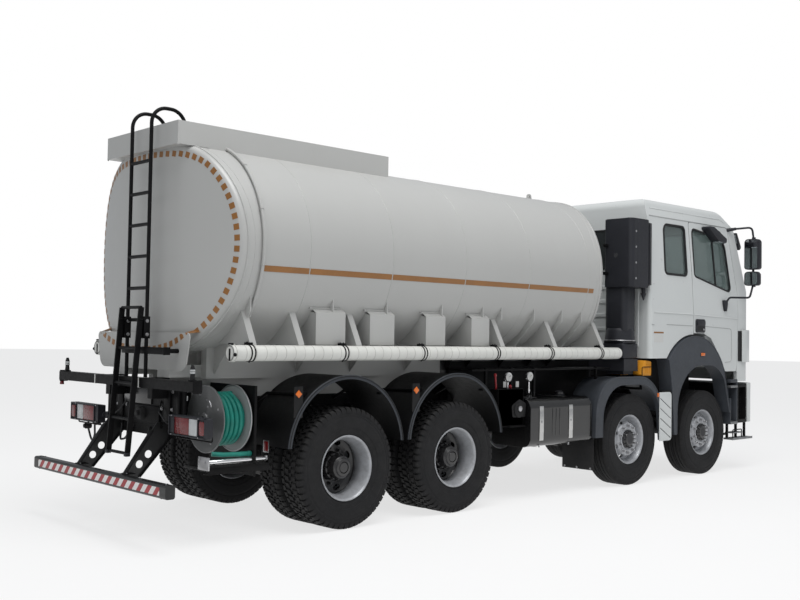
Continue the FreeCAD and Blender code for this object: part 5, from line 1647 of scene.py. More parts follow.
class TANKER_OT_mudguards(bpy.types.Operator):
    """Finish the mudguards with rolled lips, stays, bolts, reflectors and flaps"""
    bl_idname = "tanker.mudguards"
    bl_label = "Mudguards"

    def execute(self, context):
        dress(finish_of("guard"), "mudguards")
        parts = []
        for number in REAR_AXLES:
            parts += self.rear_arch(middle("rims_%d_right" % number).x)
        parts += self.middle_arch(middle("rim_2_right").x)
        parts += self.cab_arch()
        fit("guard_lips", both_sides(join(parts)), smooth=40)
        return {"FINISHED"}

    def lip(self, corners, y, wire=0.011):
        """A rolled edge along an open outline of (x, z, radius) corners."""
        track = [Vector((point.x, y, point.y)) for point in rounded(corners, 10)]
        return bar_along(track, wire, 10)

    def rear_arch(self, x):
        """A half ring's rolled lip and folded edge, its stays and the reflector behind it."""
        def arc(radius):
            reach = math.acos((0.784 - GUARD_Z) / radius)
            turns = [reach * (step / 24 - 1) for step in range(49)]
            return [(x + radius * math.sin(turn), GUARD_Z + radius * math.cos(turn)) for turn in turns]
        parts = [bar_along([Vector((spot[0], -GUARD_HALF + 0.012, spot[1])) for spot in arc(0.688)],
                           0.011, 10),
                 outline(arc(0.690) + arc(0.660)[::-1], "Y", -GUARD_HALF + 0.004, -GUARD_HALF + 0.010)]
        paint("lip", *parts)
        stays = []
        for shift in (-0.47, 0.47):
            z = 1.256
            stays.append(pipe([(x + shift, -0.44, 1.16), (x + shift, -0.60, z - 0.02), (x + shift, -1.16, z)],
                              0.016, 0.05, 10))
            stays.append(box((x + shift - 0.03, -1.17, z - 0.03), (x + shift + 0.03, -1.12, z + 0.022),
                             0.004))
            for y in (-0.70, -1.14):
                stays += hex_bolt((x + shift, y, z + 0.016), (0, 0, 1), 0.010, 0.009)
        paint("chassis", *stays)
        marker = box((-0.026, -0.006, -0.026), (0.026, 0.006, 0.026), 0.004)
        turned_by(marker, Matrix.Rotation(math.radians(45), 4, "Y"))
        place = Vector((x - 0.590, -GUARD_HALF + 0.0105, 1.262))
        marker.data.transform(Matrix.Translation(place))
        paint("amber_lens", marker)
        plate = paint("guard",
                      box((place.x - 0.05, place.y + 0.002, 1.05), (place.x + 0.05, place.y + 0.006, 1.33),
                          0.002))
        return parts + stays + [marker, plate]

    def middle_arch(self, x):
        """The lip's ridge and the rubber flap behind the wheel."""
        y = -1.2355
        corners = [(x - 0.786, 0.63), (x - 0.757, 1.331, 0.446), (x + 0.575, 1.331, 0.476), (x + 0.632, 0.53)]
        ridge = self.lip(corners, y, 0.0095)
        inner = [(x - 0.648, 0.63), (x - 0.628, 1.243, 0.408), (x + 0.534, 1.243, 0.436), (x + 0.620, 0.53)]
        groove = self.lip(inner, y, 0.006)
        flap = box((x - 0.752, -1.18, 0.235), (x - 0.742, -0.72, 0.70), 0.004)
        fold = box((x - 0.757, -1.182, 0.60), (x - 0.737, -0.70, 0.66), 0.004)
        paint("guard", ridge, groove)
        paint("seal", flap)
        paint("chassis", fold)
        bolts = []
        for y_at in (-1.14, -0.94, -0.76):
            for z in (0.255, 0.63):
                bolts += hex_bolt((x - 0.757 if z > 0.5 else x - 0.752, y_at, z), (-1, 0, 0), 0.009, 0.007)
        paint("zinc", *bolts)
        return [ridge, groove, flap, fold, *bolts]

    def cab_arch(self):
        """The ridge of the arch under the cab and its orange repeater lamp."""
        y = -1.2475
        corners = [(2.550, 0.58), (2.490, 1.185), (2.424, 1.541), (2.663, 1.849, 0.79),
                   (3.556, 1.849, 0.79), (3.781, 1.408), (3.956, 0.815)]
        inner = [(2.609, 0.58), (2.617, 1.468, 0.60), (3.638, 1.468, 0.48), (3.796, 1.264), (3.936, 0.815)]
        edges = [self.lip(corners, y, 0.0075), self.lip(inner, y, 0.0065)]
        paint("guard", *edges)
        lens = paint("amber_lens", box((3.180, -1.2600, 1.590), (3.280, -1.236, 1.632), 0.008, 3))
        rim = paint("plastic", box((3.170, -1.2550, 1.580), (3.290, -1.240, 1.642), 0.007, 3))
        screws = [part for x, z in ((2.575, 1.20), (2.66, 1.60), (2.95, 1.72), (3.72, 1.45))
                  for part in hex_bolt((x, -1.2475, z), (0, -1, 0), 0.007, 0.002)]
        paint("zinc", *screws)
        house = outline([(2.50, 1.00), (3.86, 1.00), (3.86, 1.36), (3.34, 1.82), (2.50, 1.82)], "Y", -0.660,
                        -0.652)
        paint("chassis", house)
        return edges + [lens, rim, house] + screws


class TANKER_OT_side_boxes(bpy.types.Operator):
    """Model the fuel tank's straps, cap and end seams, the silencer, the grooved panels and the chocks"""
    bl_idname = "tanker.side_boxes"
    bl_label = "Boxes on the chassis"

    def execute(self, context):
        dress(finish_of("fuel"), "fuel_tank")
        dress(finish_of("silencer"), "silencer")
        dress(finish_of("chassis"), "side_boxes")
        self.fuel()
        self.silencer()
        panels = both_sides(self.grooved_panel())
        fit("side_panels", panels)
        self.valves()
        self.chocks()
        return {"FINISHED"}

    def fuel(self):
        straps = []
        for x in FUEL_STRAPS:
            straps += paint("strap", band_round(FUEL_CORNERS, x - 0.035, x + 0.035, 0.005),
                            box((x - 0.035, -1.2085, 0.74), (x + 0.035, -1.200, 0.98), 0.002))
            straps += paint("zinc", *hex_bolt((x, -1.2085, 0.86), (0, -1, 0), 0.010, 0.008),
                            rod((x, -1.17, 0.572), (x, -1.17, 0.60), 0.009, sides=12))
            straps.append(paint("seal", band_round(FUEL_CORNERS, x - 0.044, x + 0.044, 0.002)))
        rims = [band_round(FUEL_CORNERS, x, x + 0.010, 0.005)
                for x in (FUEL_SPAN[0] + 0.004, FUEL_SPAN[1] - 0.014)]
        paint("fuel", *rims)
        ribs = [box((x, -1.2025, 0.70), (x + 0.010, -1.200, 1.00), 0.001) for x in (0.10, 0.165, 0.23)]
        paint("fuel", *ribs)
        top = 1.120
        cap = [rod((0.560, -0.930, top), (0.560, -0.930, top + 0.022), 0.064, sides=40, bevel=0.004),
               rod((0.560, -0.930, top + 0.022), (0.560, -0.930, top + 0.050), 0.052, 0.047, 28, 0.006),
               box((0.515, -0.939, top + 0.045), (0.605, -0.921, top + 0.060), 0.005)]
        paint("plastic", *cap)
        sender = paint("zinc",
                       rod((0.06, -0.90, top), (0.06, -0.90, top + 0.010), 0.042, sides=32, bevel=0.002),
                       *[part
                         for i in range(5)
                         for part in hex_bolt((0.06 + 0.033 * math.cos(i * 1.257),
                                               -0.90 + 0.033 * math.sin(i * 1.257), top + 0.010), (0, 0, 1),
                                              0.004, 0.005)])
        lines = [cable([(0.06, -0.90, top + 0.008), (0.06, -0.88, top + 0.05), (0.10, -0.60, top + 0.06),
                        (0.12, -0.44, 1.12)], 0.007),
                 cable([(0.03, -0.90, top + 0.008), (0.02, -0.88, top + 0.06), (-0.02, -0.58, top + 0.07),
                        (0.02, -0.44, 1.13)], 0.005)]
        steps = [box((-0.25 + i * 0.06, -1.12, top), (-0.225 + i * 0.06, -0.72, top + 0.004), 0.001)
                 for i in range(2)]
        paint("tread_plate", *steps)
        fit("fuel_tank_trim", straps + rims + ribs + cap + sender + lines + steps)

    def silencer(self):
        corners = corners_of(0.640, 0.560, 1.180, 1.120, 0.08)
        bands = [band_round(corners, x, x + 0.035, 0.004) for x in (-0.16, 0.28, 0.72)]
        seams = [band_round(corners, x, x + 0.012, 0.007) for x in (-0.198, 0.786)]
        shield = [box((-0.10 + i * 0.11, 1.182, 0.70), (-0.02 + i * 0.11, 1.188, 0.98), 0.003)
                  for i in range(7)]
        tail = [rod((-0.20, 0.92, 0.72), (-0.36, 0.92, 0.64), 0.055, sides=28),
                ring((-0.36, 0.92, 0.64), (-0.16, 0, -0.08), 0.052, 0.005, 28, 8)]
        feed = pipe([(0.80, 0.86, 0.95), (1.10, 0.86, 0.95), (1.10, 0.62, 1.02), (1.35, 0.50, 1.02)], 0.05,
                    0.12, 16)
        paint("silencer", *seams, *shield, *tail, feed)
        paint("zinc", *bands)
        fit("silencer_trim", bands + seams + shield + tail + [feed])

    def grooved_panel(self):
        """The right white panel behind the cab arch, with slanted grooves whose dark backs are painted shade, and a
        reflector on its edge.
        """
        face, low, high = -1.2495, 2.205, 2.478
        shell = outline([(low, 0.512, 0.012), (high, 0.512, 0.05), (high, 1.130, 0.05), (low, 1.130, 0.012)],
                        "Y", face, -1.2385, 0.003, 6)
        cutters = [slab([(low + 0.014, 0.680 + 0.125 * i), (high - 0.014, 0.540 + 0.125 * i)], face, 0.012,
                        0.012) for i in range(4)]
        shell = paint("cab", cut_with(shell, cutters))
        # painted shade: dark strips in the grooves' bottoms stand in for the shade in them
        painted_groove_shade = paint("seal",
                      *[slab([(low + 0.012, 0.681 + 0.125 * i), (high - 0.012, 0.539 + 0.125 * i)],
                             face + 0.0075, 0.016, 0.004) for i in range(4)])
        lens = paint("amber_lens",
                     box((low - 0.045, face, 1.072), (low - 0.006, face + 0.013, 1.122), 0.006, 3))
        return join([shell, *painted_groove_shade, lens])

    def valves(self):
        """The valve panel: two round gauges on stems, red levers, blank tags and a round shut-off."""
        parts = []
        back = -0.965
        board = box((-0.770, back - 0.185, 0.830), (-0.350, back - 0.175, 1.235), 0.004)
        posts = [box((x, -0.99, foot), (x + 0.03, -0.96, 1.46), 0.004)
                 for x, foot in ((-0.80, 1.00), (-0.38, 1.00), (0.02, 1.00), (1.20, 1.25))]
        rail = box((-1.02, -0.995, 1.425), (1.50, -0.480, 1.445), 0.003)
        shelf = box((-0.56, -1.14, 0.812), (-0.29, -0.80, 0.826), 0.003)
        sheets = both_sides(box((-1.00, -0.620, 1.08), (1.56, -0.612, 1.52), 0.002))
        parts += paint("chassis", *sheets)
        parts += paint("chassis", board, *posts, rail, shelf)
        for x in (-0.483, -0.121):
            y = -1.052
            case = rod((x, y + 0.035, 1.360), (x, y, 1.360), 0.050, sides=36, bevel=0.004)
            dial = rod((x, y, 1.360), (x, y - 0.003, 1.360), 0.042, sides=36)
            rim = ring((x, y, 1.360), (0, 1, 0), 0.046, 0.005, 36, 8)
            stem = rod((x, y + 0.018, 1.30), (x, y + 0.018, 1.175), 0.010, sides=14)
            nut = rod((x, y + 0.018, 1.215), (x, y + 0.018, 1.195), 0.018, sides=6)
            needle = slab([(x, 1.36), (x + 0.026, 1.375)], y - 0.0045, 0.004, 0.002)
            parts += paint("chrome", case, rim, stem, nut)
            parts += [paint("sign", dial), paint("cable", needle)]
        for x, top, foot in ((-0.700, 1.382, 1.178), (-0.449, 1.252, 1.134)):
            lever = pipe([(x, -1.03, foot), (x, -1.055, foot + 0.06), (x - 0.015, -1.055, top)], 0.011,
                         0.04, 12)
            knob = ball((x - 0.015, -1.055, top), 0.018, (1, 1, 1.2), 16)
            parts += paint("red_paint", lever, knob)
            body = rod((x, -1.06, foot - 0.01), (x, -0.96, foot - 0.01), 0.028, sides=24, bevel=0.004)
            parts.append(paint("zinc", body))
        for x in (-0.553, -0.342):
            tag = box((x - 0.026, -1.054, 1.245), (x + 0.026, -1.050, 1.310), 0.002)
            parts.append(paint("sign", tag))
        parts += paint("cast",
                       rod((-0.427, -1.165, 1.000), (-0.427, -1.12, 1.000), 0.085, sides=36, bevel=0.006),
                       outline([(-0.53, 0.92, 0.02), (-0.32, 0.92, 0.02), (-0.30, 1.07, 0.03),
                                (-0.42, 1.12, 0.03), (-0.55, 1.05, 0.03)], "Y", -1.152, -1.135, 0.004))
        parts.append(paint("zinc",
                           rod((-0.427, -1.178, 1.015), (-0.427, -1.165, 1.015), 0.030, sides=28,
                               bevel=0.003)))
        for shift, radius in ((0.0, 0.010), (0.05, 0.008), (0.10, 0.012)):
            parts.append(cable([(-0.70 + shift, -1.00, 1.16), (-0.68 + shift, -0.98, 0.98),
                                (-0.66 + shift, -0.80, 0.95), (-0.62 + shift, -0.46, 1.02)], radius))
            parts.append(cable([(-0.121 + shift, -1.03, 1.18), (-0.10 + shift, -1.00, 1.06 - shift),
                                (-0.08 + shift, -0.72, 1.13), (-0.05 + shift, -0.45, 1.14)], radius * 0.7))
        fit("valve_fittings", parts)

    def chocks(self):
        """Two yellow wheel chocks in wire holders behind the cab."""
        parts = []
        for x, y in ((1.925, -1.140), (1.845, -0.86)):
            wedge = outline([(x, 1.340, 0.02), (x + 0.235, 1.340, 0.02), (x + 0.235, 1.520, 0.02),
                             (x + 0.09, 1.535, 0.03)], "Y", y - 0.010, y + 0.120, 0.006)
            slots = [slab([(x + 0.11 + 0.04 * i, 1.37), (x + 0.12 + 0.04 * i, 1.49)], y - 0.010, 0.012, 0.012)
                     for i in range(3)]
            parts.append(paint("chock", cut_with(wedge, slots)))
            tray = box((x - 0.01, y - 0.014, 1.318), (x + 0.245, y + 0.124, 1.336), 0.003)
            leg = box((x + 0.09, y + 0.05, 1.175), (x + 0.12, y + 0.07, 1.32), 0.003)
            wire = pipe([(x + 0.02, y - 0.016, 1.33), (x + 0.02, y - 0.016, 1.45),
                         (x + 0.24, y - 0.016, 1.45), (x + 0.24, y - 0.016, 1.33)], 0.005, 0.02)
            parts += paint("chassis", tray, leg, wire)
        bridge = box((1.99, -1.10, 1.160), (2.035, -0.44, 1.190), 0.003)
        parts.append(paint("chassis", bridge))
        fit("wheel_chocks", parts)


class TANKER_OT_running_gear(bpy.types.Operator):
    """Model spring leaves and clips, axle and hub fittings, the air tanks, the engine and the wiring"""
    bl_idname = "tanker.running_gear"
    bl_label = "Running gear"

    def execute(self, context):
        dress(finish_of("cast"), "front_axles", "rear_axles", "engine_block", "propshafts")
        dress(finish_of("chassis"), "leaf_springs", "air_tanks")
        self.springs()
        self.axles()
        self.frame_rails()
        self.engine()
        return {"FINISHED"}

    def leaves(self, x, seat, half, count, step, bow, width, y):
        """A pack of curved leaves, each shorter than the one beneath."""
        leaves = []
        for i in range(count):
            reach = half * (1 - 0.11 * i)
            line = [Vector((x + reach * t, y, seat + i * step + bow * (reach * t / half) ** 2)) for t in
                    [k / 8 - 1 for k in range(17)]]
            def place(u, v, line=line):
                spot = line[min(16, int(round(v * 16)))]
                return Vector((spot.x, y - width / 2 + width * u, spot.z))
            leaves.append(outward(thicken(sheet_grid(1, 16, place), step * 0.82)))
        return leaves

    def springs(self):
        parts = []
        for number in FRONT_AXLES:
            x = middle("rim_%d_right" % number).x
            for leaf in self.leaves(x, TYRE_RADIUS + 0.094, 0.69, 4, 0.017, 0.13, 0.084, -0.520):
                parts.append(leaf)
            for shift in (-0.07, 0.07):
                parts.append(pipe([(x + shift, -0.571, TYRE_RADIUS + 0.03),
                                   (x + shift, -0.571, TYRE_RADIUS + 0.185),
                                   (x + shift, -0.469, TYRE_RADIUS + 0.185),
                                   (x + shift, -0.469, TYRE_RADIUS + 0.03)], 0.011, 0.02, 10))
            parts.append(box((x - 0.10, -0.575, TYRE_RADIUS + 0.168),
                             (x + 0.10, -0.465, TYRE_RADIUS + 0.182), 0.003))
            for end in (-0.69, 0.69):
                parts.append(rod((x + end, -0.572, TYRE_RADIUS + 0.262),
                                 (x + end, -0.468, TYRE_RADIUS + 0.262), 0.026, sides=20, bevel=0.003))
        x = (middle("rims_3_right").x + middle("rims_4_right").x) / 2
        for leaf in self.leaves(x, TYRE_RADIUS + 0.322, 0.70, 6, 0.018, -0.20, 0.094, -0.520):
            parts.append(leaf)
        for shift in (-0.11, 0.11):
            parts.append(pipe([(x + shift, -0.577, TYRE_RADIUS + 0.20),
                               (x + shift, -0.577, TYRE_RADIUS + 0.44),
                               (x + shift, -0.463, TYRE_RADIUS + 0.44),
                               (x + shift, -0.463, TYRE_RADIUS + 0.20)], 0.013, 0.02, 10))
        paint("chassis", *parts)
        damper = []
        for number in FRONT_AXLES:
            x = middle("rim_%d_right" % number).x - 0.16
            damper.append(rod((x, -0.640, 0.60), (x - 0.10, -0.640, 0.88), 0.034, sides=24, bevel=0.003))
            damper.append(rod((x - 0.10, -0.640, 0.88), (x - 0.145, -0.640, 1.00), 0.020, sides=20))
        paint("cast", *damper)
        fit("spring_leaves", both_sides(join(parts + damper)))

    def axles(self):
        """Covers with their bolts, and brake chambers on the axles."""
        parts = []
        for number in REAR_AXLES:
            x = middle("rims_%d_right" % number).x
            parts.append(lathe([(x - 0.235, 0.0), (x - 0.235, 0.08), (x - 0.19, 0.13, 0.03),
                                (x - 0.15, 0.15), (x - 0.10, 0.15), (x - 0.10, 0.0)], (0, 0, TYRE_RADIUS),
                               "X", 32))
            for i in range(10):
                turn = math.radians(36 * i)
                parts += hex_bolt((x - 0.192, 0.118 * math.cos(turn), TYRE_RADIUS + 0.118 * math.sin(turn)),
                                  (-1, 0, 0), 0.010, 0.012)
            for side in (1, -1):
                parts.append(rod((x - 0.16, side * 0.36, TYRE_RADIUS + 0.06),
                                 (x - 0.30, side * 0.36, TYRE_RADIUS + 0.10), 0.082, sides=28, bevel=0.008))
                parts.append(ring((x - 0.225, side * 0.36, TYRE_RADIUS + 0.078), (-0.14, 0, 0.04), 0.083,
                                  0.007, 28, 8))
        for number in FRONT_AXLES:
            x = middle("rim_%d_right" % number).x
            parts.append(lathe([(x - 0.235, 0.0), (x - 0.235, 0.07), (x - 0.19, 0.11, 0.03),
                                (x - 0.10, 0.13), (x - 0.10, 0.0)], (0, 0, TYRE_RADIUS), "X", 32))
        paint("cast", *parts)
        fit("axle_covers", parts)

    def frame_rails(self):
        """Bolt rows, brackets, pipes and wiring along the rails."""
        parts = []
        for side in (1, -1):
            face = side * 0.430
            for x in [-4.20 + 0.27 * i for i in range(31)]:
                for z in (0.965, 1.135):
                    parts += hex_bolt((x, face, z), (0, side, 0), 0.010, 0.010)
            for x in (-3.60, -1.30, -0.95, 1.05):
                parts.append(box((x, min(face, face + side * 0.012), 0.93),
                                 (x + 0.14, max(face, face + side * 0.012), 1.17), 0.003))
            parts.append(bar_along([(-4.2, side * 0.445, 1.050), (-1.2, side * 0.446, 1.055),
                                    (2.0, side * 0.445, 1.050)], 0.011, 8))
            parts.append(bar_along([(-4.2, side * 0.442, 1.078), (-1.2, side * 0.443, 1.082),
                                    (2.0, side * 0.442, 1.078)], 0.007, 8))
        paint("chassis", *parts)
        straps = [band for x in (-0.38, -0.08, 0.20, 0.50) for y in (-0.190, 0.190)
                  for band in [lathe([(x, 0.1100), (x, 0.1125), (x + 0.03, 0.1125), (x + 0.03, 0.1100)],
                                     (0, y, 1.050), "X", 36)]]
        paint("zinc", *straps)
        fit("rail_fittings", parts + straps)

    def engine(self):
        """The engine's cover, its manifold ribs, the gearbox's bolts and the shafts' joints."""
        parts = [box((2.62 + 0.14 * i, -0.30, 1.740), (2.72 + 0.14 * i, 0.30, 1.752), 0.006)
                 for i in range(6)]
        for i in range(6):
            parts.append(rod((2.67 + 0.14 * i, -0.335, 1.60), (2.67 + 0.14 * i, -0.375, 1.57), 0.032,
                             sides=20, bevel=0.003))
        parts.append(pipe([(2.62, -0.385, 1.56), (3.42, -0.385, 1.56)], 0.034, 0.05, 16))
        for x in (1.50, 2.10):
            for i in range(12):
                turn = math.radians(30 * i)
                parts += hex_bolt((x, 0.178 * math.cos(turn), 1.06 + 0.178 * math.sin(turn)), (-1, 0, 0),
                                  0.008, 0.010)
        paint("cast", *parts)
        joints = [lathe([(x - 0.03, 0.0), (x - 0.03, 0.075), (x + 0.03, 0.075), (x + 0.03, 0.0)], (0, 0, z),
                        "X", 28) for x,
                  z in ((-1.10, 0.64), (1.12, 0.64), (-2.55, TYRE_RADIUS + 0.02),
                        (-1.76, TYRE_RADIUS + 0.02))]
        paint("cast", *joints)
        fit("engine_fittings", parts + joints)


# ---------------------------------------------------------------- cab
CAB_HALF = 1.220
LEAN_FROM = 2.150
LEAN = 0.0571
ROOF_FROM = 3.375
ROOF_LEAN = 0.143
DOOR_WINDOW = ((3.110, 2.657, 0.06), (4.045, 2.470, 0.06), (3.915, 3.200, 0.20), (3.080, 3.300, 0.06))
QUARTER_WINDOW = ((2.400, 2.655, 0.06), (2.922, 2.650, 0.06), (2.900, 3.300, 0.06), (2.400, 3.300, 0.09))
SCREEN = ((-1.010, 2.470, 0.08), (1.010, 2.470, 0.08), (0.940, 3.340, 0.08), (-0.940, 3.340, 0.08))


def side_y(z):
    """How far out the cab's right side stands at a height."""
    return -(CAB_HALF - max(0.0, z - LEAN_FROM) * LEAN - max(0.0, z - ROOF_FROM) * ROOF_LEAN)


def on_side(x, z, lift=0.0):
    return Vector((x, side_y(z) - lift, z))


def side_bead(corners, radius, lift=0.0, closed=True):
    """A round bead on the cab's right side along an outline of (x, z[, radius]) corners."""
    return bar_along([on_side(point.x, point.y, lift) for point in rounded(corners, 6)], radius, 8, closed)


def side_panel(corners, lift, thick, bevel=0.0):
    """A flat panel on the cab's right side, leaning with it."""
    panel = outline(corners, "Y", -lift - thick, -lift, bevel)
    for vertex in panel.data.vertices:
        vertex.co.y += side_y(vertex.co.z)
    return panel


def front_x(y, z):
    """How far forward the cab's front stands, found on its own surface."""
    reach = []
    for name in ("cab_shell", "cab_glass", "grille", "cab_roof"):
        found, place, _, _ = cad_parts[name].ray_cast(Vector((6, y, z)), Vector((-1, 0, 0)))
        if found:
            reach.append(place.x)
    return max(reach) if reach else 4.6


def front_bead(corners, radius, lift=0.0):
    """A closed bead on the cab's curved front along an outline of (y, z, radius) corners."""
    points = rounded(corners, 6)
    track = []
    for i, point in enumerate(points):
        after = points[(i + 1) % len(points)]
        pieces = max(1, int((after - point).length / 0.06))
        for step in range(pieces):
            spot = point.lerp(after, step / pieces)
            track.append(Vector((front_x(spot.x, spot.y) + lift, spot.x, spot.y)))
    return bar_along(track, radius, 8, True)


def front_strip(y_from, y_to, z_low, z_high, thick, lift=0.0, across=24, rows=2):
    """A strip that lies on the cab's curved front."""
    def place(u, v):
        y, z = y_from + (y_to - y_from) * v, z_low + (z_high - z_low) * u
        return Vector((front_x(y, z) + lift, y, z))
    return outward(thicken(sheet_grid(rows, across, place), thick))


class TANKER_OT_doors(bpy.types.Operator):
    """Finish the doors: creases, window seals, divider, handle, mirror foot and the kerb mirror"""
    bl_idname = "tanker.doors"
    bl_label = "Doors"

    def execute(self, context):
        dress(finish_of("cab"), "door_left", "door_right")
        dress(finish_of("glass"), "door_glass_left", "door_glass_right")
        shine = paint("cab", side_bead([(3.062, 2.140), (4.190, 2.112)], 0.0075, 0.001, closed=False),
                      side_bead([(4.010, 3.330), (4.222, 2.432), (4.176, 1.445)], 0.0040, -0.002,
                                closed=False))
        # painted shade: the door's groove line is a bead in darkened cab paint
        shine.append(paint("crease",
                           side_bead([(3.345, 1.990), (4.030, 1.966, 0.05), (4.035, 1.513, 0.05),
                                      (3.860, 1.500)], 0.0040, 0.001, closed=False)))
        edge = [(3.048, 1.885), (3.048, 2.680), (3.006, 3.381, 0.04), (4.016, 3.381, 0.06),
                (4.228, 2.440, 0.03), (4.182, 1.430), (4.160, 1.374)]
        seal = paint("seal", side_bead(DOOR_WINDOW, 0.013, -0.004), side_bead(DOOR_WINDOW, 0.008, -0.012),
                     side_bead(edge, 0.0068, -0.009, closed=False))
        bar = paint("seal",
                    bar_along([on_side(3.655, 2.555, -0.010), on_side(3.600, 3.262, -0.010)], 0.014, 8))
        handle = self.handle()
        foot = self.mirror_foot()
        kerb = self.kerb_mirror()
        side = join(shine + seal + [bar] + handle + foot + kerb)
        left = mirrored(side)
        fit("door_trim_right", [side], "door_right")
        fit("door_trim_left", [left], "door_left")
        self.mirrors()
        return {"FINISHED"}

    def handle(self):
        """A black recessed plate with a pull bar and a lock; its recess is a darker sheet of painted shade."""
        plate = side_panel(corners_of(3.088, 1.903, 3.325, 2.082, 0.03), 0.0, 0.012, 0.004)
        # painted shade: the recess is a thin darker sheet laid on the plate
        painted_recess_shade = side_panel(corners_of(3.125, 1.925, 3.300, 1.985, 0.02), 0.012, 0.002)
        pull = side_panel(corners_of(3.110, 2.000, 3.305, 2.062, 0.015), 0.010, 0.018, 0.005)
        lock = rod((3.280, -1.232, 1.945), (3.280, -1.238, 1.945), 0.014, sides=24, bevel=0.002)
        paint("plastic", plate, pull)
        paint("seal", painted_recess_shade)
        paint("zinc", lock)
        return [plate, painted_recess_shade, pull, lock]

    def mirror_foot(self):
        """The socket where the mirrors' lower arm enters the door."""
        foot = side_panel([(3.795, 2.360, 0.015), (3.900, 2.360, 0.015), (3.895, 2.300),
                           (3.860, 2.205, 0.02), (3.822, 2.205, 0.02), (3.800, 2.300)], 0.0, 0.035, 0.006)
        paint("plastic", foot)
        return [foot]

    def kerb_mirror(self):
        """The hood above the window with a mirror on its underside."""
        hood = outline([(3.330, 3.345, 0.02), (3.450, 3.345, 0.03), (3.790, 3.205, 0.03),
                        (3.780, 3.145, 0.02), (3.570, 3.155, 0.03), (3.340, 3.305, 0.02)], "Y", -1.290,
                       -1.150, 0.016)
        glass = outline([(3.580, 3.149), (3.770, 3.139), (3.770, 3.144), (3.580, 3.154)], "Y", -1.275, -1.165)
        arm = pipe([(3.760, -1.15, 3.320), (3.760, -1.19, 3.290), (3.720, -1.21, 3.220)], 0.014, 0.03)
        paint("plastic", hood, arm)
        paint("mirror", glass)
        return [hood, glass, arm]

    def mirrors(self):
        """The two mirrors of a side on their bent arms."""
        y = -1.445
        low_y, high_y = -1.549, -1.341
        pieces = []
        for z_low, z_high, depth in ((2.797, 3.223, 0.130), (2.572, 2.768, 0.112)):
            shell = outline([(low_y, z_low, 0.035), (high_y, z_low, 0.035), (high_y, z_high, 0.05),
                             (low_y, z_high, 0.05)], "X", 4.158, 4.152 + depth, 0.030, 8)
            rim = bar_along([Vector((4.158, point.x, point.y))
                             for point in rounded([(low_y + 0.008, z_low + 0.008, 0.03),
                                                   (high_y - 0.008, z_low + 0.008, 0.03),
                                                   (high_y - 0.008, z_high - 0.008, 0.045),
                                                   (low_y + 0.008, z_high - 0.008, 0.045)], 6)], 0.008, 8,
                            closed=True)
            face = outline([(low_y + 0.014, z_low + 0.014, 0.026), (high_y - 0.014, z_low + 0.014, 0.026),
                            (high_y - 0.014, z_high - 0.014, 0.04), (low_y + 0.014, z_high - 0.014, 0.04)],
                           "X", 4.1545, 4.160)
            paint("plastic", shell, rim)
            paint("mirror", face)
            pieces += [shell, rim, face]
        arms = [pipe([(4.020, -1.135, 3.350), (4.110, -1.23, 3.372), (4.180, y, 3.385), (4.230, y, 3.200)],
                     0.014, 0.06, 12),
                pipe([(3.850, -1.215, 2.285), (3.900, -1.26, 2.400), (4.120, y, 2.400), (4.215, y, 2.590)],
                     0.014, 0.06, 12),
                rod((4.215, y, 2.76), (4.215, y, 2.81), 0.016, sides=16, bevel=0.003)]
        clamps = [rod((4.230, y, z), (4.230, y, z + 0.035), 0.026, sides=20, bevel=0.003)
                  for z in (3.215, 2.555)]
        sleeve = rod((4.020, -1.137, 3.350), (4.120, -1.235, 3.374), 0.026, 0.020, 20, 0.004)
        paint("plastic", *arms, *clamps, sleeve)
        side = join(pieces + arms + clamps + [sleeve])
        left = mirrored(side)
        fit("mirror_set_right", [side], "door_right", stands_for=["mirrors_right"])
        fit("mirror_set_left", [left], "door_left", stands_for=["mirrors_left"])


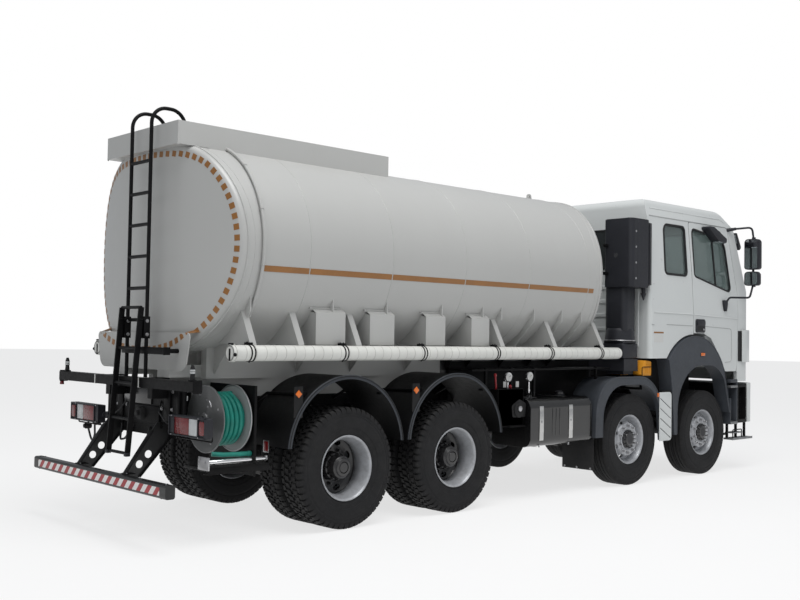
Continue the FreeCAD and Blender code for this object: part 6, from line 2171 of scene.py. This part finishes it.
class TANKER_OT_cab(bpy.types.Operator):
    """Finish the cab: seams, gutters, seals, visor, deflectors, front panel, wipers, rear wall and roof hatch"""
    bl_idname = "tanker.cab"
    bl_label = "Cab"

    def execute(self, context):
        dress(finish_of("cab"), "cab_shell", "cab_roof", "grille")
        dress(finish_of("glass"), "cab_glass")
        self.sides()
        self.front()
        self.rear_wall()
        self.roof()
        return {"FINISHED"}

    def sides(self):
        # painted shade: the side's groove lines are beads in darkened cab paint
        grooves = paint("crease", side_bead([(2.400, 1.998), (3.020, 1.990)], 0.0040, 0.001, closed=False),
                        side_bead([(2.060, 1.990), (2.110, 1.988)], 0.0040, 0.001, closed=False))
        beads = [side_bead([(2.110, 2.148), (3.025, 2.143)], 0.0075, 0.001, closed=False),
                 side_bead([(2.080, 1.568), (2.396, 1.568), (2.649, 1.882, 0.80), (3.020, 1.882)], 0.007,
                           -0.004, closed=False)]
        paint("cab", *beads)
        seals = [side_bead(QUARTER_WINDOW, 0.017, -0.004), side_bead(QUARTER_WINDOW, 0.010, -0.013)]
        gutter = side_bead([(2.080, 3.385), (3.960, 3.385)], 0.0070, 0.000, closed=False)
        paint("seal", *seals)
        # painted shade: the gutter is a bead in darkened cab paint
        grooves.append(paint("crease", gutter))
        strip = side_panel(corners_of(2.105, 1.880, 2.325, 1.900), 0.0, 0.0015)
        paint("marking", strip)
        tag = side_panel(corners_of(2.108, 1.765, 2.322, 1.866, 0.01), 0.0, 0.0012)
        paint("sign", tag)
        deflector = self.corner_deflector()
        front_mirror = self.front_mirror()
        side = join(beads + grooves + seals + [strip, tag] + deflector + front_mirror)
        fit("cab_sides", both_sides(side), "cab")

    def corner_deflector(self):
        """A white air deflector that stands off the front corner, with a dark sheet of painted shade in the gap
        behind it.
        """
        outer = [(4.285, -1.252), (4.395, -1.252, 0.20), (4.640, -1.200, 0.20), (4.662, -1.020)]
        inner = [(4.650, -1.022), (4.626, -1.192, 0.19), (4.395, -1.240, 0.19), (4.285, -1.240)]
        shell = outline(outer[:1] + [outer[1], outer[2], outer[3]] + inner, "Z", 1.500, 1.955, 0.004, 8)
        # painted shade: a dark sheet fills the gap behind the deflector
        gap = outline([(4.212, -1.228), (4.300, -1.236), (4.30, -1.215), (4.212, -1.215)], "Z", 1.515,
                      1.940, 0.003)
        paint("cab", shell)
        paint("seal", gap)
        return [shell, gap]

    def front_mirror(self):
        """The mirror that looks down the front, on an arm at the screen's corner."""
        arm = pipe([(4.080, -1.120, 3.400), (4.190, -1.125, 3.375), (4.250, -1.120, 3.310)], 0.012, 0.04, 12)
        hood = outline([(4.225, 3.325, 0.02), (4.265, 3.335, 0.02), (4.385, 3.135, 0.02),
                        (4.350, 3.085, 0.02), (4.320, 3.105, 0.02)], "Y", -1.175, -1.075, 0.014)
        face = outline([(4.220, 3.300), (4.224, 3.302), (4.322, 3.130), (4.318, 3.128)], "Y", -1.165, -1.085)
        foot = pipe([(4.335, -1.09, 3.11), (4.290, -1.07, 3.070), (4.265, -1.05, 3.080)], 0.009, 0.03)
        paint("plastic", arm, hood, foot)
        paint("mirror", face)
        return [arm, hood, face, foot]

    def front(self):
        """The windscreen's seal, wipers, front panel seams and slats."""
        seal = [front_bead(SCREEN, 0.014, -0.002)]
        paint("seal", *seal)
        seams = [front_strip(-1.02, 1.02, 2.096, 2.104, 0.003), front_strip(-0.93, 0.93, 1.300, 1.306, 0.003)]
        # painted shade: a dark sheet behind the slats stands in for the shade inside the grille's opening
        painted_mouth_shade = front_strip(-0.86, 0.86, 1.420, 1.960, 0.006, 0.0005, 30, 8)
        paint("seal", *seams, painted_mouth_shade)
        slats = []
        for i in range(6):
            z = 1.455 + 0.086 * i
            slats.append(front_strip(-0.84, 0.84, z, z + 0.050, 0.020, 0.010, 30, 1))
        surround = front_bead(corners_of(-0.88, 1.405, 0.88, 1.975, 0.05), 0.012, 0.002)
        paint("cab", *slats, surround)
        wipers = []
        for foot_y, tip_y in ((-0.62, -0.05), (0.08, 0.62)):
            foot = Vector((front_x(foot_y, 2.400) + 0.02, foot_y, 2.400))
            tip = Vector((front_x(tip_y, 2.640) + 0.028, tip_y, 2.640))
            wipers += [pipe([foot, foot.lerp(tip, 0.5) + Vector((0.015, 0, 0.01)), tip], 0.008, 0.04),
                       rod(foot - Vector((0.03, 0, 0)), foot + Vector((0.012, 0, 0)), 0.022, sides=20,
                           bevel=0.003)]
            along = [Vector((front_x(tip_y + d, 2.64 + d * 0.42) + 0.012, tip_y + d, 2.64 + d * 0.42))
                     for d in [-0.30 + 0.06 * k for k in range(11)]]
            wipers += [bar_along(along, 0.006, 6),
                       bar_along([p + Vector((0.010, 0, 0)) for p in along], 0.004, 6)]
        paint("plastic", *wipers)
        fit("cab_front", seal + seams + [painted_mouth_shade, surround] + slats + wipers, "cab")

    def rear_wall(self):
        """Pressed ribs, two rear windows with seals, and grab rails on the cab's back."""
        x = 2.025
        parts = []
        for y in (-0.52, 0.52):
            low, high = y - 0.33, y + 0.33
            glass = outline(corners_of(low, 2.72, high, 3.22, 0.06), "X", x - 0.003, x + 0.004)
            rim = bar_along([Vector((x - 0.003, p.x, p.y)) for p in
                             rounded(corners_of(low, 2.72, high, 3.22, 0.06), 6)], 0.014, 8,
                            closed=True)
            parts += [paint("dark_glass", glass), paint("seal", rim)]
        ribs = []
        for z in (1.72, 1.90, 2.08, 2.26, 2.44):
            ribs.append(box((x - 0.012, -0.86, z), (x + 0.004, 0.86, z + 0.055), 0.010, 3))
        for y in (-1.02, 1.00):
            ribs.append(box((x - 0.012, y - 0.03, 1.70), (x + 0.004, y + 0.03, 3.25), 0.010, 3))
        paint("cab", *ribs)
        rails = []
        for y in (-0.95, 0.95):
            rails += [pipe([(x + 0.005, y, 2.55), (x - 0.05, y, 2.55), (x - 0.05, y, 3.10),
                            (x + 0.005, y, 3.10)], 0.012, 0.03, 10)]
        paint("plastic", *rails)
        fit("cab_back", parts + ribs + rails, "cab")

    def roof(self):
        """The crease round the roof, its hatch, the marker lamps and the visor."""
        def top_z(x, y):
            found, place, _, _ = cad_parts["cab_roof"].ray_cast(Vector((x, y, 5)), Vector((0, 0, -1)))
            return place.z if found else 3.60
        crease = side_bead([(2.120, 3.487), (3.850, 3.487), (3.960, 3.450)], 0.009, -0.003, closed=False)
        crease_left = mirrored(crease)
        hatch = outline(corners_of(2.75, -0.32, 3.35, 0.32, 0.06), "Z", 3.600,
                        top_z(3.05, 0) + 0.010, 0.008)
        ribs = [box((2.82, y, 3.62), (3.28, y + 0.03, top_z(3.05, 0) + 0.016), 0.006)
                for y in (-0.20, -0.08, 0.05, 0.17)]
        shine = paint("cab", crease, crease_left, hatch, *ribs)
        markers = []
        for y in (-0.86, 0.86):
            z = top_z(3.66, y)
            markers += [paint("amber_lens",
                              outline([(3.62, z - 0.02), (3.74, z - 0.02), (3.71, z + 0.022, 0.01),
                                       (3.65, z + 0.022, 0.01)], "Y", y - 0.03, y + 0.03, 0.006))]
        visor = []
        for side in (1, -1):
            track = [(3.930, side * 1.045, 3.560), (4.090, side * 1.060, 3.440), (4.215, side * 1.050, 3.290)]
            visor.append(pipe(track, 0.022, 0.08, 10))
        def sheet_place(u, v):
            y = -1.03 + 2.06 * v
            x = 4.000 + 0.215 * u
            z = 3.575 - 0.205 * u - 0.02 * (1 - u) * (y / 1.03) ** 2
            return Vector((x + 0.055 * (1 - (y / 1.03) ** 2), y, z))
        visor.append(outward(thicken(sheet_grid(6, 24, sheet_place), 0.008)))
        paint("plastic", *visor)
        fit("cab_roof_fittings", shine + markers + visor, "cab")


class TANKER_OT_bumper(bpy.types.Operator):
    """Model the bumper's white skin and black inner frame, the entry steps and the low step plates"""
    bl_idname = "tanker.bumper"
    bl_label = "Bumper and steps"

    def execute(self, context):
        skin = []
        out = [(4.452, -1.2395), (4.600, -1.2395, 0.13), (4.6445, -1.10, 0.20), (4.6445, 1.10, 0.20),
               (4.600, 1.2395, 0.13), (4.452, 1.2395)]
        back = [(4.452, 1.215), (4.580, 1.215, 0.15), (4.610, 1.06, 0.22), (4.610, -1.06, 0.22),
                (4.580, -1.215, 0.15), (4.452, -1.215)]
        shell = outline(out + back, "Z", 0.656, 1.207, 0.016, 8)
        lamp_holes = [box((4.55, y - 0.222, 0.893), (4.75, y + 0.222, 1.107)) for y in (-0.915, 0.915)]
        vents = [box((4.55, -0.50, z), (4.75, 0.50, z + 0.045), 0.01) for z in (0.76, 0.835)]
        skin.append(paint("cab", cut_with(shell, lamp_holes + vents)))
        plate = paint("sign", box((4.640, -0.26, 1.000), (4.650, 0.26, 1.115), 0.003))
        plate_rim = paint("plastic", box((4.638, -0.275, 0.985), (4.646, 0.275, 1.130), 0.005))
        step_mat = paint("tread_plate", box((4.30, -1.10, 1.192), (4.600, 1.10, 1.203), 0.003))
        black = [box((4.420, -1.10, 0.66), (4.560, 1.10, 1.195), 0.010),
                 box((4.54, -0.69, 0.404), (4.850, 0.69, 0.436), 0.008),
                 box((4.50, -0.60, 0.43), (4.56, 0.60, 0.66), 0.005),
                 box((4.251, 0.350, 1.00), (4.42, 0.430, 1.12), 0.004),
                 box((4.251, -0.430, 1.00), (4.42, -0.350, 1.12), 0.004)]
        towing = [rod((4.60, y, 0.72), (4.66, y, 0.72), 0.030, sides=24, bevel=0.004) for y in (-0.55, 0.55)]
        paint("chassis", *black)
        paint("cast", *towing)
        side = join(self.entry())
        parts = skin + [plate, plate_rim, step_mat] + black + towing + both_sides(side)
        fit("bumper_dressed", parts, stands_for=["bumper"])
        return {"FINISHED"}

    def entry(self):
        """The right entry: a black bracket frame, two grey treads, and the low plate on its posts."""
        parts = []
        frame_bars = [box((4.180, -1.232, 0.650), (4.445, -1.12, 1.198), 0.012, 3)]
        pocket = box((4.215, -1.30, 0.700), (4.412, -1.150, 1.150), 0.01)
        inner = cut_with(frame_bars[0], [pocket])
        ribs = [box((4.215, -1.16, z), (4.412, -1.145, z + 0.012), 0.002) for z in (0.80, 0.92, 1.04)]
        screws = [part
                  for z in (0.70, 0.86, 1.0, 1.15)
                  for part in hex_bolt((4.432, -1.232, z), (0, -1, 0), 0.007, 0.006)]
        paint("chassis", inner, *ribs)
        paint("zinc", *screws)
        housing = [box((3.990, -1.120, 0.660), (4.185, -1.105, 1.262), 0.004),
                   box((3.990, -1.236, 1.215), (4.185, -1.10, 1.262), 0.012),
                   box((4.160, -1.236, 0.640), (4.185, -1.10, 1.262), 0.008),
                   box((3.990, -1.236, 0.640), (4.010, -1.10, 1.00), 0.006)]
        paint("guard", *housing)
        treads = [box((3.995, -1.239, 0.640), (4.186, -1.10, 0.678), 0.006),
                  box((3.995, -1.239, 1.145), (4.186, -1.10, 1.180), 0.006)]
        plate = box((4.040, -1.240, 0.420), (4.600, -1.100, 0.445), 0.006)
        edge = box((4.040, -1.2405, 0.417), (4.600, -1.232, 0.449), 0.003)
        second = box((4.060, -1.236, 0.510), (4.330, -1.110, 0.526), 0.005)
        paint("tread_plate", *treads, plate, edge, second)
        posts = [box((x, -1.150, 0.440), (x + 0.030, -1.118, 0.665), 0.004) for x in (4.060, 4.300, 4.540)]
        braces = [pipe([(4.075, -1.225, 0.45), (4.075, -1.225, 0.56), (4.315, -1.225, 0.56),
                        (4.315, -1.225, 0.45)], 0.008, 0.02)]
        paint("chassis", *posts, *braces)
        parts += [inner, *ribs, *screws, *housing, *treads, plate, edge, second, *posts, *braces]
        return parts


class TANKER_OT_air_intake(bpy.types.Operator):
    """Finish the air intake: side ribs, the mesh at its edge, the drain cone and the duct's clamps"""
    bl_idname = "tanker.air_intake"
    bl_label = "Air intake"

    def execute(self, context):
        dress(finish_of("plastic"), "air_intake")
        low, high = Vector((1.565, -1.250, 2.450)), Vector((1.990, -0.840, 3.300))
        front, radius, flat = 2.022, 0.045, 0.025
        edge = box((1.930, low.y + 0.004, low.z + 0.02), (front - 0.005, high.y, high.z - 0.02), 0.042, 5)

        def place(u, v):
            """The mesh runs along the side, round the front corner and across the front."""
            z = low.z + 0.035 + (high.z - low.z - 0.07) * u
            run = v * 0.25 - flat
            turn = min(max(run / radius, 0.0), math.pi / 2)
            spot = Vector((front - radius + min(run, 0.0),
                           low.y + radius + max(0.0, run - radius * math.pi / 2)))
            spot += Vector((math.sin(turn), -math.cos(turn))) * (radius + 0.0012)
            return Vector((spot.x, spot.y, z))
        mesh = outward(thicken(sheet_grid(20, 30, place), 0.002))
        paint("mesh", mesh)
        screws = [part
                  for z in (2.555, 2.75, 2.945, 3.14)
                  for part in hex_bolt((1.655, low.y, z), (0, -1, 0), 0.010, 0.002)]
        paint("zinc", *screws)
        ribs = [box((1.690, low.y - 0.001, 2.480), (1.697, low.y + 0.003, 3.270), 0.001)]
        hole = rod((low.x - 0.001, -1.011, 2.847), (low.x + 0.004, -1.011, 2.847), 0.030, sides=28)
        paint("mesh", hole)
        caps = [outline([(low.x + 0.006, low.y + 0.006, 0.06), (high.x - 0.006, low.y + 0.006, 0.085),
                         (high.x - 0.006, high.y - 0.006, 0.03), (low.x + 0.006, high.y - 0.006, 0.03)],
                        "Z", z, z + 0.012, 0.005) for z in (low.z - 0.006, high.z - 0.006)]
        cone = rod((1.925, -1.180, 2.455), (1.925, -1.180, 2.375), 0.032, 0.024, 20, 0.003)
        tip = rod((1.925, -1.180, 2.380), (1.925, -1.180, 2.290), 0.038, 0.006, 20, 0.003)
        paint("plastic", edge, *ribs, *caps, cone, tip)
        sleeve = outline(corners_of(1.590, -1.135, 1.850, -0.815, 0.07), "Z", 1.90, 2.47, 0.004, 10)
        flare = lathe([(1.775, 0.0), (1.775, 0.185, 0.006), (1.800, 0.188), (1.905, 0.172, 0.02),
                       (1.935, 0.160), (1.935, 0.0)], (1.720, -0.975, 0), "Z", 40)
        neck = [box((1.560, -1.135, 1.560), (1.880, -0.815, 1.745), 0.020, 3),
                box((1.575, -1.120, 1.745), (1.865, -0.83, 1.78), 0.012, 3)]
        paint("plastic", sleeve, flare, *neck)
        clamps = [ring((1.720, -0.975, z), (0, 0, 1), 0.187, 0.007, 40, 8) for z in (1.783,)]
        clamps.append(rod((1.70, -1.166, 1.783), (1.76, -1.166, 1.783), 0.009, sides=12))
        paint("zinc", *clamps)
        stays = [box((1.50, -0.90, 2.60 + 0.35 * i), (1.57, -0.86, 2.64 + 0.35 * i), 0.003) for i in range(2)]
        paint("chassis", *stays)
        fit("intake_trim",
            [mesh, edge, *screws, *ribs, hole, *caps, cone, tip, sleeve, flare, *neck, *clamps, *stays])
        return {"FINISHED"}


# ---------------------------------------------------------------- inside the cab
SEAT_Y = 0.640


class TANKER_OT_seats(bpy.types.Operator):
    """Model the two seats as crowned cushions with sewn channels on their plinths"""
    bl_idname = "tanker.seats"
    bl_label = "Seats"

    def cushion(self, low, high, crown, panels, face):
        """A crowned pad whose sides pull in between its corners, with sewn channels across its face."""
        low, high = Vector(low), Vector(high)
        centre, half = (low + high) / 2, (high - low) / 2
        deselect()
        bpy.ops.mesh.primitive_cube_add(size=2)
        pad = bpy.context.object
        bpy.ops.object.mode_set(mode="EDIT")
        bpy.ops.mesh.select_all(action="SELECT")
        bpy.ops.mesh.subdivide(number_cuts=23)
        bpy.ops.object.mode_set(mode="OBJECT")
        for vertex in pad.data.vertices:
            spot = vertex.co.copy()
            sphere = spot.copy()
            for i in range(3):
                a, b = (i + 1) % 3, (i + 2) % 3
                sphere[i] = spot[i] * math.sqrt(max(0.0, 1 - spot[a] ** 2 / 2 - spot[b] ** 2 / 2
                                                    + spot[a] ** 2 * spot[b] ** 2 / 3))
            spot = spot.lerp(sphere, 0.22)
            rise = (1 - spot.y ** 2) * (1 - (spot.z if face == "X" else spot.x) ** 2)
            along = spot.z if face == "X" else spot.x
            groove = sum(math.exp(-((along - panel) / 0.035) ** 2)
                         for panel in panels) * 0.10 * (1 - abs(spot.y) ** 6)
            wing = 0.16 * abs(spot.y) ** 4 * (1 - along ** 2)
            if face == "X" and spot.x > 0:
                spot.x += crown * rise - groove + wing
            if face == "Z" and spot.z > 0:
                spot.z += crown * rise - groove + wing
            pull = 0.03 * (1 - along ** 2)
            spot.y *= 1 - pull
            vertex.co = Vector((spot.x * half.x, spot.y * half.y, spot.z * half.z))
        modify(pad, "SUBSURF", levels=1, render_levels=1)
        pad.data.transform(Matrix.Translation(centre))
        return pad

    def execute(self, context):
        pads, frames = [], []
        lean = Matrix.Rotation(math.radians(-9), 4, "Y")
        for word, side in SIDES:
            y = side * SEAT_Y
            seat = self.cushion((2.800, y - 0.245, 2.235), (3.300, y + 0.245, 2.365), 0.22, (-0.35, 0.35),
                                "Z")
            back = self.cushion((2.690, y - 0.235, 2.370), (2.815, y + 0.235, 2.860), 0.25,
                                (-0.45, 0.1, 0.6), "X")
            head = self.cushion((2.655, y - 0.130, 2.870), (2.745, y + 0.130, 3.025), 0.20, (), "X")
            for pad in (back, head):
                pivot = Vector((2.75, y, 2.36))
                pad.data.transform(Matrix.Translation(pivot) @ lean @ Matrix.Translation(-pivot))
            piping = [pipe(corners_of(2.825, y - 0.225, 3.275, y + 0.225, 2.335),
                           0.005, 0.04, 6, closed=True)]
            paint("seal", *piping)
            paint("seat", seat, back, head)
            pads.append(join([seat, back, head, *piping], "seat_pads_" + word))
            plinth = [outline([(2.80, 1.962, 0.02), (3.16, 1.962, 0.02), (3.22, 2.235, 0.03),
                               (2.78, 2.235, 0.03)], "Y", y - 0.20, y + 0.20, 0.012),
                      box((2.79, y - 0.235, 2.200), (3.24, y + 0.235, 2.240), 0.012, 3)]
            bellows = [box((2.83, y - 0.18, 2.02 + 0.045 * i), (3.15, y + 0.18, 2.045 + 0.045 * i), 0.010)
                       for i in range(4)]
            posts = [rod((2.655, y + d, 2.82), (2.640, y + d, 2.93), 0.006, sides=10) for d in (-0.05, 0.05)]
            lever = rod((3.10, y - 0.24, 2.21), (3.10, y - 0.275, 2.20), 0.010, sides=12, bevel=0.002)
            paint("plastic", *plinth, *bellows, lever)
            paint("chrome", *posts)
            frames += plinth + bellows + posts + [lever]
        fit("seat_frames", frames, "cab", stands_for=["seats"])
        for pad in pads:
            fit(pad.name, [pad], "cab", smooth=60)
            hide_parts("seats")
        return {"FINISHED"}


class TANKER_OT_dashboard(bpy.types.Operator):
    """Finish the dashboard: cluster, vents, blank switches, steering wheel rim and pedals"""
    bl_idname = "tanker.dashboard"
    bl_label = "Dashboard"

    def execute(self, context):
        dress(finish_of("plastic"), "dashboard")
        parts = []
        hood = outline([(4.050, 2.400, 0.02), (4.240, 2.420, 0.02), (4.270, 2.480, 0.03),
                        (4.110, 2.490, 0.03)], "Y", 0.40, 0.88, 0.012)
        screen = outline([(4.058, 2.26), (4.064, 2.26), (4.112, 2.39), (4.106, 2.39)], "Y", 0.46, 0.82)
        radio = box((4.062, -0.20, 2.20), (4.085, 0.12, 2.29), 0.005)
        paint("plastic", hood)
        paint("seal", screen, radio)
        parts += [hood, screen, radio]
        for y in (-0.75, -0.35, 0.25, 0.93):
            ring_piece = rod((4.070, y, 2.33), (4.105, y, 2.34), 0.045, sides=28, bevel=0.003)
            vanes = [box((4.062, y - 0.036, 2.31 + 0.016 * i), (4.072, y + 0.036, 2.314 + 0.016 * i))
                     for i in range(4)]
            parts += paint("plastic", ring_piece, *vanes)
        for i in range(8):
            parts.append(paint("seal",
                               box((4.058, -0.19 + 0.042 * i, 2.13), (4.075, -0.155 + 0.042 * i, 2.17),
                                   0.004)))
        tilt = Matrix.Rotation(math.atan2(-0.75, 0.66), 4, "Y")
        centre = Vector((3.900, SEAT_Y, 2.370))
        rim = ring((0, 0, 0), (0, 0, 1), 0.225, 0.0175, 64, 12)
        pad = lathe([(0.0, 0.0), (0.0, 0.075, 0.01), (0.028, 0.060, 0.012), (0.034, 0.0)], (0, 0, -0.01),
                    "Z", 40)
        spokes = [pipe([(0.05 * math.cos(a), 0.05 * math.sin(a), 0),
                        (0.22 * math.cos(a), 0.22 * math.sin(a), 0)], 0.014, 0.02, 8)
                  for a in (math.radians(90), math.radians(-90), math.radians(180))]
        wheel = join(paint("seal", rim, pad, *spokes))
        wheel.data.transform(Matrix.Translation(centre) @ tilt)
        parts.append(wheel)
        stalks = [pipe([(3.97, SEAT_Y + 0.04 * s, 2.32), (3.95, SEAT_Y + 0.16 * s, 2.35)], 0.008, 0.02)
                  for s in (1, -1)]
        pedals = [box((4.06, SEAT_Y + d, 1.60), (4.075, SEAT_Y + d + 0.07, 1.72), 0.006)
                  for d in (-0.20, -0.05, 0.10)]
        arms = [pipe([(4.10, SEAT_Y + d + 0.035, 1.66), (4.16, SEAT_Y + d + 0.035, 1.80),
                      (4.18, SEAT_Y + d + 0.035, 1.98)], 0.009, 0.03) for d in (-0.20, -0.05, 0.10)]
        tunnel = outline([(3.35, 1.965), (3.90, 1.50, 0.05), (4.06, 1.50), (4.06, 1.56), (3.92, 1.58, 0.05),
                          (3.40, 2.02)], "Y", -0.28, 0.28, 0.01)
        gear = [rod((3.30, 0.25, 2.00), (3.34, 0.26, 2.36), 0.010, sides=12),
                ball((3.345, 0.262, 2.38), 0.030, (1, 1, 1.15), 20),
                rod((3.30, 0.25, 1.99), (3.31, 0.252, 2.08), 0.055, 0.020, 24, 0.004)]
        paint("plastic", *stalks, *pedals, *arms, tunnel, *gear)
        parts += stalks + pedals + arms + [tunnel] + gear
        fit("dashboard_fittings", parts, "cab")
        return {"FINISHED"}


# ---------------------------------------------------------------- stage
EYE = Vector((-9.0875, -8.4853, 1.7954))
HEADING = 0.81988
TILT = 0.034958
ROLL = 0.016359
LENS = 45.95


def point_camera():
    """The camera behind the truck's right rear corner, at eye height."""
    deselect()
    bpy.ops.object.camera_add(location=EYE)
    camera = bpy.context.object
    ahead = Vector((math.cos(HEADING) * math.cos(TILT), math.sin(HEADING) * math.cos(TILT), math.sin(TILT)))
    level = Vector((math.sin(HEADING), -math.cos(HEADING), 0))
    above = level.cross(ahead)
    right = level * math.cos(ROLL) + above * math.sin(ROLL)
    above = above * math.cos(ROLL) - level * math.sin(ROLL)
    turn = Matrix((right, above, -ahead)).transposed()
    camera.rotation_euler = turn.to_euler()
    camera.data.lens = LENS
    camera.data.sensor_width = 36.0
    camera.data.clip_end = 400.0
    bpy.context.scene.camera = camera


def lay_floor():
    """A pale floor that keeps the truck's shadow."""
    deselect()
    bpy.ops.mesh.primitive_circle_add(vertices=96, radius=90.0, fill_type="NGON", location=(0, 0, -0.0015))
    floor = settle()
    floor.name = "floor"
    finish = Finish("floor_paint", (0.86, 0.86, 0.86, 1.0), 0.9)
    finish.mottle(0.6, 0.01, 0.03)
    nodes, links = finish.tree.nodes, finish.tree.links
    glow = nodes.new("ShaderNodeEmission")
    glow.inputs["Strength"].default_value = 1.0
    rays = nodes.new("ShaderNodeLightPath")
    seen = finish.maths("MAXIMUM", rays.outputs["Is Camera Ray"],
                        finish.maths("MAXIMUM", rays.outputs["Is Glossy Ray"],
                                     rays.outputs["Is Transmission Ray"]))
    share = finish.maths("MULTIPLY", seen, 0.72)
    blend = nodes.new("ShaderNodeMixShader")
    links.new(share, blend.inputs[0])
    links.new(finish.surface.outputs[0], blend.inputs[1])
    links.new(glow.outputs[0], blend.inputs[2])
    links.new(blend.outputs[0], nodes["Material Output"].inputs[0])
    coat(finish.material, floor)


def add_area(name, place, target, width, power):
    """A soft rectangular lamp aimed at a point."""
    deselect()
    bpy.ops.object.light_add(type="AREA", location=place)
    lamp = bpy.context.object
    lamp.name = name
    lamp.data.shape = "DISK"
    lamp.data.size = width
    lamp.data.energy = power
    lamp.rotation_euler = (Vector(target) - Vector(place)).to_track_quat("-Z", "Y").to_euler()
    return lamp


def light_world():
    """An even grey sky for light, seen as white by the camera and through glass."""
    world = bpy.data.worlds.new("studio_sky")
    bpy.context.scene.world = world
    world.use_nodes = True
    nodes, links = world.node_tree.nodes, world.node_tree.links
    sky = nodes["Background"]
    sky.inputs["Color"].default_value = (0.93, 0.96, 1.0, 1.0)
    sky.inputs["Strength"].default_value = 0.46
    white = nodes.new("ShaderNodeBackground")
    white.inputs["Color"].default_value = (1.0, 1.0, 1.0, 1.0)
    white.inputs["Strength"].default_value = 1.0
    rays = nodes.new("ShaderNodeLightPath")
    seen = nodes.new("ShaderNodeMath")
    seen.operation = "MAXIMUM"
    links.new(rays.outputs["Is Camera Ray"], seen.inputs[0])
    links.new(rays.outputs["Is Transmission Ray"], seen.inputs[1])
    blend = nodes.new("ShaderNodeMixShader")
    links.new(seen.outputs[0], blend.inputs[0])
    links.new(sky.outputs[0], blend.inputs[1])
    links.new(white.outputs[0], blend.inputs[2])
    links.new(blend.outputs[0], nodes["World Output"].inputs[0])


class TANKER_OT_stage(bpy.types.Operator):
    """Set the camera, floor, sky and soft lamps"""
    bl_idname = "tanker.stage"
    bl_label = "Stage"

    def execute(self, context):
        context.scene.view_settings.view_transform = "Standard"
        point_camera()
        lay_floor()
        light_world()
        add_area("lamp_above", (-3.0, -5.0, 13.0), (0, 0, 1.5), 9.0, 1150)
        add_area("lamp_behind", (-13.0, -4.0, 7.0), (-1.0, 0, 2.0), 6.0, 90)
        return {"FINISHED"}


# ---------------------------------------------------------------- add-on
OPERATORS = [item for item in bpy.types.Operator.__subclasses__() if item.__name__.startswith("TANKER_OT_")]


class TANKER_PT_pieces(bpy.types.Panel):
    """The truck's sizes, colours and pieces"""
    bl_idname = "TANKER_PT_pieces"
    bl_label = "Tanker Truck"
    bl_space_type = "VIEW_3D"
    bl_region_type = "UI"
    bl_category = "Tanker"

    def draw(self, context):
        for settings in (context.scene.truck_sizes, context.scene.truck_colours):
            for name in settings.__annotations__:
                self.layout.prop(settings, name)
        for item in OPERATORS:
            self.layout.operator(item.bl_idname)


CLASSES = [TruckSizes, TruckColours, *OPERATORS, TANKER_PT_pieces]


def register():
    for item in CLASSES:
        bpy.utils.register_class(item)
    bpy.types.Scene.truck_sizes = bpy.props.PointerProperty(type=TruckSizes)
    bpy.types.Scene.truck_colours = bpy.props.PointerProperty(type=TruckColours)


def unregister():
    del bpy.types.Scene.truck_colours
    del bpy.types.Scene.truck_sizes
    for item in reversed(CLASSES):
        bpy.utils.unregister_class(item)


def main():
    """Make the truck piece by piece."""
    register()
    for item in OPERATORS:
        group, name = item.bl_idname.split(".")
        getattr(getattr(bpy.ops, group), name)()
    deselect()


if __name__ == "__main__":
    main()
